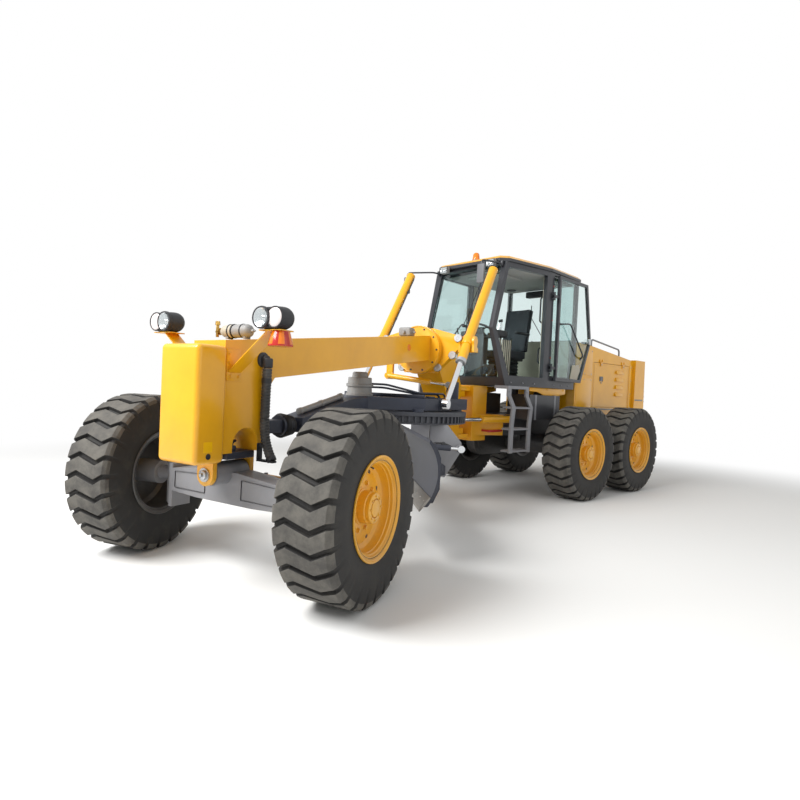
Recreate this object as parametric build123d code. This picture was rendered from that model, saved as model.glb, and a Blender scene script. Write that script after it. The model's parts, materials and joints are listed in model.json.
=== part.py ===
from build123d import *
import os
from math import asin, atan2, cos, degrees, radians, sin, sqrt

# A six-wheel motor grader, built straight along Y and then posed.
# +X is the machine's left, -Y the way it drives, +Z up, in millimetres.
# While it is built, Y = 0 is the front axle and Z = 0 the ground.

# Pose in which the machine is parked
ARTICULATION_DEG = -16.8
STEER_LEFT_DEG = 6.2
STEER_RIGHT_DEG = 11.6
BLADE_ANGLE_DEG = -53.0
DOOR_OPEN_DEG = 183.0

# Wheels
TYRE_R = 674.0
TYRE_W = 441.0
TYRE_BEAD_W = 400.0
LUGS = 28
LUG_W = 113.0
LUG_END_X = 204.0
LUG_TOP_X = 184.0
TREAD_BASE_R = TYRE_R - 31.0
BORE_SIDES = 10
RIM_SEAT_R = 330.0
RIM_FLANGE_R = 367.0
RIM_WALL = 14.0
RIM_DISC_X = 60.0
RIM_DISC_T = 24.0
HUB_R = 112.0
HUB_LENGTH = 105.0
SEAT_GAP = 0.3
RUN_GAP = 0.05
FRONT_TRACK = 2170.0
REAR_TRACK = 2180.0
WHEELBASE = 6513.0
TANDEM_SPACING = 1549.0

# Front axle and its steering
OSCILLATION_Z = 790.0
OSCILLATION_PIN_R = 35.0
AXLE_Y = (-150.0, 40.0)
AXLE_HALF = 600.0
AXLE_TOP_Z = 800.0
AXLE_BOTTOM_Z = 550.0
AXLE_DROP = 45.0
AXLE_BOSS_R = 90.0
AXLE_BOSS_Y = (-285.0, 42.0)
AXLE_END_T = 40.0
AXLE_END_Z = (430.0, 790.0)
KINGPIN_X = 760.0
KINGPIN_R = 30.0
EAR_R = 60.0
EAR_T = 45.0
SPINDLE_R = 100.0
STEER_ARM = 260.0
STEER_ARM_Z = 590.0
STEER_ARM_T = 30.0
TIE_ROD_R = 20.0
TIE_EYE_R = 36.0
STEER_ANCHOR = (130.0, 190.0)
STEER_CYLINDER_Z = 720.0
STEER_HORN = (-30.0, 175.0)
STEER_BARREL_R = 36.0
STEER_ROD_R = 18.0

# Front frame
BEAM_HALF = 170.0
BEAM_FRONT_Y = -335.0
BEAM_TOP = ((-335.0, 1795.0), (3260.0, 2192.0))
BEAM_BOTTOM = ((205.0, 1540.0), (3180.0, 1885.0))
HEAD_REAR_Y = 88.0
HEAD_BOTTOM_Z = 962.0
HEAD_ARCH = (-100.0, 1013.0, 133.0)
GUSSET_Z = 1400.0
LUG_R = 85.0
LUG_T = 40.0
PIVOT_Y = 4173.0
PIVOT_PIN_R = 55.0
PIVOT_EAR_R = 150.0
PIVOT_EAR_T = 80.0
PIVOT_LOW_Z = 900.0
PIVOT_HIGH_Z = 1420.0
PIVOT_GAP = 6.0
WEIGHT_HALF = 204.0
WEIGHT_Y = (-610.0, -335.0)
WEIGHT_Z = (901.0, 1750.0)
WEIGHT_CORNER = 38.0

# Lamps on the front frame
LAMP_X = 575.0
LAMP_Y = -250.0
LAMP_SIZE = (275.0, 170.0, 160.0)
LAMP_BEZEL = (79.0, 68.0, 22.0)
LAMP_LENS = (67.5, 12.0)
LAMP_LENS_X = 57.5
LAMP_PLATE_Z = 1868.0
LAMP_PLATE_T = 8.0
LAMP_STRIP_W = 130.0
LAMP_STRIP_T = 10.0
LAMP_STRIP_FOOT_Z = 1560.0
SIGNAL_R = (62.0, 88.0)
SIGNAL_H = 105.0
CANISTER_R = 58.0
CANISTER_X = (-235.0, 95.0)

# Lift saddle and cylinders
SADDLE_Y = 3020.0
SADDLE_DISC_R = 300.0
SADDLE_DISC_T = 80.0
SADDLE_ARM_T = 100.0
SADDLE_Z = 1990.0
TRUNNION = (610.0, 3110.0, 2100.0)
TRUNNION_R = 25.0
YOKE_T = 30.0
YOKE_INNER = 72.0
YOKE_R = 62.0
LIFT_EYE = (610.0, 2560.0, 1345.0)
LIFT_BARREL_R = 58.0
LIFT_BARREL_BELOW = 330.0
LIFT_BARREL_ABOVE = 1250.0
LIFT_ROD_R = 33.0
LIFT_EYE_R = 55.0
LIFT_EYE_T = 70.0

# Drawbar, circle and blade
BALL_Y = 560.0
BALL_Z = 1130.0
BALL_R = 62.0
DRAWBAR_HALF = 120.0
DRAWBAR_H = 170.0
DRAWBAR_PLATE_Z = (1270.0, 1400.0)
CIRCLE_Y = 2600.0
CIRCLE_R = 780.0
CIRCLE_BORE_R = 650.0
CIRCLE_Z = (1125.0, 1255.0)
LEG_OFFSET = 640.0
LEG_T = 40.0
BLADE_LENGTH = 3660.0
BLADE_HEIGHT = 575.0
BLADE_T = 24.0
BLADE_CURVE_R = 460.0
BLADE_BOTTOM_Z = 505.0
BLADE_BACK_Y = 110.0
BLADE_SHIFT = 100.0
TIP_PIN = (350.0, 640.0)
TIP_PIN_R = 30.0
EDGE_H = 150.0
EDGE_T = 19.0
EDGE_BELOW = 55.0
DRIVE_X = -110.0
DRIVE_Y = 1880.0
DRIVE_R = 150.0
DRIVE_H = 200.0

# Rear frame
REAR_FRAME_HALF = 380.0
RAIL_T = 60.0
RAIL_Z = (880.0, 1180.0)
RAIL_Y = (4840.0, 8560.0)
TOWER_Y = (4330.0, 4640.0)
AXLE_TUBE_R = 170.0
TANDEM_CASE_X = (650.0, 820.0)
TANDEM_CASE_R = 235.0
TANDEM_PIVOT_R = 150.0
STUB_R = 120.0

# Cab
CAB_HALF = 720.0
CAB_FRONT_HALF = 600.0
CAB_REAR_HALF = 640.0
CAB_FLOOR_Z = (1600.0, 1700.0)
CAB_REAR_Y = 6290.0
CAB_TOP_Z = 3300.0
POST_T = 60.0
PILLAR_TOP_Y = 4400.0
PILLAR_KNEE = (4180.0, 2376.0)
PILLAR_FOOT_Y = 4490.0
B_POST_Y = (5290.0, 5450.0)
CAB_WIDE_Y = sum(B_POST_Y) / 2
BAND_H = 35.0
ROOF_Y = (4330.0, 6320.0)
ROOF_BROW = 120.0
ROOF_OVER = 20.0
ROOF_T = 80.0
GLASS_T = 8.0
DOOR_T = 44.0
DOOR_GAP = 12.0
DOOR_HINGE = (755.0, 5425.0)

# Hood and what stands beside it
HOOD_HALF = 640.0
HOOD_Y = (6330.0, 8350.0)
HOOD_TOP_Z = (2360.0, 2180.0)
HOOD_BOTTOM_Z = 1200.0
HOOD_WALL = 40.0
TAIL_Y = 8760.0
TAIL_HALF = 690.0
HOOD_DOOR_Y = (6900.0, 8200.0)
HOOD_DOOR_Z = (1330.0, 2080.0)
ENGINE_Y = (6500.0, 7700.0)
ENGINE_HALF = 300.0
ENGINE_Z = (1190.0, 1950.0)

EYE_CLEAR = 6.0
REAR_EAR_T = 60.0
TOWER_HALF = 215.0
TOWER_Z = (800.0, 1590.0)
CAB_POST_Y = (5060.0, 6150.0)
HOOD_POST_Y = (6450.0, 8250.0)
CROSS_Y = (5300.0, 6700.0, 7600.0)
HITCH_HALF = 120.0
HITCH_Y = 8640.0
HITCH_Z = (900.0, 1000.0)
HITCH_R = 25.0
REAR_SILL_Z = 2380.0
DOOR_FRAME_W = 45.0
DOOR_KNUCKLE_Z = (1900.0, 2950.0)
SEAT_Y = 5050.0
SEAT_HALF = 220.0
COLUMN = (4590.0, 4700.0, 2350.0)
HOOD_DOOR_GAP = 6.0
LOUVRE_Y = (7700.0, 7950.0)
LOUVRE_Z = (1560.0, 1690.0, 1820.0, 1950.0)
TAIL_Z = (1250.0, 2200.0)
GRILLE_BARS = 8
STEP_X = (800.0, 830.0)
STEP_Y = (4290.0, 4700.0)
STRINGER_W = 75.0
STEP_LOW_Z = 690.0
STEP_TREAD_Z = (700.0, 1000.0, 1290.0)
TANK_X = 700.0
TANK_Y = (5000.0, 5800.0)
TANK_Z = (1130.0, 1490.0)
HOOD_RAIL_Y = (6900.0, 7900.0)
RAIL_TUBE_R = 14.0
MIRRORS = ((1, 500.0, 4010.0, 3080.0), (-1, 900.0, 4010.0, 3070.0))
BEACON = (33.0, 4470.0)
BEACON_R = 62.0
BEACON_H = 130.0
WORK_LAMP_X = (-400.0, 440.0)
LEG_OUTLINE = (
    (250.0, 1126.0), (440.0, 1126.0), (600.0, 940.0), (600.0, 850.0), (430.0, 560.0),
    (290.0, 580.0), (250.0, 720.0),
)
CARRIER_OUTLINE = (
    (118.0, 985.0), (225.0, 985.0), (260.0, 800.0), (425.0, 690.0), (425.0, 590.0),
    (300.0, 575.0), (118.0, 605.0),
)
CARRIER_GAP = 5.0
CARRIER_TIE = ((165.0, 210.0), (870.0, 930.0))
SLIDE_GAP = 1.0
RAIL_RISE = 150.0
RAIL_HALF = 1400.0
RAIL_DEPTH = 45.0
RAIL_H = 30.0
SHIFT_BARREL_R = 34.0
SHIFT_BARREL_X = (-705.0, 720.0)
SHIFT_BORE_X = -420.0
SHIFT_ROD_R = 18.0
SHIFT_TAIL_X = 205.0
SHIFT_END_X = 1430.0
SHIFT_BEHIND = 60.0
TIP_CYLINDER_X = 745.0
TIP_ANCHOR = (205.0, 900.0)
TIP_EYE = (575.0, 880.0)
TIP_BARREL_R = 30.0
TIP_ROD_R = 16.0
TIP_BARREL_L = 255.0
TIP_CLOSED = 345.0
SWAY_ANCHOR = (-430.0, 3010.0, 1660.0)
SWAY_EYE = (430.0, 3010.0, 1565.0)
SWAY_BARREL_R = 34.0
SWAY_ROD_R = 17.0
SWAY_BARREL_L = 620.0
SWAY_CLOSED = 812.0
SWAY_DRIFT = 22.0
STEER_BARREL_L = 360.0
STEER_CLOSED = 445.0
SMALL_EYE_R = 38.0
SMALL_EYE_T = 40.0
SMALL_PIN_R = 16.0
TAIL_ROOM = 70.0
BEND_ANCHOR = (460.0, 4900.0)
BEND_EYE = (290.0, 3720.0)
BEND_Z = 1120.0
BEND_BARREL_R = 50.0
BEND_ROD_R = 26.0
BEND_EYE_R = 45.0
BEND_EYE_T = 60.0
BEND_LUG_T = 24.0
BEND_BARREL_L = 640.0
BEND_CLOSED = 1010.0
LIFT_TAIL = 350.0
BALL_SOCKET_R = 90.0
BALL_NECK_R = 36.0
BALL_NECK_L = 80.0
BALL_BORE_R = 8.0
FEED_TUBE_R = 28.0
FEED_TUBE_Y = (720.0, 1390.0)
HINGE_R = 10.0
HINGE_PIN_R = 5.0
HOOD_HINGE_Y = (7150.0, 7950.0)
MIRROR_ARM_X = 570.0
MIRROR_ARM_Y = (4356.0, 4230.0)
MIRROR_ARM_Z = CAB_TOP_Z - 38
MIRROR_FOOT = (20.0, 20.0, 68.0)
HOSE_R = 33.0
HOSE_BEND = 260.0
HOSE_POINTS = (
    (224.0, 55.0, 1609.7), (219.0, 56.0, 1480.0), (212.0, 60.0, 1290.0), (212.0, 60.0, 1140.0),
    (236.0, 60.0, 1010.0), (290.0, 55.0, 925.0),
)
GROMMET = (60.0, 25.0)
ELBOW_R = 40.0
ELBOW_TOP = 1700.0
JOINT_L = 38.0


def block(x, y, z):
    """A box between the given (low, high) pairs."""
    size = [hi - lo for lo, hi in (x, y, z)]
    middle = [(hi + lo) / 2 for lo, hi in (x, y, z)]
    return Pos(*middle) * Box(*size)


def along_x(points, x_low, x_high):
    """A plate whose (y, z) outline runs from x_low to x_high."""
    face = Plane.YZ.offset(x_low) * make_face(Polyline(*points, close=True))
    return extrude(face, x_high - x_low)


def along_y(points, y_low, y_high):
    """A plate whose (x, z) outline runs from y_low to y_high."""
    face = Plane.XZ.offset(-y_high) * make_face(Polyline(*points, close=True))
    return extrude(face, y_high - y_low)


def along_z(points, z_low, z_high):
    """A plate whose (x, y) outline runs from z_low to z_high."""
    face = Plane.XY.offset(z_low) * make_face(Polyline(*points, close=True))
    return extrude(face, z_high - z_low)


def rod(start, end, radius):
    """A round bar from one point to another."""
    run = Vector(*end) - Vector(*start)
    base = Plane(origin=start, z_dir=run)
    return base * Cylinder(radius, run.length, align=(Align.CENTER, Align.CENTER, Align.MIN))


def beside(shape):
    """The same shape on the machine's other side."""
    return mirror(shape, about=Plane.YZ)


def both(shape):
    """A shape and its mirror image."""
    return [shape, beside(shape)]


def line_z(line, y):
    """Height of a sloping edge at y."""
    (y0, z0), (y1, z1) = line
    return z0 + (z1 - z0) * (y - y0) / (y1 - y0)


def fused(pieces):
    """One solid from touching pieces."""
    first, *rest = pieces
    return first.fuse(*rest).clean() if rest else first


# Wheels

def ring_face(x, apothem, sides, turn):
    """A polygon about X at a station, its flats an apothem from the axle."""
    corner = apothem / cos(radians(180 / sides))
    angles = [radians(turn + 360 * step / sides) for step in range(sides)]
    points = [(corner * sin(angle), corner * cos(angle)) for angle in angles]
    return Plane.YZ.offset(x) * make_face(Polyline(*points, close=True))


def tyre():
    """A tyre about X with its full-width lugs, all in flat faces."""
    bead = TYRE_BEAD_W / 2
    side = TYRE_W / 2
    wall_r = TYRE_R * 0.77
    slope = (wall_r - RIM_FLANGE_R - 12) / (side - bead)
    hull = [(-side, wall_r), (-side + 10, TREAD_BASE_R), (side - 10, TREAD_BASE_R), (side, wall_r)]
    shape = loft([ring_face(x, radius, LUGS, 0) for x, radius in hull], ruled=True)
    for sign in (-1, 1):
        dish = [(sign * bead, RIM_FLANGE_R + 12), (sign * (side + 4), wall_r + 4 * slope)]
        shape -= loft([ring_face(x, radius, LUGS, 0) for x, radius in dish], ruled=True)
    half = LUG_W / 2
    foot = TREAD_BASE_R - 8
    lug = along_y([
        (-LUG_END_X, foot), (LUG_END_X, foot), (LUG_TOP_X, TYRE_R), (-LUG_TOP_X, TYRE_R),
    ], -half, half)
    shape = fused([shape] + [Rot(360 * step / LUGS, 0, 0) * lug for step in range(LUGS)])
    return shape - extrude(ring_face(-side - 1, RIM_SEAT_R + SEAT_GAP, BORE_SIDES, 0), 2 * side + 2)


def rim():
    """A dished rim about X, its dish open towards +X."""
    bead = TYRE_BEAD_W / 2 + SEAT_GAP
    lip = bead + RIM_WALL
    inner = RIM_SEAT_R - RIM_WALL
    disc = RIM_DISC_X
    face = RIM_DISC_X + RIM_DISC_T
    outline = [
        (-lip, inner), (disc, inner), (disc, 0), (face + HUB_LENGTH, 0), (face + HUB_LENGTH, HUB_R),
        (face, HUB_R), (face, inner), (lip, inner), (lip, RIM_FLANGE_R), (bead, RIM_FLANGE_R),
        (bead, RIM_SEAT_R), (-bead, RIM_SEAT_R), (-bead, RIM_FLANGE_R), (-lip, RIM_FLANGE_R),
    ]
    return revolve(make_face(Polyline(*outline, close=True)), Axis.X, 360)


def wheel_place(side, x, y):
    """Where a wheel goes: side is +1 on the left and -1 on the right."""
    turn = Rot(0, 0, 0) if side > 0 else Rot(0, 0, 180)
    return Pos(side * x, y, TYRE_R) * turn


# Front axle

def front_axle():
    """The oscillating axle with its boss and the ears of its kingpins."""
    y_low, y_high = AXLE_Y
    low_end = AXLE_BOTTOM_Z + AXLE_DROP / 3
    beam = along_y([
        (-AXLE_HALF, low_end), (-AXLE_HALF / 2, AXLE_BOTTOM_Z), (AXLE_HALF / 2, AXLE_BOTTOM_Z),
        (AXLE_HALF, low_end), (AXLE_HALF, AXLE_TOP_Z - AXLE_DROP), (AXLE_HALF / 4, AXLE_TOP_Z),
        (-AXLE_HALF / 4, AXLE_TOP_Z), (-AXLE_HALF, AXLE_TOP_Z - AXLE_DROP),
    ], y_low, y_high)
    boss = rod((0, AXLE_BOSS_Y[0], OSCILLATION_Z), (0, AXLE_BOSS_Y[1], OSCILLATION_Z), AXLE_BOSS_R)
    ends = []
    for side in (-1, 1):
        inner = side * AXLE_HALF
        outer = side * (AXLE_HALF + AXLE_END_T)
        span = (min(inner, outer), max(inner, outer))
        ends.append(block(span, AXLE_Y, AXLE_END_Z))
        for z_low in (AXLE_END_Z[0], AXLE_END_Z[1] - EAR_T):
            ear_x = (min(outer, side * KINGPIN_X), max(outer, side * KINGPIN_X))
            ends.append(block(ear_x, (-EAR_R, EAR_R - 20), (z_low, z_low + EAR_T)))
            ends.append(rod((side * KINGPIN_X, 0, z_low), (side * KINGPIN_X, 0, z_low + EAR_T), EAR_R))
    anchor_x, anchor_y = STEER_ANCHOR
    foot = block(
        (anchor_x - 40, anchor_x + 40),
        (y_high - 1, anchor_y + 40),
        (STEER_CYLINDER_Z - STEER_BARREL_R - 40, STEER_CYLINDER_Z - STEER_BARREL_R - 4),
    )
    post = rod(
        (anchor_x, anchor_y, STEER_CYLINDER_Z - STEER_BARREL_R - 40),
        (anchor_x, anchor_y, STEER_CYLINDER_Z + STEER_BARREL_R + 10),
        SMALL_PIN_R,
    )
    shape = fused([beam, boss, foot, post] + ends)
    shape -= rod(
        (0, AXLE_BOSS_Y[0] - 1, OSCILLATION_Z),
        (0, AXLE_BOSS_Y[1] + 1, OSCILLATION_Z),
        OSCILLATION_PIN_R + RUN_GAP,
    )
    for side in (-1, 1):
        shape -= rod(
            (side * KINGPIN_X, 0, AXLE_END_Z[0] - 1),
            (side * KINGPIN_X, 0, AXLE_END_Z[1] + 1),
            KINGPIN_R + RUN_GAP,
        )
    return shape


def steer_ball(side):
    """The tie rod's stud on a steering arm, straight ahead."""
    return (side * KINGPIN_X, STEER_ARM)


def knuckle(side):
    """A steering knuckle with its kingpin, spindle and arms, straight ahead."""
    kingpin_x = side * KINGPIN_X
    low = AXLE_END_Z[0] + EAR_T + SEAT_GAP
    high = AXLE_END_Z[1] - EAR_T - SEAT_GAP
    pin = rod((kingpin_x, 0, AXLE_END_Z[0]), (kingpin_x, 0, AXLE_END_Z[1]), KINGPIN_R)
    body = rod((kingpin_x, 0, low), (kingpin_x, 0, high), EAR_R)
    face_x = side * (FRONT_TRACK / 2 + RIM_DISC_X - SEAT_GAP)
    web = rod((kingpin_x, 0, TYRE_R), (face_x, 0, TYRE_R), EAR_R)
    spindle = rod((side * (FRONT_TRACK / 2 - 190), 0, TYRE_R), (face_x, 0, TYRE_R), SPINDLE_R)
    ball_x, ball_y = steer_ball(side)
    arm = block(
        (kingpin_x - 30, kingpin_x + 30), (0, ball_y), (STEER_ARM_Z - STEER_ARM_T, STEER_ARM_Z)
    )
    tip = rod((ball_x, ball_y, STEER_ARM_Z - STEER_ARM_T), (ball_x, ball_y, STEER_ARM_Z), 34)
    pieces = [pin, body, web, spindle, arm, tip]
    if side > 0:
        horn_x = kingpin_x + STEER_HORN[0]
        top = STEER_CYLINDER_Z - SMALL_EYE_T / 2 - SEAT_GAP
        pieces.append(rod((horn_x, STEER_HORN[1], top - 30), (horn_x, STEER_HORN[1], top), SMALL_EYE_R))
        pieces.append(block((horn_x, kingpin_x + 25), (0, STEER_HORN[1]), (top - 30, top)))
    return fused(pieces)


def turned(point, centre, angle):
    """A plan point turned about a centre by an angle in degrees."""
    dx = point[0] - centre[0]
    dy = point[1] - centre[1]
    c = cos(radians(angle))
    s = sin(radians(angle))
    return (centre[0] + dx * c - dy * s, centre[1] + dx * s + dy * c)


def tie_ends():
    """Both studs of the tie rod as the wheels are parked."""
    left = turned(steer_ball(1), (KINGPIN_X, 0), STEER_LEFT_DEG)
    right = turned(steer_ball(-1), (-KINGPIN_X, 0), STEER_RIGHT_DEG)
    return left, right


def tie_rod():
    """The tie rod, lying on top of both steering arms."""
    left, right = tie_ends()
    base = STEER_ARM_Z + SEAT_GAP
    middle = base + TIE_ROD_R
    eyes = [rod((x, y, base), (x, y, base + 2 * TIE_ROD_R), TIE_EYE_R) for x, y in (left, right)]
    bar = rod((*left, middle), (*right, middle), TIE_ROD_R - 2)
    return fused([bar] + eyes)


def horn_point():
    """The steering cylinder's pin on the left knuckle, as parked."""
    straight = (KINGPIN_X + STEER_HORN[0], STEER_HORN[1])
    return turned(straight, (KINGPIN_X, 0), STEER_LEFT_DEG)


# Front frame

def beam_space(y_low, y_high, gap):
    """The main beam's own space between two stations, with a gap all round."""
    half = BEAM_HALF + gap
    return along_x([
        (y_low, line_z(BEAM_BOTTOM, y_low) - gap), (y_high, line_z(BEAM_BOTTOM, y_high) - gap),
        (y_high, line_z(BEAM_TOP, y_high) + gap), (y_low, line_z(BEAM_TOP, y_low) + gap),
    ], -half, half)


def main_frame():
    """Head, main beam, saddle disc, neck and the hinge ears behind it."""
    top_end_y, top_end_z = BEAM_TOP[1]
    low_end_y, low_end_z = BEAM_BOTTOM[1]
    neck_rear = PIVOT_Y - PIVOT_EAR_R - 15
    outline = [
        (BEAM_FRONT_Y, HEAD_BOTTOM_Z), (HEAD_REAR_Y, HEAD_BOTTOM_Z), (HEAD_REAR_Y, GUSSET_Z),
        BEAM_BOTTOM[0], (low_end_y, low_end_z), (3560, 1420), (3800, 800), (neck_rear, 800),
        (neck_rear, 1560), (3700, 2060), (top_end_y, top_end_z), BEAM_TOP[0],
    ]
    body = along_x(outline, -BEAM_HALF, BEAM_HALF)
    arch_y, arch_z, arch_r = HEAD_ARCH
    body -= rod((-BEAM_HALF - 1, arch_y, arch_z), (BEAM_HALF + 1, arch_y, arch_z), arch_r)
    body -= block((-BEAM_HALF - 1, BEAM_HALF + 1), (arch_y - arch_r, arch_y + arch_r), (0, arch_z))
    lugs = []
    for y_low in (BEAM_FRONT_Y, HEAD_REAR_Y - LUG_T):
        lugs.append(block((-LUG_R, LUG_R), (y_low, y_low + LUG_T), (OSCILLATION_Z, HEAD_BOTTOM_Z + 20)))
        lugs.append(rod((0, y_low, OSCILLATION_Z), (0, y_low + LUG_T, OSCILLATION_Z), LUG_R))
    pin = rod((0, BEAM_FRONT_Y, OSCILLATION_Z), (0, HEAD_REAR_Y, OSCILLATION_Z), OSCILLATION_PIN_R)
    disc = rod(
        (0, SADDLE_Y - SADDLE_DISC_T / 2, SADDLE_Z), (0, SADDLE_Y + SADDLE_DISC_T / 2, SADDLE_Z),
        SADDLE_DISC_R,
    )
    ears = []
    for z_low in (PIVOT_LOW_Z, PIVOT_HIGH_Z):
        ears.append(rod((0, PIVOT_Y, z_low), (0, PIVOT_Y, z_low + PIVOT_EAR_T), PIVOT_EAR_R))
        ears.append(block((-PIVOT_EAR_R, PIVOT_EAR_R), (neck_rear, PIVOT_Y), (z_low, z_low + PIVOT_EAR_T)))
    bend_x, bend_y = BEND_EYE
    lug_top = BEND_Z - BEND_EYE_T / 2 - SEAT_GAP
    lug_z = (lug_top - BEND_LUG_T, lug_top)
    for side in (-1, 1):
        span = sorted((side * (BEAM_HALF - 5), side * bend_x))
        lugs.append(block(span, (bend_y - BEND_EYE_R, bend_y + BEND_EYE_R), lug_z))
        lugs.append(rod((side * bend_x, bend_y, lug_z[0]), (side * bend_x, bend_y, lug_top), BEND_EYE_R))
    shape = fused([body, pin, disc] + lugs + ears)
    shape -= rod((0, PIVOT_Y, 0), (0, PIVOT_Y, PIVOT_HIGH_Z + PIVOT_EAR_T + 1), PIVOT_PIN_R + RUN_GAP)
    return fused([shape] + lamp_strips() + [ball_seat()])


def lamp_strips():
    """The two bent strips that carry the head lamps, with their plates."""
    half = LAMP_STRIP_W / 2
    plate_low = LAMP_PLATE_Z - LAMP_PLATE_T
    strip = along_y([
        (BEAM_HALF - 1, LAMP_STRIP_FOOT_Z), (BEAM_HALF + LAMP_STRIP_T, LAMP_STRIP_FOOT_Z),
        (LAMP_X - 30 + LAMP_STRIP_T, plate_low + 2), (LAMP_X - 30, plate_low + 2),
    ], LAMP_Y - half, LAMP_Y + half)
    plate = block((LAMP_X - 100, LAMP_X + 100), (LAMP_Y - 70, LAMP_Y + 70), (plate_low, LAMP_PLATE_Z))
    return both(fused([strip, plate]))


def ball_seat():
    """The post under the head that holds the drawbar's ball in a socket."""
    socket_front = BALL_Y - BALL_R - 50
    reach = block((-60, 60), (HEAD_REAR_Y - 1, socket_front + 1), (BALL_Z - 55, BALL_Z + 55))
    socket = rod((0, socket_front, BALL_Z), (0, BALL_Y + 10, BALL_Z), BALL_SOCKET_R)
    socket -= Pos(0, BALL_Y, BALL_Z) * Sphere(BALL_R + SEAT_GAP)
    return fused([reach, socket])


def front_weight():
    """The rounded block bolted to the frame's nose."""
    shape = block((-WEIGHT_HALF, WEIGHT_HALF), WEIGHT_Y, WEIGHT_Z)
    edges = shape.edges().filter_by(lambda e: e.center().Y < WEIGHT_Y[1] - 1)
    return fillet(edges, WEIGHT_CORNER)


def front_lamps():
    """Twin lamp housings on their plates and the signal lamp under the left one."""
    width, depth, height = LAMP_SIZE
    radius = height / 2
    z = LAMP_PLATE_Z + SEAT_GAP + radius
    shell = Pos(LAMP_X, LAMP_Y, z) * (Rot(90, 0, 0) * extrude(SlotOverall(width, height), depth / 2, both=True))
    foot = block((LAMP_X - 40, LAMP_X + 40), (LAMP_Y - 40, LAMP_Y + 40), (LAMP_PLATE_Z + SEAT_GAP, z))
    front = LAMP_Y - depth / 2
    outer_r, inner_r, bezel_t = LAMP_BEZEL
    lens_r, lens_t = LAMP_LENS
    near = (LAMP_X - LAMP_LENS_X, z)
    far = (LAMP_X + LAMP_LENS_X, z)
    bezel = rod((near[0], front - bezel_t, z), (near[0], front + 1, z), outer_r)
    bezel -= rod((near[0], front - bezel_t - 1, z), (near[0], front, z), inner_r)
    lenses = [rod((x, front - lens_t, z), (x, front + 1, z), lens_r) for x, z in (near, far)]
    housing = fused([shell, foot, bezel] + lenses)
    top = LAMP_PLATE_Z - LAMP_PLATE_T - SEAT_GAP
    cone = Pos(LAMP_X + 45, LAMP_Y, top - SIGNAL_H / 2) * Cone(SIGNAL_R[1], SIGNAL_R[0], SIGNAL_H)
    return both(housing) + [cone]


def beam_fittings():
    """The canister across the beam's top and its valve."""
    z = line_z(BEAM_TOP, 0) + CANISTER_R + 8
    body = rod((CANISTER_X[0], 0, z), (CANISTER_X[1], 0, z), CANISTER_R)
    feet = [
        block((x - 15, x + 15), (-30, 30), (line_z(BEAM_TOP, 30) + SEAT_GAP, z)) for x in (-150, 40)
    ]
    stem = rod((CANISTER_X[0] - 70, 0, z), (CANISTER_X[0] + 1, 0, z), 18)
    return fused([body, stem] + feet)


def hose_fittings():
    """The grommet with its elbow at the hose's top, and the bracket at its foot."""
    x, y, z = HOSE_POINTS[0]
    centre_z = (z + ELBOW_TOP) / 2 + 20
    face = BEAM_HALF + SEAT_GAP
    radius, thick = GROMMET
    collar = rod((face, y, centre_z), (face + thick, y, centre_z), radius)
    elbow = rod((x, y, z + 2), (x, y, ELBOW_TOP), ELBOW_R)
    neck = rod((face, y, centre_z), (x, y, centre_z), ELBOW_R - 4)
    ends = [Vector(*point) for point in HOSE_POINTS[-2:]]
    step = (ends[1] - ends[0]).normalized()
    start = ends[1] + step * SEAT_GAP
    joint = rod(tuple(start), tuple(start + step * JOINT_L), HOSE_R + 6)
    low = start.Z + step.Z * JOINT_L - 14
    arm = block((face, start.X + 45), (start.Y - 25, start.Y + 25), (low, low + 16))
    plate = block((face, face + 8), (start.Y - 30, start.Y + 30), (low, HEAD_BOTTOM_Z + 60))
    return [fused([collar, neck, elbow]), fused([joint, arm, plate])]


def front_hose():
    """The sleeved hose bundle down the head's left side."""
    return tube(HOSE_POINTS, HOSE_R, HOSE_BEND)


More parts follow.
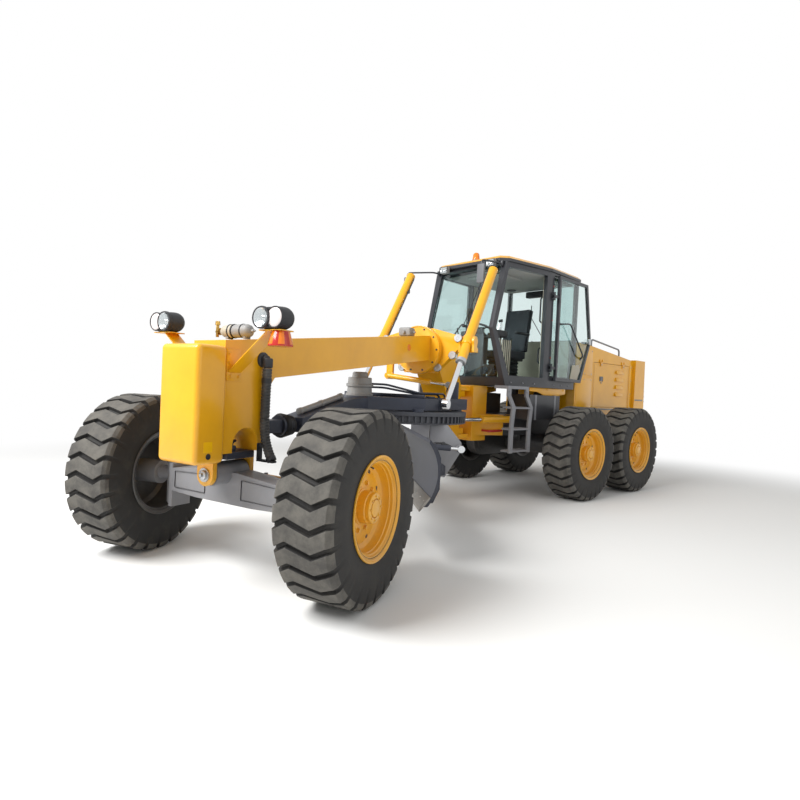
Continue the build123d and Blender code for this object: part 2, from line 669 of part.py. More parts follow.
def lift_saddle():
    """The saddle behind the disc, its arms, yokes and the sway cylinder's lug."""
    y_low = SADDLE_Y + SADDLE_DISC_T / 2 + SEAT_GAP
    y_high = y_low + SADDLE_ARM_T
    x, y, z = TRUNNION
    inner = x - YOKE_INNER
    arm = along_y([
        (-inner, z - 70), (-BEAM_HALF - 40, SADDLE_Z - 280), (BEAM_HALF + 40, SADDLE_Z - 280),
        (inner, z - 70), (inner, z + 60), (BEAM_HALF, SADDLE_Z + 270), (-BEAM_HALF, SADDLE_Z + 270),
        (-inner, z + 60),
    ], y_low, y_high)
    cheeks = []
    bores = []
    for side in (-1, 1):
        for offset in (-YOKE_INNER - YOKE_T, YOKE_INNER):
            low = side * x + offset
            cheeks.append(rod((low, y, z), (low + YOKE_T, y, z), YOKE_R))
            bores.append(rod((low - 1, y, z), (low + YOKE_T + 1, y, z), TRUNNION_R + RUN_GAP))
            cheeks.append(block((low, low + YOKE_T), (y_low, y_high), (z - 80, z + 40)))
            cheeks.append(block((low, low + YOKE_T), (y_low, y_high + YOKE_T), (z - 130, z - 75)))
        ends = sorted((side * (x - YOKE_INNER - YOKE_T), side * (x + YOKE_INNER + YOKE_T)))
        cheeks.append(block(ends, (y_high, y_high + YOKE_T), (z - 130, z - 75)))
    sway_x, sway_y, sway_z = SWAY_ANCHOR
    lug_y = sway_y + SWAY_BARREL_R + CARRIER_GAP
    cheeks.append(block((sway_x - 45, sway_x + 45), (lug_y, lug_y + 40), (sway_z - 45, z - 100)))
    cheeks.append(block((sway_x - 45, sway_x + 45), (lug_y, y_high), (SADDLE_Z - 40, z - 60)))
    cheeks.append(rod((sway_x, sway_y - SMALL_EYE_T / 2, sway_z), (sway_x, lug_y + 1, sway_z), SMALL_PIN_R))
    shape = fused([arm] + cheeks)
    shape -= beam_space(y_low - 1, y_high + 1, SEAT_GAP)
    for bore in bores:
        shape -= bore
    return shape


# Drawbar

def drawbar():
    """The drawbar from its ball to the plate over the circle."""
    half = DRAWBAR_HALF
    y0 = BALL_Y + BALL_NECK_L
    plate_low, plate_high = DRAWBAR_PLATE_Z
    ball = Pos(0, BALL_Y, BALL_Z) * Sphere(BALL_R)
    ball -= rod((-BALL_R, BALL_Y, BALL_Z), (BALL_R, BALL_Y, BALL_Z), BALL_BORE_R)
    neck = rod((0, BALL_Y + BALL_BORE_R + 4, BALL_Z), (0, y0 + 1, BALL_Z), BALL_NECK_R)
    beam = along_x([
        (y0, BALL_Z - 60), (1500, plate_low - 60), (1800, plate_low), (1800, plate_high),
        (1400, plate_high - 30), (y0, BALL_Z + 70),
    ], -half, half)
    deck = along_z([
        (-half, 1700), (half, 1700), (560, 2150), (560, 3300), (-560, 3300), (-560, 2150),
    ], plate_low, plate_high)
    deck -= block((-360, 360), (2250, 3050), (plate_low - 1, plate_high + 1))
    x, y, z = LIFT_EYE
    studs = []
    for side in (-1, 1):
        root = side * 540
        inner = side * (x - LIFT_EYE_T / 2 - EYE_CLEAR)
        span = (min(root, inner), max(root, inner))
        studs.append(block(span, (y - 70, y + 70), (plate_low, z + 60)))
    sway_x, sway_y, sway_z = SWAY_EYE
    face = sway_y + SMALL_EYE_T / 2 + SWAY_DRIFT
    studs.append(block((sway_x - 45, sway_x + 100), (face, face + 40), (plate_low, sway_z + 40)))
    shoes = []
    for angle in (45, 135, 225, 315):
        c = cos(radians(angle))
        s = sin(radians(angle))
        cx = (CIRCLE_R - 60) * c
        cy = CIRCLE_Y + (CIRCLE_R - 60) * s
        shoes.append(rod((cx, cy, CIRCLE_Z[1] + SEAT_GAP), (cx, cy, plate_low + 20), 60))
    return fused([ball, neck, beam, deck] + studs + shoes)


def circle_drive():
    """The gearbox and motor that turn the circle, and the tube that feeds it."""
    base = DRAWBAR_PLATE_Z[1] + SEAT_GAP
    box = rod((DRIVE_X, DRIVE_Y, base), (DRIVE_X, DRIVE_Y, base + DRIVE_H), DRIVE_R)
    cap = rod((DRIVE_X, DRIVE_Y, base + DRIVE_H), (DRIVE_X, DRIVE_Y, base + DRIVE_H + 60), DRIVE_R * 0.6)
    top = ((BALL_Y + BALL_NECK_L, BALL_Z + 70), (1400, DRAWBAR_PLATE_Z[1] - 30))
    tilt = sqrt(1 + ((top[1][1] - top[0][1]) / (top[1][0] - top[0][0])) ** 2)
    rise = (FEED_TUBE_R + SEAT_GAP) * tilt
    ends = [(0, y, line_z(top, y) + rise) for y in FEED_TUBE_Y]
    return [fused([box, cap]), rod(*ends, FEED_TUBE_R)]


# Circle and blade, built with the blade square to the machine

def circle():
    """The toothed circle, its two legs and the tip cylinder's lug."""
    ring = rod((0, CIRCLE_Y, CIRCLE_Z[0]), (0, CIRCLE_Y, CIRCLE_Z[1]), CIRCLE_R)
    ring -= rod((0, CIRCLE_Y, CIRCLE_Z[0] - 1), (0, CIRCLE_Y, CIRCLE_Z[1] + 1), CIRCLE_BORE_R)
    pieces = [ring]
    pin_y, pin_z = TIP_PIN
    outline = [(CIRCLE_Y + y, z) for y, z in LEG_OUTLINE]
    for side in (-1, 1):
        low = side * LEG_OFFSET - LEG_T / 2
        pieces.append(along_x(outline, low, low + LEG_T))
        outer = side * (LEG_OFFSET + LEG_T / 2)
        tip = outer + side * (LEG_T + CARRIER_GAP)
        pieces.append(rod((outer - side, CIRCLE_Y + pin_y, pin_z), (tip, CIRCLE_Y + pin_y, pin_z), TIP_PIN_R))
    eye_y, eye_z = TIP_EYE
    end = TIP_CYLINDER_X - SMALL_EYE_T / 2 - SEAT_GAP
    pieces.append(rod((LEG_OFFSET, CIRCLE_Y + eye_y, eye_z), (end, CIRCLE_Y + eye_y, eye_z), SMALL_EYE_R))
    return fused(pieces)


def blade_carrier():
    """The tilting frame behind the blade, with its jaws and shift barrel."""
    pin_y, pin_z = TIP_PIN
    y = CIRCLE_Y + pin_y
    inner = LEG_OFFSET + LEG_T / 2 + CARRIER_GAP
    outer = inner + LEG_T
    outline = [(CIRCLE_Y + py, pz) for py, pz in CARRIER_OUTLINE]
    pieces = []
    for side in (-1, 1):
        pieces.append(along_x(outline, *sorted((side * inner, side * outer))))
    tie_y, tie_z = CARRIER_TIE
    pieces.append(block((-outer, outer), (CIRCLE_Y + tie_y[0], CIRCLE_Y + tie_y[1]), tie_z))
    middle_z = BLADE_BOTTOM_Z + BLADE_HEIGHT / 2
    back_y = CIRCLE_Y + BLADE_BACK_Y
    shift_y = back_y + SHIFT_BEHIND
    low, high = SHIFT_BARREL_X
    pieces.append(rod((low, shift_y, middle_z), (high, shift_y, middle_z), SHIFT_BARREL_R))
    anchor_y, anchor_z = TIP_ANCHOR
    pieces.append(rod(
        (outer - 1, CIRCLE_Y + anchor_y, anchor_z),
        (TIP_CYLINDER_X + SMALL_EYE_T / 2, CIRCLE_Y + anchor_y, anchor_z), SMALL_PIN_R,
    ))
    shape = fused(pieces)
    shape -= rod((SHIFT_BORE_X, shift_y, middle_z), (high + 1, shift_y, middle_z), SHIFT_ROD_R + RUN_GAP)
    shape -= rod((-outer - 1, y, pin_z), (outer + 1, y, pin_z), TIP_PIN_R + RUN_GAP)
    reach = RAIL_H / 2 + SLIDE_GAP
    for rise in (-RAIL_RISE, RAIL_RISE):
        z = middle_z + rise
        shape -= block((-outer - 1, outer + 1), (back_y, back_y + RAIL_DEPTH + SLIDE_GAP), (z - reach, z + reach))
    return shape


def shift_rod():
    """The side shift cylinder's rod, from its barrel to the blade's bracket."""
    shift_y = CIRCLE_Y + BLADE_BACK_Y + SHIFT_BEHIND
    z = BLADE_BOTTOM_Z + BLADE_HEIGHT / 2
    return rod((SHIFT_TAIL_X, shift_y, z), (SHIFT_END_X - SEAT_GAP, shift_y, z), SHIFT_ROD_R)


def moldboard():
    """The curved moldboard with its slide rails, end bracket and cutting edge."""
    half = BLADE_LENGTH / 2
    rise = BLADE_HEIGHT / 2
    back_y = CIRCLE_Y + BLADE_BACK_Y
    centre_y = back_y - BLADE_CURVE_R
    centre_z = BLADE_BOTTOM_Z + rise
    tube = rod((-half, centre_y, centre_z), (half, centre_y, centre_z), BLADE_CURVE_R)
    tube -= rod(
        (-half - 1, centre_y, centre_z), (half + 1, centre_y, centre_z), BLADE_CURVE_R - BLADE_T
    )
    keep = block((-half, half), (centre_y, back_y + 1), (centre_z - rise, centre_z + rise))
    pieces = [tube & keep]
    for step in (-RAIL_RISE, RAIL_RISE):
        z = centre_z + step
        inner = centre_y + sqrt(BLADE_CURVE_R ** 2 - RAIL_RISE ** 2) - BLADE_T / 2
        pieces.append(block(
            (-RAIL_HALF, RAIL_HALF), (inner, back_y + RAIL_DEPTH), (z - RAIL_H / 2, z + RAIL_H / 2)
        ))
    pieces.append(block(
        (SHIFT_END_X, SHIFT_END_X + LEG_T),
        (back_y - BLADE_T / 2, back_y + SHIFT_BEHIND + SHIFT_BARREL_R),
        (centre_z - SHIFT_BARREL_R, centre_z + SHIFT_BARREL_R),
    ))
    inner = BLADE_CURVE_R - BLADE_T
    lean = asin(rise / inner)
    down = (-sin(lean), -cos(lean))
    ahead = (-cos(lean), sin(lean))
    foot = (centre_y + inner * cos(lean), centre_z - rise)
    corners = [(EDGE_BELOW - EDGE_H, 0), (EDGE_BELOW, 0), (EDGE_BELOW, EDGE_T), (EDGE_BELOW - EDGE_H, EDGE_T)]
    pieces.append(along_x([
        (foot[0] + down[0] * run + ahead[0] * out, foot[1] + down[1] * run + ahead[1] * out)
        for run, out in corners
    ], -half, half))
    return fused(pieces)


# Cylinders

def cylinder_parts(anchor, eye, pin_dir, barrel, rod_r, end, pin_r):
    """A barrel with its base eye, and a rod with its own, on one line.

    barrel is (radius, length, closed length) and end is (eye radius, eye width).
    """
    barrel_r, barrel_to, closed = barrel
    eye_r, eye_t = end
    start = Vector(*anchor)
    run = Vector(*eye) - start
    step = run.normalized()
    half = Vector(*pin_dir).normalized() * (eye_t / 2)
    tail = TAIL_ROOM + run.length - closed
    shell = rod(tuple(start), tuple(start + step * barrel_to), barrel_r)
    shell += rod(tuple(start - half), tuple(start + half), eye_r)
    reach = Vector(*pin_dir).normalized() * (max(eye_t / 2, barrel_r) + 1)
    shell -= rod(tuple(start - reach), tuple(start + reach), pin_r + RUN_GAP)
    bore = TAIL_ROOM - 10
    shell -= rod(tuple(start + step * bore), tuple(start + step * (barrel_to + 1)), rod_r + RUN_GAP)
    ram = rod(tuple(start + step * tail), tuple(start + run), rod_r)
    tip = rod(tuple(start + run - half), tuple(start + run + half), eye_r)
    return shell, fused([ram, tip])


def lift_cylinder(side):
    """One lift cylinder, held in its yoke by trunnions, and its rod."""
    x, y, z = TRUNNION
    centre = Vector(side * x, y, z)
    ex, ey, ez = LIFT_EYE
    eye = Vector(side * ex, ey, ez)
    step = (eye - centre).normalized()
    low = centre + step * LIFT_BARREL_BELOW
    high = centre - step * LIFT_BARREL_ABOVE
    barrel = rod(tuple(high), tuple(low), LIFT_BARREL_R)
    reach = YOKE_INNER + YOKE_T
    barrel += rod((side * x - reach, y, z), (side * x + reach, y, z), TRUNNION_R)
    barrel -= rod(tuple(high + step * 40), tuple(low + step), LIFT_ROD_R + RUN_GAP)
    ram = rod(tuple(centre - step * LIFT_TAIL), tuple(eye), LIFT_ROD_R)
    half = LIFT_EYE_T / 2
    end = rod((side * ex - half, ey, ez), (side * ex + half, ey, ez), LIFT_EYE_R)
    return barrel, fused([ram, end])


def small_cylinder(anchor, eye, pin_dir, barrel, rod_r):
    """A barrel and rod with the small eyes of the steering and blade."""
    return cylinder_parts(anchor, eye, pin_dir, barrel, rod_r, (SMALL_EYE_R, SMALL_EYE_T), SMALL_PIN_R)


def steer_cylinder():
    """The steering cylinder as parked, from the axle to the left knuckle."""
    anchor = (*STEER_ANCHOR, STEER_CYLINDER_Z)
    eye = (*horn_point(), STEER_CYLINDER_Z)
    barrel = (STEER_BARREL_R, STEER_BARREL_L, STEER_CLOSED)
    return small_cylinder(anchor, eye, (0, 0, 1), barrel, STEER_ROD_R)


def sway_cylinder():
    """The cylinder between the saddle and the drawbar."""
    barrel = (SWAY_BARREL_R, SWAY_BARREL_L, SWAY_CLOSED)
    return small_cylinder(SWAY_ANCHOR, SWAY_EYE, (0, 1, 0), barrel, SWAY_ROD_R)


def tip_cylinder():
    """The blade's tip cylinder behind the left jaw, with the blade square."""
    anchor = (TIP_CYLINDER_X, CIRCLE_Y + TIP_ANCHOR[0], TIP_ANCHOR[1])
    eye = (TIP_CYLINDER_X, CIRCLE_Y + TIP_EYE[0], TIP_EYE[1])
    barrel = (TIP_BARREL_R, TIP_BARREL_L, TIP_CLOSED)
    return small_cylinder(anchor, eye, (1, 0, 0), barrel, TIP_ROD_R)


def bend_cylinder(side):
    """One articulation cylinder, from the parked rear frame to the neck."""
    straight = (side * BEND_ANCHOR[0], BEND_ANCHOR[1])
    anchor = turned(straight, (0, PIVOT_Y), ARTICULATION_DEG)
    eye = (side * BEND_EYE[0], BEND_EYE[1])
    barrel = (BEND_BARREL_R, BEND_BARREL_L, BEND_CLOSED)
    return cylinder_parts(
        (*anchor, BEND_Z), (*eye, BEND_Z), (0, 0, 1), barrel, BEND_ROD_R,
        (BEND_EYE_R, BEND_EYE_T), SMALL_PIN_R,
    )


# Rear frame

def rear_frame():
    """The chassis with its hinge tower, rails, rear axle and tow hitch."""
    ear_low = PIVOT_LOW_Z - PIVOT_GAP - REAR_EAR_T
    ear_high = PIVOT_HIGH_Z + PIVOT_EAR_T + PIVOT_GAP
    y0, y1 = TOWER_Y
    tower = [
        (TOWER_HALF, y0), (TOWER_HALF, y0 + 70), (300, y1), (REAR_FRAME_HALF, RAIL_Y[0]),
        (REAR_FRAME_HALF, RAIL_Y[0] + 60),
    ]
    pieces = [along_z(tower + [(-x, y) for x, y in reversed(tower)], *RAIL_Z)]
    pieces.append(along_z([(x, y) for x, y in tower[:2]] + [(220, y1), (-220, y1)]
                          + [(-x, y) for x, y in reversed(tower[:2])], *TOWER_Z))
    anchor_x, anchor_y = BEND_ANCHOR
    lug_top = BEND_Z - BEND_BARREL_R - CARRIER_GAP
    for side in (-1, 1):
        span = sorted((side * (REAR_FRAME_HALF - 5), side * anchor_x))
        lug_y = (anchor_y - BEND_EYE_R, anchor_y + BEND_EYE_R)
        pieces.append(block(span, lug_y, (lug_top - BEND_LUG_T, lug_top)))
        pieces.append(rod(
            (side * anchor_x, anchor_y, lug_top - BEND_LUG_T), (side * anchor_x, anchor_y, lug_top),
            BEND_EYE_R,
        ))
        pieces.append(rod(
            (side * anchor_x, anchor_y, lug_top - 1),
            (side * anchor_x, anchor_y, BEND_Z + BEND_EYE_T / 2), SMALL_PIN_R,
        ))
    for z_low in (ear_low, ear_high):
        pieces.append(rod((0, PIVOT_Y, z_low), (0, PIVOT_Y, z_low + REAR_EAR_T), PIVOT_EAR_R))
        pieces.append(block(
            (-PIVOT_EAR_R, PIVOT_EAR_R), (PIVOT_Y, TOWER_Y[0] + 1), (z_low, z_low + REAR_EAR_T)
        ))
    pieces.append(rod((0, PIVOT_Y, ear_low), (0, PIVOT_Y, PIVOT_LOW_Z + PIVOT_EAR_T), PIVOT_PIN_R))
    pieces.append(rod(
        (0, PIVOT_Y, PIVOT_HIGH_Z), (0, PIVOT_Y, ear_high + REAR_EAR_T), PIVOT_PIN_R
    ))
    inner = REAR_FRAME_HALF - RAIL_T
    for side in (-1, 1):
        span = sorted((side * inner, side * REAR_FRAME_HALF))
        pieces.append(block(span, RAIL_Y, RAIL_Z))
        pieces.append(block(span, (WHEELBASE - 190, WHEELBASE + 190), (TYRE_R, RAIL_Z[0] + 1)))
        for y in CAB_POST_Y:
            pieces.append(block(span, (y - 60, y + 60), (RAIL_Z[1] - 1, CAB_FLOOR_Z[0] - SEAT_GAP)))
        for y in HOOD_POST_Y:
            reach = sorted((side * inner, side * HOOD_HALF))
            pieces.append(block(reach, (y - 40, y + 40), (RAIL_Z[1] - 60, HOOD_BOTTOM_Z - SEAT_GAP)))
    for y in CROSS_Y:
        pieces.append(block((-inner - 1, inner + 1), (y - 60, y + 60), (RAIL_Z[1] - 120, RAIL_Z[1])))
    tube_end = TANDEM_CASE_X[0] - 6
    pieces.append(rod((-tube_end, WHEELBASE, TYRE_R), (tube_end, WHEELBASE, TYRE_R), AXLE_TUBE_R))
    stub = TANDEM_CASE_X[1] - 30
    pieces.append(rod((-stub, WHEELBASE, TYRE_R), (stub, WHEELBASE, TYRE_R), STUB_R))
    pieces.append(block((-HITCH_HALF, HITCH_HALF), (RAIL_Y[1] - 1, HITCH_Y + 70), HITCH_Z))
    pieces.append(block((-REAR_FRAME_HALF, REAR_FRAME_HALF), (RAIL_Y[1] - 60, RAIL_Y[1]), RAIL_Z))
    shape = fused(pieces)
    return shape - rod((0, HITCH_Y, HITCH_Z[0] - 1), (0, HITCH_Y, HITCH_Z[1] + 1), HITCH_R)


def tandem_case(side):
    """A chain case with the spindles of its two wheels."""
    span = sorted((side * TANDEM_CASE_X[0], side * TANDEM_CASE_X[1]))
    half = TANDEM_SPACING / 2
    pieces = [block(span, (WHEELBASE - half, WHEELBASE + half),
                    (TYRE_R - TANDEM_CASE_R, TYRE_R + TANDEM_CASE_R))]
    face = side * (REAR_TRACK / 2 + RIM_DISC_X - SEAT_GAP)
    for y in (WHEELBASE - half, WHEELBASE + half):
        pieces.append(rod((span[0], y, TYRE_R), (span[1], y, TYRE_R), TANDEM_CASE_R))
        pieces.append(rod((side * (TANDEM_CASE_X[1] - 1), y, TYRE_R), (face, y, TYRE_R), SPINDLE_R))
    shape = fused(pieces)
    depth = TANDEM_CASE_X[1] - 30 + SEAT_GAP
    return shape - rod(
        (side * (TANDEM_CASE_X[0] - 1), WHEELBASE, TYRE_R), (side * depth, WHEELBASE, TYRE_R),
        STUB_R + RUN_GAP,
    )


# Cab

def cab_outline(inset):
    """The cab's side outline in (y, z), drawn in by an inset."""
    knee_y, knee_z = PILLAR_KNEE
    low = CAB_FLOOR_Z[0] + inset
    high = CAB_TOP_Z - inset
    rear = CAB_REAR_Y - inset
    return [
        (PILLAR_FOOT_Y + inset, low), (knee_y + inset, knee_z), (PILLAR_TOP_Y + inset, high),
        (rear, high), (rear, low),
    ]


def door_outline(inset):
    """The door's outline in (y, z), drawn in by an inset."""
    knee_y, knee_z = PILLAR_KNEE
    low = CAB_FLOOR_Z[1] + 10 + inset
    high = CAB_TOP_Z - BAND_H - inset
    rear = B_POST_Y[0] + 30 - inset
    return [
        (PILLAR_FOOT_Y + 25 + inset, low), (knee_y + 40 + inset, knee_z),
        (PILLAR_TOP_Y + 20 + inset, high), (rear, high), (rear, low),
    ]


def cab_half(y):
    """Half the cab's width at y: it is widest at its door post."""
    if y < CAB_WIDE_Y:
        return line_z(((PILLAR_KNEE[0], CAB_FRONT_HALF), (CAB_WIDE_Y, CAB_HALF)), y)
    return line_z(((CAB_WIDE_Y, CAB_HALF), (CAB_REAR_Y, CAB_REAR_HALF)), y)


def cab_taper(y0, y1):
    """The angle in degrees that the left side runs outwards between two stations."""
    return degrees(atan2(cab_half(y1) - cab_half(y0), y1 - y0))


def cab_plan(inset, z_low, z_high):
    """The cab's six-sided plan, drawn in by an inset, between two heights."""
    stations = (PILLAR_KNEE[0] - 400, CAB_WIDE_Y, CAB_REAR_Y + 400)
    right = [(cab_half(y) - inset, y) for y in stations]
    return along_z(right + [(-x, y) for x, y in reversed(right)], z_low, z_high)


def cab_body():
    """The cab's welded shell: floor, pillars, top band and rear wall."""
    wall = POST_T
    shell = along_x(cab_outline(0), -CAB_HALF, CAB_HALF) & cab_plan(0, 0, 9000)
    room = along_x(cab_outline(wall), -CAB_HALF, CAB_HALF) & cab_plan(wall, CAB_FLOOR_Z[1], 9000)
    shell -= room
    shell -= along_x(door_outline(35), -CAB_HALF - 1, CAB_HALF + 1)
    top = CAB_TOP_Z - BAND_H
    low = CAB_FLOOR_Z[1] + 20
    side_window = [
        (B_POST_Y[1] + 20, low + 60), (CAB_REAR_Y - wall, low + 60), (CAB_REAR_Y - wall, top),
        (B_POST_Y[1] + 20, top),
    ]
    shell -= along_x(side_window, -CAB_HALF - 1, CAB_HALF + 1)
    half = CAB_FRONT_HALF - wall
    shell -= block((-half, half), (PILLAR_KNEE[0] - 1, PILLAR_FOOT_Y + wall + 20), (low, top))
    half = CAB_REAR_HALF - wall
    shell -= block((-half, half), (CAB_REAR_Y - wall - 1, CAB_REAR_Y + 1), (REAR_SILL_Z, top))
    hinge_x, hinge_y = DOOR_HINGE
    knuckles = []
    for z in DOOR_KNUCKLE_Z:
        for low_z, high_z in ((z - 60, z - 21), (z + 21, z + 60)):
            knuckles.append(block((CAB_HALF - 20, hinge_x), (hinge_y - 12, hinge_y + 12), (low_z, high_z)))
            knuckles.append(rod((hinge_x, hinge_y, low_z), (hinge_x, hinge_y, high_z), 12))
        knuckles.append(rod((hinge_x, hinge_y, z - 40), (hinge_x, hinge_y, z + 40), 6))
    return fused([shell] + knuckles + [beside(item) for item in knuckles])


def cab_roof():
    """The roof cap over the cab's top band."""
    front, rear = ROOF_Y
    low = CAB_TOP_Z + SEAT_GAP
    over = ROOF_OVER
    right = [
        (cab_half(front) - 90 + over, front), (cab_half(front + ROOF_BROW) + over, front + ROOF_BROW),
        (CAB_HALF + over, CAB_WIDE_Y), (cab_half(rear) + over, rear),
    ]
    slab = along_z(right + [(-x, y) for x, y in reversed(right)], low, low + ROOF_T)
    return chamfer(slab.faces().sort_by(Axis.Z)[-1].edges(), 40)


def cab_glass():
    """The fixed panes: windscreen in two slopes, rear sides and rear."""
    half = CAB_FRONT_HALF - POST_T - SEAT_GAP
    rear_half = CAB_REAR_HALF - POST_T - SEAT_GAP
    knee_y, knee_z = PILLAR_KNEE
    top = CAB_TOP_Z - BAND_H - SEAT_GAP
    low = CAB_FLOOR_Z[1] + 20 + SEAT_GAP
    depth = 22
    upper_y = knee_y + (PILLAR_TOP_Y - knee_y) * (top - knee_z) / (CAB_TOP_Z - knee_z)
    lower_y = knee_y + (PILLAR_FOOT_Y - knee_y) * (knee_z - low) / (knee_z - CAB_FLOOR_Z[0])
    screen = along_x([
        (lower_y + depth, low), (knee_y + depth, knee_z), (upper_y + depth, top),
        (upper_y + depth + GLASS_T, top), (knee_y + depth + GLASS_T, knee_z),
        (lower_y + depth + GLASS_T, low),
    ], -half, half)
    rear = block(
        (-rear_half, rear_half), (CAB_REAR_Y - 30, CAB_REAR_Y - 30 + GLASS_T),
        (REAR_SILL_Z + SEAT_GAP, top),
    )
    gap = SEAT_GAP
    side = block(
        (CAB_HALF - 30, CAB_HALF - 30 + GLASS_T),
        (B_POST_Y[1] + 20 + 4, CAB_REAR_Y - POST_T - 4),
        (low + 60, top),
    )
    side = about((CAB_HALF, CAB_WIDE_Y), -cab_taper(CAB_WIDE_Y, CAB_REAR_Y), side)
    return [screen, rear] + both(side)


def door():
    """The left door, closed, with its hinge knuckles."""
    x_low = CAB_HALF + DOOR_GAP
    frame = along_x(door_outline(0), x_low, x_low + DOOR_T)
    frame -= along_x(door_outline(DOOR_FRAME_W), x_low - 1, x_low + DOOR_T + 1)
    hinge_x, hinge_y = DOOR_HINGE
    pieces = [frame]
    bores = []
    for z in DOOR_KNUCKLE_Z:
        pieces.append(rod((hinge_x, hinge_y, z - 20), (hinge_x, hinge_y, z + 20), 12))
        pieces.append(block((x_low + 14, x_low + DOOR_T), (B_POST_Y[0], hinge_y - 5), (z - 20, z + 20)))
        bores.append(rod((hinge_x, hinge_y, z - 21), (hinge_x, hinge_y, z + 21), 6 + RUN_GAP))
    shape = fused(pieces)
    for bore in bores:
        shape -= bore
    return hung(shape)


def hung(shape):
    """A left door's piece, turned from straight to lie closed along the cab's side."""
    return about(DOOR_HINGE, -cab_taper(PILLAR_KNEE[0], CAB_WIDE_Y), shape)


def opened(shape):
    """A closed left door's piece, swung to where it is parked."""
    return about(DOOR_HINGE, DOOR_OPEN_DEG + cab_taper(PILLAR_KNEE[0], CAB_WIDE_Y), shape)


def door_glass():
    """The left door's pane."""
    x_low = CAB_HALF + DOOR_GAP + (DOOR_T - GLASS_T) / 2
    return hung(along_x(door_outline(DOOR_FRAME_W + SEAT_GAP), x_low, x_low + GLASS_T))


def seat():
    """The operator's seat on its pedestal."""
    floor = CAB_FLOOR_Z[1] + SEAT_GAP
    x = (-SEAT_HALF, SEAT_HALF)
    y = SEAT_Y
    return fused([
        block((-180, 180), (y + 60, y + 420), (floor, floor + 330)),
        block(x, (y, y + 500), (floor + 320, floor + 460)),
        along_x([
            (y + 430, floor + 440), (y + 540, floor + 440), (y + 660, floor + 1120),
            (y + 560, floor + 1120),
        ], *x),
    ])


def console():
    """The steering column with its wheel and the two lever stands."""
    floor = CAB_FLOOR_Z[1] + SEAT_GAP
    base_y, top_y, top_z = COLUMN
    column = along_x([
        (base_y, floor), (base_y + 160, floor), (top_y + 60, top_z), (top_y - 60, top_z)
    ], -110, 110)
    wheel_plane = Plane(origin=(0, top_y + 20, top_z + 60), z_dir=(0, 0.45, 0.9))
    wheel = wheel_plane * Torus(190, 16)
    spokes = wheel_plane * Cylinder(14, 120, align=(Align.CENTER, Align.CENTER, Align.MAX))
    bar = wheel_plane * Box(380, 30, 16)
    pods = [block((220, 330), (top_y - 60, top_y + 220), (top_z - 40, top_z + 60))]
    pods.append(block((110 - 1, 331), (top_y - 40, top_y + 40), (top_z - 60, top_z - 20)))
    pods += [beside(item) for item in pods]
    return fused([column, wheel, spokes, bar] + pods)


# Hood

def hood():
    """The engine hood's shell with a doorway in each side."""
    front, rear = HOOD_Y
    z_front, z_rear = HOOD_TOP_Z
    shell = along_x([
        (front, HOOD_BOTTOM_Z), (rear, HOOD_BOTTOM_Z), (rear, z_rear), (front + 250, z_front),
        (front, z_front),
    ], -HOOD_HALF, HOOD_HALF)
    wall = HOOD_WALL
    shell -= along_x([
        (front + wall, HOOD_BOTTOM_Z - 1), (rear + 1, HOOD_BOTTOM_Z - 1), (rear + 1, z_rear - wall),
        (front + 250, z_front - wall), (front + wall, z_front - wall),
    ], -HOOD_HALF + wall, HOOD_HALF - wall)
    opening = block((-HOOD_HALF - 1, HOOD_HALF + 1), HOOD_DOOR_Y, HOOD_DOOR_Z)
    knuckles = hood_knuckles()
    return fused([shell - opening] + knuckles + [beside(item) for item in knuckles])


def hinge_rods(x, z, low, high, radius):
    """A bar along Y at a hood door's hinge."""
    return rod((x, low, z), (x, high, z), radius)


def hood_hinge():
    """Centre of the left hood door's hinge line in (x, z)."""
    return HOOD_HALF + HINGE_R + 2, HOOD_DOOR_Z[1] + 8


def hood_knuckles():
    """The hood's own halves of the left door's hinges, with their pins."""
    x, z = hood_hinge()
    pieces = []
    for y in HOOD_HINGE_Y:
        for low, high in ((y - 60, y - 31), (y + 31, y + 60)):
            pieces.append(hinge_rods(x, z, low, high, HINGE_R))
            pieces.append(block((HOOD_HALF - 1, x), (low, high), (z, z + 45)))
        pieces.append(hinge_rods(x, z, y - 45, y + 45, HINGE_PIN_R))
    return pieces


def hood_door():
    """The left side door of the hood, hinged along its top edge."""
    gap = HOOD_DOOR_GAP
    y_low, y_high = HOOD_DOOR_Y
    z_low, z_high = HOOD_DOOR_Z
    panel = block(
        (HOOD_HALF - HOOD_WALL, HOOD_HALF), (y_low + gap, y_high - gap), (z_low + gap, z_high - gap)
    )
    for z in LOUVRE_Z:
        panel -= block((HOOD_HALF - HOOD_WALL - 1, HOOD_HALF + 1), LOUVRE_Y, (z - 22, z + 22))
    x, z = hood_hinge()
    pieces = [panel]
    for y in HOOD_HINGE_Y:
        pieces.append(hinge_rods(x, z, y - 30, y + 30, HINGE_R))
        pieces.append(block((HOOD_HALF + 2, x), (y - 30, y + 30), (z_high - 60, z)))
        pieces.append(block((HOOD_HALF - 1, x), (y - 30, y + 30), (z_high - 60, z_high - gap)))
    shape = fused(pieces)
    for y in HOOD_HINGE_Y:
        shape -= hinge_rods(x, z, y - 31, y + 31, HINGE_PIN_R + RUN_GAP)
    return shape


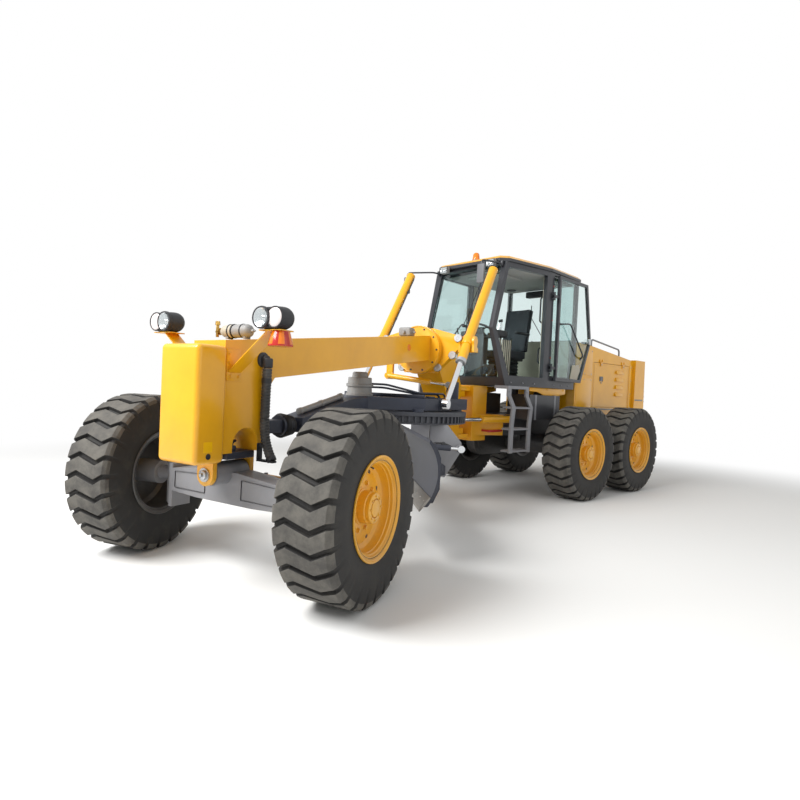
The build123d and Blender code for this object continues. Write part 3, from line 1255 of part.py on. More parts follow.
def tail_housing():
    """The radiator housing behind the hood, with a barred rear face."""
    y_low = HOOD_Y[1] + SEAT_GAP
    outline = [
        (y_low, TAIL_Z[0]), (TAIL_Y - 60, TAIL_Z[0]), (TAIL_Y, TAIL_Z[0] + 90),
        (TAIL_Y - 30, TAIL_Z[1]), (y_low, TAIL_Z[1]),
    ]
    shape = along_x(outline, -TAIL_HALF, TAIL_HALF)
    half = TAIL_HALF - 90
    room = block((-half, half), (TAIL_Y - 200, TAIL_Y + 1), (TAIL_Z[0] + 120, TAIL_Z[1] - 90))
    shape -= room
    bars = []
    pitch = (TAIL_Z[1] - TAIL_Z[0] - 210) / GRILLE_BARS
    for index in range(GRILLE_BARS):
        z = TAIL_Z[0] + 120 + pitch * (index + 0.5)
        bars.append(block((-half - 1, half + 1), (TAIL_Y - 140, TAIL_Y - 80), (z - 14, z + 14)))
    return fused([shape] + bars)


def engine_block():
    """The engine's mass as one plain block."""
    return block((-ENGINE_HALF, ENGINE_HALF), ENGINE_Y, (RAIL_Z[1] + SEAT_GAP, ENGINE_Z[1]))


def side_steps():
    """The hanging steps under both doors."""
    pieces = []
    floor = CAB_FLOOR_Z[0] - SEAT_GAP
    for y in STEP_Y:
        front = [
            (y, floor), (y, floor - 130), (y + 120, floor - 290), (y + 90, floor - 530),
            (y + 90, STEP_LOW_Z),
        ]
        rear = [(front_y + STRINGER_W, z) for front_y, z in reversed(front)]
        pieces.append(along_x(front + rear, STEP_X[0], STEP_X[1]))
    y_low = STEP_Y[0] + 100
    y_high = STEP_Y[1] + 90 + STRINGER_W / 2
    for z in STEP_TREAD_Z:
        pieces.append(block((STEP_X[0] - 120, STEP_X[1]), (y_low, y_high), (z, z + 25)))
    pieces.append(block((600, STEP_X[1]), (STEP_Y[0], STEP_Y[1] + STRINGER_W), (floor - 40, floor)))
    left = fused(pieces)
    return both(left)


def side_tanks():
    """The fuel tank and the battery box between the steps and the wheels."""
    x_low = REAR_FRAME_HALF + SEAT_GAP
    return both(block((x_low, TANK_X), TANK_Y, TANK_Z))


def tube(points, radius, bend):
    """A bent round tube through the given points."""
    path = FilletPolyline(*points, radius=bend)
    start = Plane(origin=path @ 0, z_dir=path % 0)
    return sweep(start * Circle(radius), path=path)


def hood_top(y):
    """Height of the hood's sloping top at y."""
    flat = HOOD_Y[0] + 250
    return line_z(((flat, HOOD_TOP_Z[0]), (HOOD_Y[1], HOOD_TOP_Z[1])), max(y, flat))


def hood_rails():
    """A grab rail along each shoulder of the hood."""
    x = HOOD_HALF - 60
    y0, y1 = HOOD_RAIL_Y
    lift = 2.0
    rail = tube([
        (x, y0, hood_top(y0) + lift), (x, y0, hood_top(y0) + 130), (x, y1, hood_top(y1) + 130),
        (x, y1, hood_top(y1) + lift),
    ], RAIL_TUBE_R, 50)
    return both(rail)


def mirrors():
    """The outside mirrors, each on a bent arm from the pillar's side."""
    pieces = []
    y0, y1 = MIRROR_ARM_Y
    root_z = MIRROR_ARM_Z
    half_x, half_y, height = MIRROR_FOOT
    for side, x, y, z in MIRRORS:
        arm_x = side * MIRROR_ARM_X
        foot = block(
            (arm_x - half_x, arm_x + half_x), (y0 - half_y, y0 + half_y), (CAB_TOP_Z - height, CAB_TOP_Z)
        )
        arm = tube([
            (arm_x, y0, root_z), (arm_x, y1, root_z), (side * x, y, root_z), (side * x, y, z + 100),
        ], 12, 40)
        head = block((side * x - 60, side * x + 60), (y - 22, y + 22), (z - 130, z + 130))
        pieces.append(fused([head, arm, foot]))
    return pieces


def roof_lamps():
    """The beacon on the roof and the two work lamps under its front edge."""
    low = CAB_TOP_Z + SEAT_GAP + ROOF_T + SEAT_GAP
    dome = Pos(*BEACON, low + BEACON_H / 2 + 10) * Cone(BEACON_R - 8, BEACON_R - 18, BEACON_H - 20)
    lamps = [fused([rod((*BEACON, low), (*BEACON, low + 24), BEACON_R), dome])]
    top = CAB_TOP_Z
    face = ROOF_Y[0] - SEAT_GAP
    for x in WORK_LAMP_X:
        shell = block((x - 70, x + 70), (face - 70, face), (top - 70, top + 30))
        shell -= block((x - 60, x + 60), (face - 71, face - 62), (top - 60, top + 20))
        lamps.append(shell)
    return lamps


# Posed assembly

def posed_rear(shape):
    """A straight-ahead rear piece, turned about the articulation pin."""
    centre = Pos(0, PIVOT_Y, 0)
    return centre * Rot(0, 0, ARTICULATION_DEG) * centre.inverse() * shape


def about(point, angle, shape):
    """A shape turned about the vertical line through a plan point."""
    centre = Pos(point[0], point[1], 0)
    return centre * Rot(0, 0, angle) * centre.inverse() * shape


def straight_rear():
    """The rear body's own pieces by node, before it is turned."""
    return {
        "rear_frame": rear_frame(),
        "cab_body": cab_body(),
        "cab_roof": cab_roof(),
        "cab_glass": cab_glass(),
        "operator_station": [seat(), console()],
        "door_left": opened(door()),
        "door_glass_left": opened(door_glass()),
        "door_right": beside(door()),
        "door_glass_right": beside(door_glass()),
        "hood": [hood(), tail_housing()],
        "hood_door_left": hood_door(),
        "hood_door_right": beside(hood_door()),
        "engine_block": engine_block(),
        "steps_and_tanks": side_steps() + side_tanks(),
        "rails_and_mirrors": hood_rails() + mirrors(),
        "roof_lamps": roof_lamps(),
    }


def straight_blade():
    """The circle and what hangs on it by node, with the blade square."""
    barrel, ram = tip_cylinder()
    return {
        "circle": circle(),
        "blade_carrier": blade_carrier(),
        "moldboard": Pos(BLADE_SHIFT, 0, 0) * moldboard(),
        "shift_rod": Pos(BLADE_SHIFT, 0, 0) * shift_rod(),
        "tip_barrel": barrel,
        "tip_rod": ram,
    }


def apply(pose, shape):
    """A posing function used on one shape or on each of a list."""
    return [pose(item) for item in shape] if isinstance(shape, list) else pose(shape)


def build():
    """Every node's solids, by name, in the parked pose."""
    nodes = {
        "main_frame": main_frame(),
        "front_weight": front_weight(),
        "front_fittings": front_lamps() + [beam_fittings()] + hose_fittings(),
        "front_hose": front_hose(),
        "lift_saddle": lift_saddle(),
        "front_axle": front_axle(),
        "tie_rod": tie_rod(),
        "drawbar": drawbar(),
        "circle_drive": circle_drive(),
    }
    wheel_tyre = tyre()
    wheel_rim = rim()
    for side, word, angle in ((1, "left", STEER_LEFT_DEG), (-1, "right", STEER_RIGHT_DEG)):
        pin = (side * KINGPIN_X, 0)
        place = wheel_place(side, FRONT_TRACK / 2, 0)
        nodes[f"knuckle_{word}"] = about(pin, angle, knuckle(side))
        nodes[f"front_rim_{word}"] = about(pin, angle, place * wheel_rim)
        nodes[f"front_tyre_{word}"] = about(pin, angle, place * wheel_tyre)
        nodes[f"lift_barrel_{word}"], nodes[f"lift_rod_{word}"] = lift_cylinder(side)
        nodes[f"bend_barrel_{word}"], nodes[f"bend_rod_{word}"] = bend_cylinder(side)
        nodes[f"tandem_{word}"] = posed_rear(tandem_case(side))
        for end, step in (("mid", -1), ("rear", 1)):
            place = wheel_place(side, REAR_TRACK / 2, WHEELBASE + step * TANDEM_SPACING / 2)
            nodes[f"{end}_rim_{word}"] = posed_rear(place * wheel_rim)
            nodes[f"{end}_tyre_{word}"] = posed_rear(place * wheel_tyre)
    nodes["steer_barrel"], nodes["steer_rod"] = steer_cylinder()
    nodes["sway_barrel"], nodes["sway_rod"] = sway_cylinder()
    for name, shape in straight_blade().items():
        nodes[name] = about((0, CIRCLE_Y), BLADE_ANGLE_DEG, shape)
    for name, shape in straight_rear().items():
        nodes[name] = apply(posed_rear, shape)
    return nodes


def solids_of(shape):
    """The solids of one shape or of a list of them."""
    items = shape if isinstance(shape, list) else [shape]
    return [solid for item in items for solid in item.solids()]


def origin(nodes):
    """The middle of the parked machine's foot, where the row's origin goes."""
    boxes = [solid.bounding_box() for shape in nodes.values() for solid in solids_of(shape)]
    x = (min(box.min.X for box in boxes) + max(box.max.X for box in boxes)) / 2
    y = (min(box.min.Y for box in boxes) + max(box.max.Y for box in boxes)) / 2
    return x, y, min(box.min.Z for box in boxes)


def main():
    """Write each node to parts as a STEP file, about the machine's own origin."""
    os.makedirs("parts", exist_ok=True)
    nodes = build()
    x, y, z = origin(nodes)
    print(f"origin {x:.3f} {y:.3f} {z:.3f}")
    for name, shape in nodes.items():
        solids = [Pos(-x, -y, -z) * solid for solid in solids_of(shape)]
        export_step(Compound(children=solids), f"parts/{name}.step")


if __name__ == "__main__":
    main()
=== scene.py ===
"""A six-wheel motor grader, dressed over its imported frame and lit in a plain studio.

Every length is in metres. A piece is drawn in its own part of the machine, standing
straight ahead, and a placing matrix carries it to the parked pose.
"""

from __future__ import annotations

import json
import logging
import math
from dataclasses import dataclass, field
from enum import Enum
from typing import Callable, Iterable, Sequence

import bmesh
import bpy
from mathutils import Matrix, Vector

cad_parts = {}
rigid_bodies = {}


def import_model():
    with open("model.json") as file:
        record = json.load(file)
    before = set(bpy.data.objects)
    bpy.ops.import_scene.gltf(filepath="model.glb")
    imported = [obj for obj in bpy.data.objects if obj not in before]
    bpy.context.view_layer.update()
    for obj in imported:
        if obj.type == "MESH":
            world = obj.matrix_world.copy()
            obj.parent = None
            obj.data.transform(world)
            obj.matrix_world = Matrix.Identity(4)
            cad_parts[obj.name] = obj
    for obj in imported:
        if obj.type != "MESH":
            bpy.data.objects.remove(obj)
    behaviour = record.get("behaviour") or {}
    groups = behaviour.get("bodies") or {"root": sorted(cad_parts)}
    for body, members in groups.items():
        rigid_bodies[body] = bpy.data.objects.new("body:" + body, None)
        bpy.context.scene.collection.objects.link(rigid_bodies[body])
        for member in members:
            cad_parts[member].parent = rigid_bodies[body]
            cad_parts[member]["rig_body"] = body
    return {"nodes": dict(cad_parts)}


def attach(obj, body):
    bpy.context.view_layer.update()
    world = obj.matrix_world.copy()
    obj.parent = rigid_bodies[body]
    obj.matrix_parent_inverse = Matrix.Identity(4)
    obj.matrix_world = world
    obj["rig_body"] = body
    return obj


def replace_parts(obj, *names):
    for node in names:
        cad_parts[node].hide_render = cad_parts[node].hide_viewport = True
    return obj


LOG = logging.getLogger("grader")

Axis3 = tuple[float, float, float]
Pair = tuple[float, float]
Piece = bpy.types.Object
Pieces = list[bpy.types.Object]

# Places that the whole machine shares, with the machine straight ahead
ORIGIN = Vector((0.458767, 4.000537, 0))
HINGE = Vector((0, 4.173, 0))
CIRCLE_CENTRE = Vector((0, 2.6, 0))
HINGE_TURN = -16.8
BLADE_TURN = -53.0
STEER_TURN = {1: 6.2, -1: 11.6}
KINGPIN_X = 0.76
TYRE_R = 0.674
FRONT_TRACK = 2.17
REAR_TRACK = 2.18
REAR_AXLE_Y = 6.513
TANDEM_HALF = 0.7745


def spun(angle: float, about: Vector) -> Matrix:
    """A turn in degrees about the upright line through a plan point."""
    there = Matrix.Translation(about)
    return there @ Matrix.Rotation(math.radians(angle), 4, "Z") @ there.inverted()


@dataclass(frozen=True)
class Stand:
    """Where a piece is placed from the straight machine, and the body that it rides on."""

    place: Matrix
    body: str


FRONT = Matrix.Translation(-ORIGIN)
REAR = FRONT @ spun(HINGE_TURN, HINGE)
BLADE = FRONT @ spun(BLADE_TURN, CIRCLE_CENTRE)
AHEAD = Stand(FRONT, "front_frame")
BEHIND = Stand(REAR, "rear_frame")


class Side(Enum):
    """The machine's two sides, as the sign of X."""

    LEFT = 1
    RIGHT = -1

    @property
    def word(self) -> str:
        """The side's name as the frame's nodes spell it."""
        return self.name.lower()


# Finishes


def linear(code: str) -> tuple[float, float, float, float]:
    """An sRGB hex colour as linear red, green, blue and one.

    Args:
        code: six hex digits.

    Returns:
        The colour for a shader's socket.
    """
    parts = [int(code[i:i + 2], 16) / 255 for i in (0, 2, 4)]
    flat = [p / 12.92 if p <= 0.04045 else ((p + 0.055) / 1.055) ** 2.4 for p in parts]
    return (flat[0], flat[1], flat[2], 1.0)


def add_node(tree: bpy.types.NodeTree, kind: str, inputs: dict | None = None, **settings) -> bpy.types.Node:
    """One shader node with its settings and its sockets filled or linked.

    Args:
        tree: the material's node tree.
        kind: the node's type name without its prefix.
        inputs: socket name or index to a value, another node's output, or a node for its first output.
        settings: the node's own attributes.

    Returns:
        The node.
    """
    made = tree.nodes.new(f"ShaderNode{kind}")
    for key, value in settings.items():
        setattr(made, key, value)
    for key, value in (inputs or {}).items():
        if isinstance(value, bpy.types.Node):
            tree.links.new(value.outputs[0], made.inputs[key])
        elif isinstance(value, bpy.types.NodeSocket):
            tree.links.new(value, made.inputs[key])
        else:
            made.inputs[key].default_value = value
    return made


def per_metre(size_mm: float) -> float:
    """The texture scale whose pattern repeats about once in a size in millimetres."""
    return 1000.0 / size_mm


@dataclass(frozen=True)
class Finish:
    """What a surface is made of, with the record's slot it belongs to."""

    name: str
    slot: str

    def material(self) -> bpy.types.Material:
        """The finish's material, made once.

        Returns:
            The material.
        """
        found = bpy.data.materials.get(self.name)
        if found is None:
            found = bpy.data.materials.new(self.name)
            found.use_nodes = True
            found.node_tree.nodes.clear()
            self.lay(found.node_tree)
        return found

    def lay(self, tree: bpy.types.NodeTree) -> None:
        """Fills the node tree; each kind of finish has its own."""
        raise NotImplementedError

    def close(self, tree: bpy.types.NodeTree, shader: bpy.types.Node) -> None:
        """Links a shader to the material's output."""
        add_node(tree, "OutputMaterial", {"Surface": shader})


@dataclass(frozen=True)
class Enamel(Finish):
    """Two-pack enamel sprayed on steel: even colour, faint orange peel, a clear gloss.

    Road dust lies on it low down and thins out upwards.
    """

    colour: str
    deep: str
    dust: str = "8C8474"
    rough: float = 0.34
    coat: float = 0.35
    peel_mm: float = 9.0
    cloud_mm: float = 420.0
    dust_top: float = 1.3
    dust_most: float = 0.22

    def lay(self, tree: bpy.types.NodeTree) -> None:
        """Colour with a slow drift, dust by height, and orange peel as bump.

        Args:
            tree: the material's node tree.
        """
        place = add_node(tree, "TexCoord").outputs["Object"]
        cloud = add_node(tree, "TexNoise", {
            "Vector": place, "Scale": per_metre(self.cloud_mm), "Detail": 4.0, "Roughness": 0.6,
        })
        drift = add_node(tree, "MapRange", {"Value": cloud, "From Min": 0.35, "From Max": 0.7})
        paint = add_node(tree, "Mix", {
            "Factor": drift, "A": linear(self.colour), "B": linear(self.deep),
        }, data_type="RGBA")
        split = add_node(tree, "SeparateXYZ", {"Vector": place})
        low = add_node(tree, "MapRange", {
            "Value": split.outputs["Z"], "From Min": self.dust_top, "From Max": 0.2,
            "To Max": self.dust_most,
        })
        speck = add_node(tree, "TexNoise", {
            "Vector": place, "Scale": per_metre(60.0), "Detail": 6.0, "Roughness": 0.7,
        })
        lie = add_node(tree, "Math", {0: low, 1: speck}, operation="MULTIPLY")
        twice = add_node(tree, "Math", {0: lie, 1: 2.0}, operation="MULTIPLY")
        colour = add_node(tree, "Mix", {
            "Factor": twice, "A": paint.outputs["Result"], "B": linear(self.dust),
        }, data_type="RGBA")
        rough = add_node(tree, "MapRange", {"Value": twice, "To Min": self.rough, "To Max": 0.85})
        peel = add_node(tree, "TexNoise", {
            "Vector": place, "Scale": per_metre(self.peel_mm), "Detail": 1.0,
        })
        edge = add_node(tree, "Bevel", {"Radius": 0.004}, samples=4)
        bump = add_node(
            tree, "Bump", {"Height": peel, "Normal": edge, "Strength": 0.05, "Distance": 0.002},
        )
        shader = add_node(tree, "BsdfPrincipled", {
            "Base Color": colour.outputs["Result"], "Roughness": rough,
            "Normal": bump, "Coat Weight": self.coat, "Coat Roughness": 0.12,
        })
        self.close(tree, shader)


@dataclass(frozen=True)
class Rubber(Finish):
    """Moulded rubber: matt, finely pitted, with dry dust in patches."""

    colour: str
    dust: str
    dust_share: float = 0.5
    rough: float = 0.88
    pit_mm: float = 6.0
    patch_mm: float = 140.0

    def lay(self, tree: bpy.types.NodeTree) -> None:
        """Two browns by patches, a fine mottle, and pits as bump.

        Args:
            tree: the material's node tree.
        """
        place = add_node(tree, "TexCoord").outputs["Object"]
        patch = add_node(tree, "TexNoise", {
            "Vector": place, "Scale": per_metre(self.patch_mm), "Detail": 8.0, "Roughness": 0.68,
        })
        share = add_node(tree, "MapRange", {
            "Value": patch, "From Min": 0.62 - 0.4 * self.dust_share,
            "From Max": 0.86 - 0.4 * self.dust_share,
        })
        colour = add_node(tree, "Mix", {
            "Factor": share, "A": linear(self.colour), "B": linear(self.dust),
        }, data_type="RGBA")
        pits = add_node(tree, "TexNoise", {
            "Vector": place, "Scale": per_metre(self.pit_mm), "Detail": 3.0, "Roughness": 0.6,
        })
        bump = add_node(tree, "Bump", {"Height": pits, "Strength": 0.35, "Distance": 0.002})
        rough = add_node(tree, "MapRange", {
            "Value": share, "To Min": self.rough - 0.12, "To Max": self.rough,
        })
        shader = add_node(tree, "BsdfPrincipled", {
            "Base Color": colour.outputs["Result"], "Roughness": rough,
            "Normal": bump, "Specular IOR Level": 0.35,
        })
        self.close(tree, shader)


@dataclass(frozen=True)
class Metal(Finish):
    """Bare or plated metal: its own colour, smears in its gloss."""

    colour: str
    rough: float = 0.12
    smear: float = 0.12
    grain_mm: float = 25.0
    bump: float = 0.02

    def lay(self, tree: bpy.types.NodeTree) -> None:
        """A metal whose roughness drifts with handling marks.

        Args:
            tree: the material's node tree.
        """
        place = add_node(tree, "TexCoord").outputs["Object"]
        marks = add_node(tree, "TexNoise", {
            "Vector": place, "Scale": per_metre(self.grain_mm), "Detail": 5.0, "Roughness": 0.65,
        })
        rough = add_node(tree, "MapRange", {
            "Value": marks, "From Min": 0.3, "From Max": 0.75,
            "To Min": self.rough, "To Max": self.rough + self.smear,
        })
        bump = add_node(tree, "Bump", {"Height": marks, "Strength": self.bump, "Distance": 0.001})
        shader = add_node(tree, "BsdfPrincipled", {
            "Base Color": linear(self.colour), "Metallic": 1.0, "Roughness": rough,
            "Normal": bump,
        })
        self.close(tree, shader)


@dataclass(frozen=True)
class Plastic(Finish):
    """Moulded plastic: one colour with a fine leathery grain."""

    colour: str
    deep: str
    rough: float = 0.55
    grain_mm: float = 4.0
    bump: float = 0.15

    def lay(self, tree: bpy.types.NodeTree) -> None:
        """Cells of grain drive a little colour and the bump.

        Args:
            tree: the material's node tree.
        """
        place = add_node(tree, "TexCoord").outputs["Object"]
        grain = add_node(tree, "TexVoronoi", {"Vector": place, "Scale": per_metre(self.grain_mm)})
        haze = add_node(tree, "TexNoise", {"Vector": place, "Scale": per_metre(180.0), "Detail": 5.0})
        colour = add_node(tree, "Mix", {
            "Factor": haze, "A": linear(self.colour), "B": linear(self.deep),
        }, data_type="RGBA")
        bump = add_node(tree, "Bump", {"Height": grain, "Strength": self.bump, "Distance": 0.001})
        rough = add_node(tree, "MapRange", {
            "Value": haze, "To Min": self.rough - 0.1, "To Max": self.rough + 0.1,
        })
        shader = add_node(tree, "BsdfPrincipled", {
            "Base Color": colour.outputs["Result"], "Roughness": rough,
            "Normal": bump,
        })
        self.close(tree, shader)


@dataclass(frozen=True)
class Pane(Finish):
    """Toughened glass with a faint tint and a breath of dust; light passes to the cab."""

    tint: str = "DCE8E6"
    rough: float = 0.01

    def lay(self, tree: bpy.types.NodeTree) -> None:
        """Clear for shadows, glass for the eye, with dust in its gloss.

        Args:
            tree: the material's node tree.
        """
        place = add_node(tree, "TexCoord").outputs["Object"]
        film = add_node(tree, "TexNoise", {"Vector": place, "Scale": per_metre(320.0), "Detail": 6.0})
        rough = add_node(tree, "MapRange", {
            "Value": film, "From Min": 0.4, "To Min": self.rough,
            "To Max": self.rough + 0.05,
        })
        glass = add_node(tree, "BsdfPrincipled", {
            "Base Color": linear(self.tint), "Roughness": rough,
            "Transmission Weight": 1.0, "IOR": 1.45,
        })
        clear = add_node(tree, "BsdfTransparent", {"Color": linear(self.tint)})
        ray = add_node(tree, "LightPath")
        shader = add_node(tree, "MixShader", {0: ray.outputs["Is Shadow Ray"], 1: glass, 2: clear})
        self.close(tree, shader)


YELLOW = Enamel("yellow_enamel", "yellow_paint", "F2B008", "E6A406")
SIGN_YELLOW = Enamel("sign_yellow_enamel", "yellow_paint", "FFC400", "F5BA00", dust_most=0.05)
SLATE = Enamel("slate_enamel", "slate_paint", "262C3C", "1F2431", rough=0.55, coat=0.05, dust_most=0.1)
CIRCLE_PAINT = Enamel("circle_enamel", "slate_paint", "3A3D45", "2C2F37", rough=0.5, coat=0.1)
GREY = Enamel("grey_enamel", "grey_paint", "85868B", "77787E", rough=0.48, coat=0.1)
PALE_GREY = Enamel("pale_grey_enamel", "grey_paint", "8F8E8C", "858482", rough=0.52, coat=0.05, dust_most=0.1)
BLACK_PAINT = Enamel("black_enamel", "black_trim", "303238", "26282D", rough=0.4, coat=0.15)
RED_PAINT = Enamel("red_enamel", "black_trim", "C0281E", "AE2018", dust_most=0.1)
TREAD = Rubber("tread_rubber", "tyre_rubber", "4A4845", "67645E", dust_share=0.6)
# Dark rubber for the sidewalls, also laid on the groove floors as painted shade.
SIDEWALL_AND_GROOVE_SHADE = Rubber("sidewall_rubber", "tyre_rubber", "282726", "3C3A36", dust_share=0.3, rough=0.8)
BLACK_RUBBER = Rubber("black_rubber", "black_trim", "1C1C1D", "34322F", dust_share=0.2, rough=0.62)
GREY_RUBBER = Rubber("grey_rubber", "black_trim", "3A3A3A", "5C5A56", dust_share=0.3, rough=0.6)
TRIM = Plastic("black_moulding", "black_trim", "1E1F22", "2B2C2F")
CREAM = Plastic("cream_moulding", "black_trim", "B9B2A0", "A69E8C")
LINER = Plastic("headliner_felt", "black_trim", "A9A9A6", "9B9B98", rough=0.85, grain_mm=2.0, bump=0.3)
SEAT_CLOTH = Plastic("seat_cloth", "black_trim", "25272B", "2F3136", rough=0.85, grain_mm=3.0, bump=0.5)
MIRROR_SHELL = Plastic("mirror_moulding", "black_trim", "6E7074", "65676B", rough=0.5)
PALE_LENS = Plastic("pale_lens", "window_glass", "E4DAD8", "DACFCC", rough=0.15, bump=0.02)
AMBER_LENS = Plastic("amber_lens", "window_glass", "F0801A", "E07212", rough=0.15, bump=0.05)
ORANGE_LENS = Plastic("orange_lens", "window_glass", "F08A1E", "E87A10", rough=0.15, bump=0.05)
RED_LENS = Plastic("red_lens", "window_glass", "C0281E", "AE2018", rough=0.15, bump=0.05)
CHROME = Metal("hard_chrome", "chrome_rod", "D4D6D8")
ZINC = Metal("zinc_plate", "chrome_rod", "B4B6B8", rough=0.3, smear=0.15)
BRASS = Metal("brass", "chrome_rod", "B08D4A", rough=0.25, smear=0.15)
WORN_STEEL = Metal("worn_steel", "chrome_rod", "8E8A84", rough=0.38, smear=0.2, bump=0.1)
SILVERED = Metal("silvered_bowl", "chrome_rod", "E8E8EA", rough=0.08, smear=0.04)
MIRROR = Metal("mirror_glass", "chrome_rod", "DDE2E4", rough=0.02, smear=0.01, bump=0.0)
IRON = Metal("cast_iron", "engine_metal", "6A6C70", rough=0.5, smear=0.2, bump=0.2)
GLASS = Pane("cab_glass", "window_glass", tint="DCEBEA")
LAMP_GLASS = Pane("lamp_glass", "window_glass", tint="F0F4F4")


# Making pieces




def along(start: Vector, end: Vector) -> Matrix:
    """The matrix that stands a shape's Z from a start towards an end, about their middle."""
    run = end - start
    return Matrix.Translation((start + end) / 2) @ run.to_track_quat("Z", "Y").to_matrix().to_4x4()


def facing(centre: Axis3, way: Axis3) -> Matrix:
    """The matrix that carries a shape about X to a point, looking along a direction."""
    run = Vector(way).normalized()
    up = "Y" if abs(run.z) > 0.9 else "Z"
    return Matrix.Translation(centre) @ run.to_track_quat("X", up).to_matrix().to_4x4()


@dataclass
class Stock:
    """A mesh under work, to which shapes are added."""

    bm: bmesh.types.BMesh = field(default_factory=bmesh.new)

    def _soften(self, verts: Iterable, width: float, segments: int) -> None:
        """Rounds the sharp edges of the shape just made.

        Args:
            verts: the shape's corners.
            width: how wide the rounding is.
            segments: steps across the rounding.
        """
        if width <= 0:
            return
        edges = dict.fromkeys(e for v in verts for e in v.link_edges)
        sharp = [e for e in edges if len(e.link_faces) == 2 and e.calc_face_angle(0) > 0.5]
        bmesh.ops.bevel(
            self.bm, geom=sharp, offset=width, offset_type="OFFSET", segments=segments,
            profile=0.5, affect="EDGES", clamp_overlap=True, material=-1,
        )

    def box(self, low: Axis3, high: Axis3, round_by: float = 0.0, segments: int = 2) -> Stock:
        """Adds a box between two corners.

        Args:
            low: the lowest corner.
            high: the highest corner.
            round_by: width of its rounded edges.
            segments: steps across each edge.

        Returns:
            The stock itself.
        """
        a, b = Vector(low), Vector(high)
        size = Matrix.Diagonal((*(b - a), 1.0))
        made = bmesh.ops.create_cube(self.bm, size=1.0, matrix=Matrix.Translation((a + b) / 2) @ size)
        self._soften(made["verts"], round_by, segments)
        return self

    def rod(self, start: Axis3, end: Axis3, radius: float, tip: float | None = None,
            sides: int = 28, round_by: float = 0.0) -> Stock:
        """Adds a round bar or cone between two points.

        Args:
            start: centre of its first end.
            end: centre of its last end.
            radius: radius at the start.
            tip: radius at the end, the same when left out.
            sides: faces round it.
            round_by: width of its rounded ends.

        Returns:
            The stock itself.
        """
        a, b = Vector(start), Vector(end)
        made = bmesh.ops.create_cone(
            self.bm, cap_ends=True, cap_tris=False, segments=sides, radius1=radius,
            radius2=radius if tip is None else tip, depth=(b - a).length, matrix=along(a, b),
        )
        self._soften(made["verts"], round_by, 2)
        return self

    def lathe(self, profile: Sequence[Pair], place: Matrix, sides: int = 48) -> Stock:
        """Adds a turned shape about X from a closed (x, radius) outline.

        Args:
            profile: the outline's corners, in order.
            place: where the turned shape goes.
            sides: steps round the full turn.

        Returns:
            The stock itself.
        """
        work = bmesh.new()
        ring = [work.verts.new((x, 0, r)) for x, r in profile]
        edges = [work.edges.new((a, b)) for a, b in zip(ring, ring[1:] + ring[:1])]
        bmesh.ops.spin(
            work, geom=ring + edges, cent=(0, 0, 0), axis=(1, 0, 0), angle=math.tau,
            steps=sides, use_merge=True, use_duplicate=False,
        )
        bmesh.ops.remove_doubles(work, verts=work.verts, dist=1e-6)
        bmesh.ops.recalc_face_normals(work, faces=work.faces)
        bmesh.ops.transform(work, matrix=place, verts=work.verts)
        return self.take(work)

    def plate(self, outline: Sequence[Axis3], push: Axis3, round_by: float = 0.0) -> Stock:
        """Adds a plate: a flat outline pushed along a vector.

        Args:
            outline: the corners of one face, in order.
            push: the vector through the plate's thickness.
            round_by: width of its rounded edges.

        Returns:
            The stock itself.
        """
        work = bmesh.new()
        face = work.faces.new([work.verts.new(p) for p in outline])
        moved = bmesh.ops.extrude_face_region(work, geom=[face], use_keep_orig=True)
        verts = [v for v in moved["geom"] if isinstance(v, bmesh.types.BMVert)]
        bmesh.ops.translate(work, vec=Vector(push), verts=verts)
        bmesh.ops.recalc_face_normals(work, faces=work.faces)
        held = Stock(work)
        held._soften(list(work.verts), round_by, 2)
        return self.take(work)

    def bolts(self, centre: Axis3, axis: Axis3, radius: float, count: int, size: float,
              start: float = 0.0) -> Stock:
        """Adds a ring of hexagon heads on washers.

        Args:
            centre: the ring's centre, on the surface the heads stand on.
            axis: the way the heads point.
            radius: the ring's radius, or zero for a single bolt.
            count: how many heads.
            size: half the width of a head.
            start: turn of the first head in degrees.

        Returns:
            The stock itself.
        """
        way = Vector(axis).normalized()
        base = Matrix.Translation(Vector(centre)) @ way.to_track_quat("Z", "Y").to_matrix().to_4x4()
        for index in range(count):
            turn = Matrix.Rotation(math.radians(start) + math.tau * index / count, 4, "Z")
            spot = base @ turn @ Matrix.Translation((radius, 0, 0))
            for sides, wide, low, high in ((12, 1.25, 0, 0.2), (6, 1.0, 0.2, 0.95)):
                bmesh.ops.create_cone(
                    self.bm, cap_ends=True, cap_tris=False, segments=sides, radius1=size * wide,
                    radius2=size * wide * (0.94 if sides == 6 else 1.0), depth=size * (high - low),
                    matrix=spot @ Matrix.Translation((0, 0, size * (low + high) / 2)),
                )
        return self

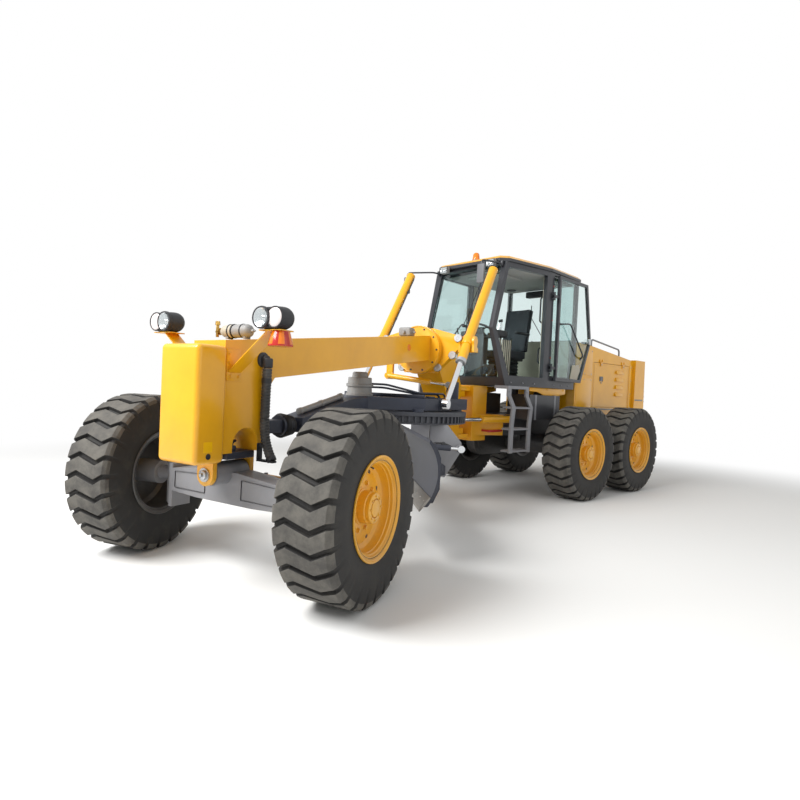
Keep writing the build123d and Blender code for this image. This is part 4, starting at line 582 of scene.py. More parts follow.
    def pipe(self, points: Sequence[Axis3], radius: float, bend: float = 0.05) -> Stock:
        """Adds a bent round tube.

        Args:
            points: the corners of its line.
            radius: the tube's radius.
            bend: how far from a corner its bend starts.

        Returns:
            The stock itself.
        """
        wire = bmesh.new()
        line = [wire.verts.new(p) for p in points]
        for pair in zip(line, line[1:]):
            wire.edges.new(pair)
        if len(line) > 2:
            bmesh.ops.bevel(
                wire, geom=line[1:-1], offset=bend, offset_type="OFFSET", segments=6, profile=0.5,
                affect="VERTICES", clamp_overlap=True, material=-1,
            )
        wire.verts.ensure_lookup_table()
        ends = [v for v in wire.verts if len(v.link_edges) == 1]
        start = min(ends, key=lambda v: (v.co - Vector(points[0])).length)
        order, edge = [start], None
        while True:
            nexts = [e for e in order[-1].link_edges if e is not edge]
            if not nexts:
                break
            edge = nexts[0]
            order.append(edge.other_vert(order[-1]))
        curve = bpy.data.curves.new("line", "CURVE")
        curve.dimensions = "3D"
        spline = curve.splines.new("POLY")
        spline.points.add(len(order) - 1)
        for spot, vert in zip(spline.points, order):
            spot.co = (*vert.co, 1.0)
        wire.free()
        curve.bevel_depth = radius
        curve.bevel_resolution = 3
        curve.use_fill_caps = True
        held = bpy.data.objects.new("line", curve)
        mesh = bpy.data.meshes.new_from_object(held)
        self.bm.from_mesh(mesh)
        bpy.data.objects.remove(held)
        bpy.data.curves.remove(curve)
        bpy.data.meshes.remove(mesh)
        return self

    def turned(self, centre: Axis3, way: Axis3, profile: Sequence[Pair], sides: int = 40) -> Stock:
        """Adds a turned shape that stands on a point and looks along a direction."""
        return self.lathe(profile, facing(centre, way), sides)

    def disc(self, centre: Axis3, way: Axis3, rows: Sequence[Pair], sides: int = 40) -> Stock:
        """Adds a turned shape whose (x, radius) rows close to its axis at both ends."""
        return self.turned(centre, way, ((rows[0][0], 0), *rows, (rows[-1][0], 0)), sides)

    def bolt(self, centre: Axis3, axis: Axis3, size: float) -> Stock:
        """Adds a single hexagon head on its washer."""
        return self.bolts(centre, axis, 0.0, 1, size)

    def frame(self, outline: Sequence[Axis3], width: float, push: Axis3) -> Stock:
        """Adds a flat frame: an outline with its middle left out.

        Args:
            outline: the corners of its outer edge, in order.
            width: how wide the frame is.
            push: the vector through its thickness.

        Returns:
            The stock itself.
        """
        work = bmesh.new()
        face = work.faces.new([work.verts.new(p) for p in outline])
        bmesh.ops.inset_region(
            work, faces=[face], thickness=width, use_boundary=True, use_even_offset=True,
        )
        bmesh.ops.delete(work, geom=[face], context="FACES")
        moved = bmesh.ops.extrude_face_region(work, geom=work.faces[:], use_keep_orig=True)
        verts = [v for v in moved["geom"] if isinstance(v, bmesh.types.BMVert)]
        bmesh.ops.translate(work, vec=Vector(push), verts=verts)
        bmesh.ops.recalc_face_normals(work, faces=work.faces)
        return self.take(work)

    def moved(self, matrix: Matrix) -> Stock:
        """Carries everything so far through a matrix, faces outwards still if it mirrors.

        Args:
            matrix: the move.

        Returns:
            This stock.
        """
        bmesh.ops.transform(self.bm, matrix=matrix, verts=self.bm.verts)
        if matrix.determinant() < 0:
            bmesh.ops.reverse_faces(self.bm, faces=self.bm.faces)
        return self

    def take(self, other: bmesh.types.BMesh) -> Stock:
        """Adds another mesh and frees it.

        Args:
            other: the mesh.

        Returns:
            This stock.
        """
        held = bpy.data.meshes.new("held")
        other.to_mesh(held)
        other.free()
        self.bm.from_mesh(held)
        bpy.data.meshes.remove(held)
        return self

    def mirrored(self) -> Stock:
        """Adds the mirror image across the machine's middle.

        Returns:
            This stock.
        """
        held = bpy.data.meshes.new("held")
        self.bm.to_mesh(held)
        twin = bmesh.new()
        twin.from_mesh(held)
        bpy.data.meshes.remove(held)
        return self.take(Stock(twin).moved(Matrix.Diagonal((-1, 1, 1, 1))).bm)

    def done(self, name: str, stand: Stand, finishes: Sequence[Finish] | Finish,
             smooth: float = 35.0) -> Piece:
        """Turns the stock into a finished piece that rides on a body.

        Args:
            name: the piece's name.
            stand: its place and the body it rides on.
            finishes: one finish, or one for each material index.
            smooth: edges sharper than this, in degrees, stay sharp.

        Returns:
            The piece.
        """
        self.moved(stand.place)
        mesh = bpy.data.meshes.new(name)
        self.bm.to_mesh(mesh)
        self.bm.free()
        mesh.shade_smooth()
        mesh.set_sharp_from_angle(angle=math.radians(smooth))
        piece = bpy.data.objects.new(name, mesh)
        bpy.context.scene.collection.objects.link(piece)
        several = [finishes] if isinstance(finishes, Finish) else list(finishes)
        for finish in several:
            mesh.materials.append(finish.material())
        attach(piece, stand.body)
        return piece


def softened(
        node: str, finish: Finish, width: float, second: Finish | None = None,
        where: Callable[[Vector], bool] | None = None, cut: tuple[Axis3, Axis3] | None = None,
) -> Piece:
    """A copy of a plain solid with its edges rounded, shown in the solid's place.

    Args:
        node: the frame's node.
        finish: what it is painted with.
        width: width of the rounded edges.
        second: a second finish for some of its faces.
        where: says of a face's middle whether it takes the second finish.
        cut: a point and a direction of a plane to part its faces along first.

    Returns:
        The copy.
    """
    source = FRAME["nodes"][node]
    bm = bmesh.new()
    bm.from_mesh(source.data)
    bmesh.ops.remove_doubles(bm, verts=bm.verts, dist=1e-5)
    bmesh.ops.dissolve_limit(
        bm, angle_limit=math.radians(0.8), use_dissolve_boundaries=False, verts=bm.verts, edges=bm.edges,
    )
    if cut is not None:
        parts = bm.verts[:] + bm.edges[:] + bm.faces[:]
        bmesh.ops.bisect_plane(bm, geom=parts, plane_co=Vector(cut[0]), plane_no=Vector(cut[1]))
    for face in bm.faces:
        face.material_index = 1 if where is not None and where(face.calc_center_median()) else 0
    coats = finish if second is None else [finish, second]
    piece = Stock(bm).done(f"{node}_soft", Stand(Matrix.Identity(4), source["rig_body"]), coats, smooth=30)
    bevel = piece.modifiers.new("edges", "BEVEL")
    bevel.width = width
    bevel.segments = 2
    bevel.limit_method = "ANGLE"
    bevel.angle_limit = math.radians(32)
    bevel.harden_normals = True
    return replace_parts(piece, node)


def painted(node: str, *finishes: Finish) -> None:
    """Gives a solid that stays as it is its finish.

    Args:
        node: the solid's name.
        finishes: one finish for each material slot.
    """
    mesh = FRAME["nodes"][node].data
    mesh.materials.clear()
    for finish in finishes:
        mesh.materials.append(finish.material())


# Wheels


@dataclass
class Tyre:
    """A tyre with wavy full-width lugs, turned about X."""

    lugs: int = 28
    groove: float = 0.24
    wave: tuple = ((-0.19, 0.022), (-0.105, -0.028), (0.075, 0.03), (0.19, -0.03))
    outer: tuple = (
        (-0.2, 0.3303, 0), (-0.2, 0.379, 0), (-0.2165, 0.46, 0), (-0.2203, 0.51, 0),
        (-0.22, 0.545, 0.003), (-0.218, 0.585, 0.01), (-0.215, 0.62, 0.018), (-0.2085, 0.649, 0.025),
        (-0.1845, 0.674, 0.03), (-0.145, 0.674, 0.031), (-0.105, 0.674, 0.031), (-0.05, 0.674, 0.031),
        (0.015, 0.674, 0.031), (0.075, 0.674, 0.031), (0.13, 0.674, 0.031), (0.1845, 0.674, 0.03),
        (0.2085, 0.649, 0.025), (0.215, 0.62, 0.018), (0.218, 0.585, 0.01), (0.22, 0.545, 0.003),
        (0.2203, 0.51, 0), (0.2165, 0.46, 0), (0.2, 0.379, 0), (0.2, 0.3303, 0),
    )
    columns: tuple = ((0, 0), (0.05, 1.0), (0.23, 1.0), (0.28, 0), (0.46, 0), (0.64, 0), (0.82, 0), (1.0, 0))

    def sway(self, x: float) -> float:
        """How far a lug swings along the tread at a place across it.

        Args:
            x: the place across the tyre.

        Returns:
            The swing as a distance along the tread.
        """
        points = self.wave
        if x <= points[0][0]:
            return points[0][1]
        for (x0, s0), (x1, s1) in zip(points, points[1:]):
            if x <= x1:
                return s0 + (s1 - s0) * (x - x0) / (x1 - x0)
        return points[-1][1]

    def make(self) -> bmesh.types.BMesh:
        """One lug's share of the tyre as a wrapped grid, spun round the wheel.

        Returns:
            The closed tyre about X, lug tops and shoulders with material 0, sides and groove floors with 1,
            the dark rubber in the grooves being painted shade.
        """
        bm = bmesh.new()
        rows, cols = len(self.outer), len(self.columns)
        bmesh.ops.create_grid(bm, x_segments=cols - 1, y_segments=rows - 1, size=1.0)
        bm.verts.ensure_lookup_table()
        for vert in bm.verts:
            col = round((vert.co.x + 1) / 2 * (cols - 1))
            row = round((vert.co.y + 1) / 2 * (rows - 1))
            x, radius, cut = self.outer[row]
            share, depth = self.columns[col]
            sink = cut * depth
            inward = 0.35 if abs(x) > 0.2 else 0.0
            angle = math.tau * share / self.lugs + self.sway(x) / TYRE_R
            radius -= sink * (1 - inward)
            x -= math.copysign(sink * inward, x)
            vert.co = Vector((x, -radius * math.sin(angle), radius * math.cos(angle)))
        # Groove floors take the dark sidewall rubber as painted shade; lug tops and shoulders take the dusty
        # tread rubber.
        for face in bm.faces:
            middle = face.calc_center_median()
            radius = math.hypot(middle.y, middle.z)
            above_painted_groove_shade = radius > 0.661 or (radius > 0.63 and abs(middle.x) > 0.197)
            face.material_index = 0 if above_painted_groove_shade else 1
        bmesh.ops.spin(
            bm, geom=bm.verts[:] + bm.edges[:] + bm.faces[:], cent=(0, 0, 0), axis=(1, 0, 0),
            angle=math.tau * (self.lugs - 1) / self.lugs, steps=self.lugs - 1, use_duplicate=True,
        )
        bmesh.ops.remove_doubles(bm, verts=bm.verts, dist=1e-5)
        bmesh.ops.recalc_face_normals(bm, faces=bm.faces)
        return bm


@dataclass
class Rim:
    """A wheel's rim with rolled flanges, a dished disc, its hub and its nuts."""

    flange: float = 0.367
    seat: float = 0.33
    wall: float = 0.014
    disc_x: float = 0.06
    disc_t: float = 0.024
    hub_r: float = 0.112
    hub_l: float = 0.105
    nuts: int = 10
    nut_ring: float = 0.165
    sides: int = 72

    def bowl(self) -> Stock:
        """The rolled rim and its disc, yellow outside and black inside as painted shade.

        Returns:
            The stock.
        """
        bead, lip = 0.2003, 0.2143
        face, back = self.disc_x + self.disc_t, self.disc_x
        inner, seat, flange = self.seat - self.wall, self.seat, self.flange
        stock = Stock().lathe(
            ((back, 0), (face, 0), (face, 0.205), (face - 0.004, 0.225), (face - 0.006, 0.262),
            (face + 0.012, 0.29), (face + 0.034, 0.3), (0.15, 0.302), (0.156, 0.308), (0.176, 0.31),
            (0.182, inner + 0.002), (0.196, inner + 0.008), (0.199, inner + 0.022),
            (0.205, inner + 0.034), (lip - 0.002, flange - 0.012), (lip, flange - 0.006),
            (lip - 0.002, flange - 0.001), (lip - 0.006, flange), (bead + 0.003, flange),
            (bead, flange - 0.004), (bead, seat + 0.004), (bead - 0.004, seat), (-bead + 0.004, seat),
            (-bead, seat + 0.004), (-bead, flange - 0.004), (-bead - 0.003, flange),
            (-lip + 0.006, flange), (-lip, flange - 0.006), (-lip + 0.002, flange - 0.014),
            (-0.199, inner + 0.016), (-0.19, inner), (back - 0.03, inner), (back, inner - 0.03)),
            Matrix.Identity(4), self.sides,
        )
        # Faces inside the bowl and on the machine-side flange take black paint: painted shade for the rim's
        # hollow inner side.
        for one in stock.bm.faces:
            middle = one.calc_center_median()
            inside = middle.x < back + 0.001 and math.hypot(middle.y, middle.z) < inner + 0.012
            in_painted_shade = inside or middle.x < -bead + 0.006
            one.material_index = 1 if in_painted_shade else 0
        return stock

    def hub(self) -> Stock:
        """The stepped hub with its cap, its bolts and the lug nuts.

        Returns:
            The stock.
        """
        face = self.disc_x + self.disc_t
        end = face + self.hub_l
        stock = Stock().lathe((
            (face - 0.01, 0), (face - 0.01, 0.128), (face + 0.006, 0.126), (face + 0.01, 0.114),
            (end - 0.04, self.hub_r), (end - 0.034, 0.106), (end - 0.008, 0.104), (end - 0.004, 0.098),
            (end - 0.004, 0.068), (end - 0.018, 0.066), (end - 0.018, 0.061), (end - 0.002, 0.06),
            (end, 0.055), (end, 0),
        ), Matrix.Identity(4), 56)
        stock.bolts((end - 0.004, 0, 0), (1, 0, 0), 0.083, 8, 0.0075)
        stock.bolts((face, 0, 0), (1, 0, 0), self.nut_ring, self.nuts, 0.0165)
        return stock

    def marks(self) -> Stock:
        """Black discs in the disc as painted shade for its hand holes, and the valve.

        Returns:
            The stock.
        """
        face = self.disc_x + self.disc_t
        stock = Stock()
        # Each hand hole is a thin black disc on the disc's face: painted shade in place of an opening.
        for index in range(8):
            angle = math.tau * (index + 0.5) / 8
            spot = (face - 0.0058, 0.243 * math.sin(angle), 0.243 * math.cos(angle))
            stock.turned(spot, (1, 0, 0), ((0, 0), (0.0012, 0), (0.0012, 0.017), (0, 0.019)), 20)
        stock.rod((face + 0.016, 0, 0.294), (face + 0.075, 0, 0.27), 0.006, sides=12)
        return stock

    def build(self, end: str, word: str, place: Matrix) -> Pieces:
        """Makes one rim's pieces.

        Args:
            end: front, mid or rear.
            word: left or right.
            place: from the wheel's own axle to the parked machine.

        Returns:
            The pieces.
        """
        body = f"{end}_wheel_{word}"
        bowl = self.bowl().done(f"rim_{end}_{word}", Stand(place, body), [YELLOW, BLACK_PAINT], smooth=28)
        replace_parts(bowl, f"{end}_rim_{word}")
        return [
            bowl, self.hub().done(f"hub_{end}_{word}", Stand(place, body), YELLOW),
            self.marks().done(f"rim_marks_{end}_{word}", Stand(place, body), BLACK_PAINT),
        ]


@dataclass
class Wheel:
    """One wheel: its tyre and its rim."""

    side: Side
    end: str
    place: Matrix

    def build(self) -> Pieces:
        """Makes the tyre and the rim's fittings.

        Returns:
            The pieces.
        """
        word = self.side.word
        body = f"{self.end}_wheel_{word}"
        tyre = Stock(Tyre().make()).done(
            f"tyre_{self.end}_{word}", Stand(self.place, body), [TREAD, SIDEWALL_AND_GROOVE_SHADE], smooth=25,
        )
        edge = tyre.modifiers.new("edges", "BEVEL")
        edge.width = 0.003
        edge.segments = 2
        edge.limit_method = "ANGLE"
        edge.angle_limit = math.radians(30)
        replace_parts(tyre, f"{self.end}_tyre_{word}")
        return [tyre, *Rim().build(self.end, word, self.place)]


def wheels() -> list[Wheel]:
    """All six wheels where they stand.

    Returns:
        The wheels.
    """
    found = []
    for side in Side:
        sign = side.value
        turn = Matrix.Rotation(0 if sign > 0 else math.pi, 4, "Z")
        steer = spun(STEER_TURN[sign], Vector((sign * KINGPIN_X, 0, 0)))
        hub = Matrix.Translation((sign * FRONT_TRACK / 2, 0, TYRE_R))
        found.append(Wheel(side, "front", FRONT @ steer @ hub @ turn))
        for end, step in (("mid", -1), ("rear", 1)):
            hub = Matrix.Translation((sign * REAR_TRACK / 2, REAR_AXLE_Y + step * TANDEM_HALF, TYRE_R))
            found.append(Wheel(side, end, REAR @ hub @ turn))
    return found


# The front end


@dataclass
class Nose:
    """The rounded weight on the nose, its fittings, and what hangs under the head."""

    half: float = 0.204
    front_y: float = -0.61
    rear_y: float = -0.335
    low_z: float = 0.901
    top_z: float = 1.75
    corner: float = 0.038
    pin: Axis3 = (0, -0.335, 0.79)
    label: tuple = (-0.536, -0.456, 0.988, 1.064)
    hole: Pair = (-0.491, 0.959)

    def build(self) -> Pieces:
        """Makes the weight and its fittings.

        Returns:
            The pieces.
        """
        block = Stock().box(
            (-self.half, self.front_y, self.low_z), (self.half, self.rear_y, self.top_z), self.corner, 6,
        )
        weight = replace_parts(block.done("nose_weight", AHEAD, YELLOW), "front_weight")
        y0, y1, z0, z1 = self.label
        plates = Stock().box((self.half, y0, z0), (self.half + 0.0012, y1, z1), 0.0005, 1).mirrored()
        blank = plates.done("nose_blank_plates", AHEAD, SIGN_YELLOW)
        y, z = self.hole
        # The tie holes are black discs on the weight's sides: painted shade standing in for their depth.
        eyes = Stock().turned((self.half - 0.001, y, z), (1, 0, 0), (
            (0, 0), (0.002, 0), (0.002, 0.014), (0.004, 0.015), (0.004, 0.021), (0, 0.022),
        ), 24)
        lifting = eyes.mirrored().done("nose_tie_holes", AHEAD, TRIM)
        head = Stock().turned(self.pin, (0, -1, 0), (
            (0, 0), (0.03, 0), (0.03, 0.03), (0.026, 0.036), (0.012, 0.037), (0.012, 0.052),
            (0.004, 0.054), (0, 0.054),
        ))
        head.bolt((0, -0.365, 0.79), (0, -1, 0), 0.015)
        pin = head.done("axle_pin_head", AHEAD, ZINC)
        return [weight, blank, lifting, pin, self.casting(), self.boot(), self.brackets()]

    def casting(self) -> Piece:
        """The dark casting in the head's arch, with its fittings.

        Returns:
            The piece.
        """
        stock = Stock().box((-0.13, -0.245, 0.905), (0.13, 0.048, 0.962), 0.012)
        stock.rod((-0.09, -0.1, 0.955), (-0.09, -0.1, 1.015), 0.045, round_by=0.008)
        stock.rod((0.08, -0.15, 0.955), (0.08, -0.15, 1.005), 0.032, round_by=0.006)
        stock.pipe(
            [(0.08, -0.15, 1.0), (0.08, -0.15, 1.035), (0.02, -0.05, 1.035), (-0.09, -0.05, 1.0)], 0.012,
        )
        for x in (-0.1, 0.1):
            stock.bolt((x, -0.245, 0.935), (0, -1, 0), 0.013)
        return stock.done("head_casting", AHEAD, SLATE)

    def boot(self) -> Piece:
        """A pleated rubber boot round the drawbar's socket.

        Returns:
            The piece.
        """
        profile = [(0, 0.091)]
        for fold in range(6):
            profile += [
                (0.012 + 0.024 * fold, 0.108 - 0.004 * fold), (0.024 + 0.024 * fold, 0.094 - 0.004 * fold),
            ]
        profile += [(0.15, 0.07), (0.146, 0.066)]
        profile += [(0.024 + 0.024 * fold, 0.09 - 0.004 * fold) for fold in range(5, -1, -1)]
        profile += [(0, 0.0905)]
        stock = Stock().turned((0, 0.475, 1.13), (0, 1, 0), profile, 36)
        return stock.done("drawbar_boot", AHEAD, BLACK_RUBBER, smooth=50)

    def brackets(self) -> Piece:
        """The bolted foot of each lamp strip.

        Returns:
            The piece.
        """
        stock = Stock().plate(
            [(0.17, -0.322, 1.5), (0.17, -0.178, 1.5), (0.17, -0.178, 1.575), (0.17, -0.19, 1.735),
            (0.17, -0.322, 1.735)], (0.008, 0, 0), 0.002,
        )
        for y, z in ((-0.3, 1.7), (-0.3, 1.63), (-0.285, 1.536), (-0.205, 1.531)):
            stock.bolt((0.178, y, z), (1, 0, 0), 0.011)
        return stock.mirrored().done("lamp_strip_feet", AHEAD, YELLOW)


@dataclass
class HeadLamp:
    """A twin lamp pod on its plate, with the striped signal lamp under it."""

    side: Side
    x: float = 0.575
    y: float = -0.25
    z: float = 1.9483
    radius: float = 0.08
    spread: float = 0.0575
    depth: float = 0.085

    def pod(self) -> Stock:
        """The oval shell: a ball drawn out sideways and cut flat in front.

        Returns:
            The stock.
        """
        bm = bmesh.new()
        bmesh.ops.create_uvsphere(bm, u_segments=40, v_segments=24, radius=self.radius)
        for vert in bm.verts:
            vert.co.x += math.copysign(self.spread, vert.co.x) if abs(vert.co.x) > 1e-4 else 0.0
            vert.co.y = max(vert.co.y * (1.0 if vert.co.y > 0 else 2.2), -self.depth)
        bmesh.ops.translate(bm, vec=(self.x, self.y, self.z), verts=bm.verts)
        return Stock(bm).box(
            (self.x - 0.04, self.y - 0.04, self.z - 0.0795),
            (self.x + 0.04, self.y + 0.04, self.z - 0.055), 0.006,
        )

    def build(self) -> Pieces:
        """Makes the pod, its lenses and the signal lamp.

        Returns:
            The pieces.
        """
        sign = self.side.value
        word = self.side.word
        mirror = FRONT @ Matrix.Diagonal((sign, 1, 1, 1))
        face_y = self.y - self.depth
        inner = (self.x - self.spread, face_y, self.z)
        outer = (self.x + self.spread, face_y, self.z)
        ahead = (0, -1, 0)
        shell = self.pod()
        shell.turned(inner, ahead, (
            (-0.004, 0.064), (0.004, 0.066), (0.022, 0.067), (0.022, 0.076), (0.012, 0.079), (-0.004, 0.079),
        ), 48)
        shell.turned(outer, ahead, (
            (-0.004, 0.066), (0.006, 0.067), (0.009, 0.071), (0.004, 0.075), (-0.004, 0.076),
        ), 48)
        bowl = Stock().turned(inner, ahead, (
            (-0.002, 0), (0.002, 0), (0.003, 0.015), (0.008, 0.038), (0.016, 0.059), (0.017, 0.066),
            (-0.002, 0.066),
        ), 48)
        bowl.turned(inner, ahead, ((0, 0), (0.013, 0), (0.013, 0.011), (0, 0.013)), 20)
        cover = Stock().turned(inner, ahead, (
            (0.017, 0), (0.021, 0), (0.0205, 0.034), (0.019, 0.0665), (0.016, 0.0665),
        ), 48)
        lens = Stock().turned(outer, ahead, (
            (-0.002, 0), (0.012, 0), (0.011, 0.038), (0.007, 0.059), (0.002, 0.067), (-0.002, 0.067),
        ), 48)
        made = [
            shell.done(f"lamp_pod_{word}", Stand(mirror, "front_frame"), TRIM),
            bowl.done(f"lamp_bowl_{word}", Stand(mirror, "front_frame"), SILVERED),
            cover.done(f"lamp_cover_{word}", Stand(mirror, "front_frame"), LAMP_GLASS),
            lens.done(f"lamp_marker_{word}", Stand(mirror, "front_frame"), PALE_LENS),
        ]
        if self.side is Side.LEFT:
            made.append(self.signal(mirror))
            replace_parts(made[0], "front_fittings")
        return made

    def signal(self, mirror: Matrix) -> Piece:
        """The small cone under the pod, in upright red and amber panels.

        Args:
            mirror: the turn to the lamp's side.

        Returns:
            The cone.
        """
        centre = (self.x + 0.045, self.y, 1.7547)
        stock = Stock().disc(
            centre, (0, 0, 1), ((0, 0.088), (0.012, 0.088), (0.098, 0.065), (0.105, 0.061)), 36,
        )
        middle = Vector(centre)
        for face in stock.bm.faces:
            off = face.calc_center_median() - middle
            panel = int((math.atan2(off.y, off.x) + math.pi) / math.tau * 12 + 0.01)
            face.material_index = panel % 2 if 0.012 < off.z < 0.1 else 1
        return stock.done(
            f"signal_{self.side.word}", Stand(mirror, "front_frame"), [AMBER_LENS, RED_LENS], smooth=30,
        )


@dataclass
class Canister:
    """The air canister across the beam with its rings, valve and nipple."""

    y: float = 0.0
    z: float = 1.8982
    left_x: float = -0.235

    def build(self) -> Pieces:
        """Makes the canister in its four finishes.

        Returns:
            The pieces.
        """
        spot = (self.left_x, self.y, self.z)
        way = (1, 0, 0)
        body = Stock().turned(spot, way, (
            (0.15, 0), (0.15, 0.05), (0.16, 0.054), (0.285, 0.054), (0.31, 0.046), (0.325, 0.03),
            (0.33, 0),
        ))
        body.disc(spot, way, ((0.328, 0.014), (0.355, 0.012), (0.355, 0.007), (0.368, 0.006)), 20)
        for x in (-0.15, 0.04):
            body.box((x - 0.015, -0.03, 1.8356), (x + 0.015, 0.03, 1.875), 0.003)
        dome = Stock().disc(
            spot, way, ((0, 0.016), (0.012, 0.034), (0.035, 0.047), (0.06, 0.051), (0.098, 0.051)),
        )
        dome.disc(spot, way, ((0.112, 0.054), (0.136, 0.054)))
        bands = Stock()
        for low in (0.098, 0.136, 0.235):
            bands.disc(
                spot, way, ((low, 0.055), (low + 0.003, 0.058), (low + 0.011, 0.058),
                (low + 0.014, 0.055)),
            )
        valve = Stock().rod((-0.305, self.y, self.z), (self.left_x, self.y, self.z), 0.012)
        valve.rod((-0.292, self.y, self.z - 0.045), (-0.292, self.y, self.z + 0.06), 0.013, round_by=0.003)
        valve.rod(
            (-0.292, self.y, self.z + 0.055), (-0.292, self.y, self.z + 0.085), 0.022, tip=0.018, sides=8,
        )
        valve.bolt((-0.262, self.y, self.z), (1, 0, 0), 0.024)
        return [
            body.done("canister_body", AHEAD, PALE_GREY), dome.done("canister_dome", AHEAD, CREAM),
            bands.done("canister_bands", AHEAD, TRIM), valve.done("canister_valve", AHEAD, BRASS),
        ]


@dataclass
class SleevedHose:
    """The ribbed hose bundle down the head's side, held at both ends.

    Its route repeats the one in the part's source, in metres.
    """

    route: tuple = (
        (0.224, 0.055, 1.6097), (0.219, 0.056, 1.48), (0.212, 0.06, 1.29),
        (0.212, 0.06, 1.14), (0.236, 0.06, 1.01), (0.29, 0.055, 0.925),
    )
    radius: float = 0.038
    rib: float = 0.024

    def line(self) -> list[Vector]:
        """Points along the route's smooth line, in the parked machine's frame.

        Returns:
            The points, from the upper end down.
        """
        curve = bpy.data.curves.new("route", "CURVE")
        curve.dimensions = "3D"
        curve.resolution_u = 24
        spline = curve.splines.new("NURBS")
        spline.points.add(len(self.route) - 1)
        for spot, point in zip(spline.points, self.route):
            spot.co = (*(FRONT @ Vector(point)), 1.0)
        spline.order_u = 3
        spline.use_endpoint_u = True
        held = bpy.data.objects.new("route", curve)
        mesh = bpy.data.meshes.new_from_object(held)
        points = [v.co.copy() for v in mesh.vertices]
        bpy.data.objects.remove(held)
        bpy.data.curves.remove(curve)
        bpy.data.meshes.remove(mesh)
        return points

    def stations(self, points: list[Vector]) -> list[tuple[Vector, Vector, float]]:
        """Evenly spaced places along the line, with directions and radii.

        Args:
            points: the smooth line.

        Returns:
            A (place, direction, radius) for each ring of the sleeve.
        """
        runs = [(b - a).length for a, b in zip(points, points[1:])]
        total = sum(runs)
        ribs = round(total / self.rib)
        shape = ((0, 0.9), (0.18, 0.99), (0.35, 1.0), (0.62, 0.99), (0.8, 0.9))
        marks = [(index + part) / ribs * total for index in range(ribs) for part, _ in shape]
        sizes = [self.radius * size for _ in range(ribs) for _, size in shape]
        found = []
        for mark, size in zip(marks + [total], sizes + [self.radius * 0.9]):
            left, index = mark, 0
            while index < len(runs) - 1 and left > runs[index]:
                left -= runs[index]
                index += 1
            way = (points[index + 1] - points[index]).normalized()
            found.append((points[index] + way * left, way, size))
        return found

    def build(self) -> Pieces:
        """Makes the sleeve, its wrap, and the fittings at both ends.

        Returns:
            The pieces.
        """
        points = self.line()
        bm = bmesh.new()
        rings = self.stations(points)
        bmesh.ops.create_circle(bm, cap_ends=False, segments=24, radius=1.0)
        edges = bm.edges[:]
        verts = bm.verts[:]
        shape = [v.co.copy() for v in verts]
        for step, (place, way, size) in enumerate(rings):
            if step:
                grown = bmesh.ops.extrude_edge_only(bm, edges=edges)["geom"]
                edges = [g for g in grown if isinstance(g, bmesh.types.BMEdge) and all(
                    v not in verts for v in g.verts)]
                fresh = [g for g in grown if isinstance(g, bmesh.types.BMVert)]
                bm.verts.index_update()
                verts = sorted(fresh, key=lambda v: v.index)
            turn = way.to_track_quat("Z", "X")
            for vert, base in zip(verts, shape):
                vert.co = place + turn @ (base * size)
        bmesh.ops.holes_fill(bm, edges=bm.edges, sides=0)
        bmesh.ops.recalc_face_normals(bm, faces=bm.faces)
        sleeve = Stock(bm).done(
            "front_hose_sleeve", Stand(Matrix.Identity(4), "front_frame"), GREY_RUBBER, smooth=50,
        )
        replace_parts(sleeve, "front_hose")
        wrap = Stock()
        for index in (16, 17, 18, 19, 20, 21, 22, 23):
            a, b = rings[index][0], rings[index + 1][0]
            wrap.rod(a, b, self.radius + 0.0015, sides=24)
        band = wrap.done("front_hose_wrap", Stand(Matrix.Identity(4), "front_frame"), TRIM)
        return [sleeve, band, self.fittings()]

    def fittings(self) -> Piece:
        """The oval grommet with its elbow, and the bracket at the lower end.

        Returns:
            The piece.
        """
        x, y, _ = self.route[0]
        stock = Stock().disc((0.1703, y, 1.6748), (1, 0, 0), ((0, 0.06), (0.012, 0.06), (0.025, 0.048)))
        stock.rod((0.18, y, 1.6748), (x, y, 1.6748), 0.036, round_by=0.004)
        stock.rod((x, y, 1.6117), (x, y, 1.69), 0.041, round_by=0.012)
        end = Vector(self.route[-1])
        step = (end - Vector(self.route[-2])).normalized()
        start = end + step * 0.0003
        stock.rod(start, start + step * 0.038, 0.039, round_by=0.004)
        low = start.z + step.z * 0.038 - 0.014
        stock.box((0.1703, start.y - 0.025, low), (start.x + 0.045, start.y + 0.025, low + 0.016), 0.003)
        stock.box((0.1703, start.y - 0.03, low), (0.1783, start.y + 0.03, 1.022), 0.002)
        stock.bolt((0.1783, start.y, 0.985), (1, 0, 0), 0.01)
        return stock.done("front_hose_fittings", AHEAD, TRIM)


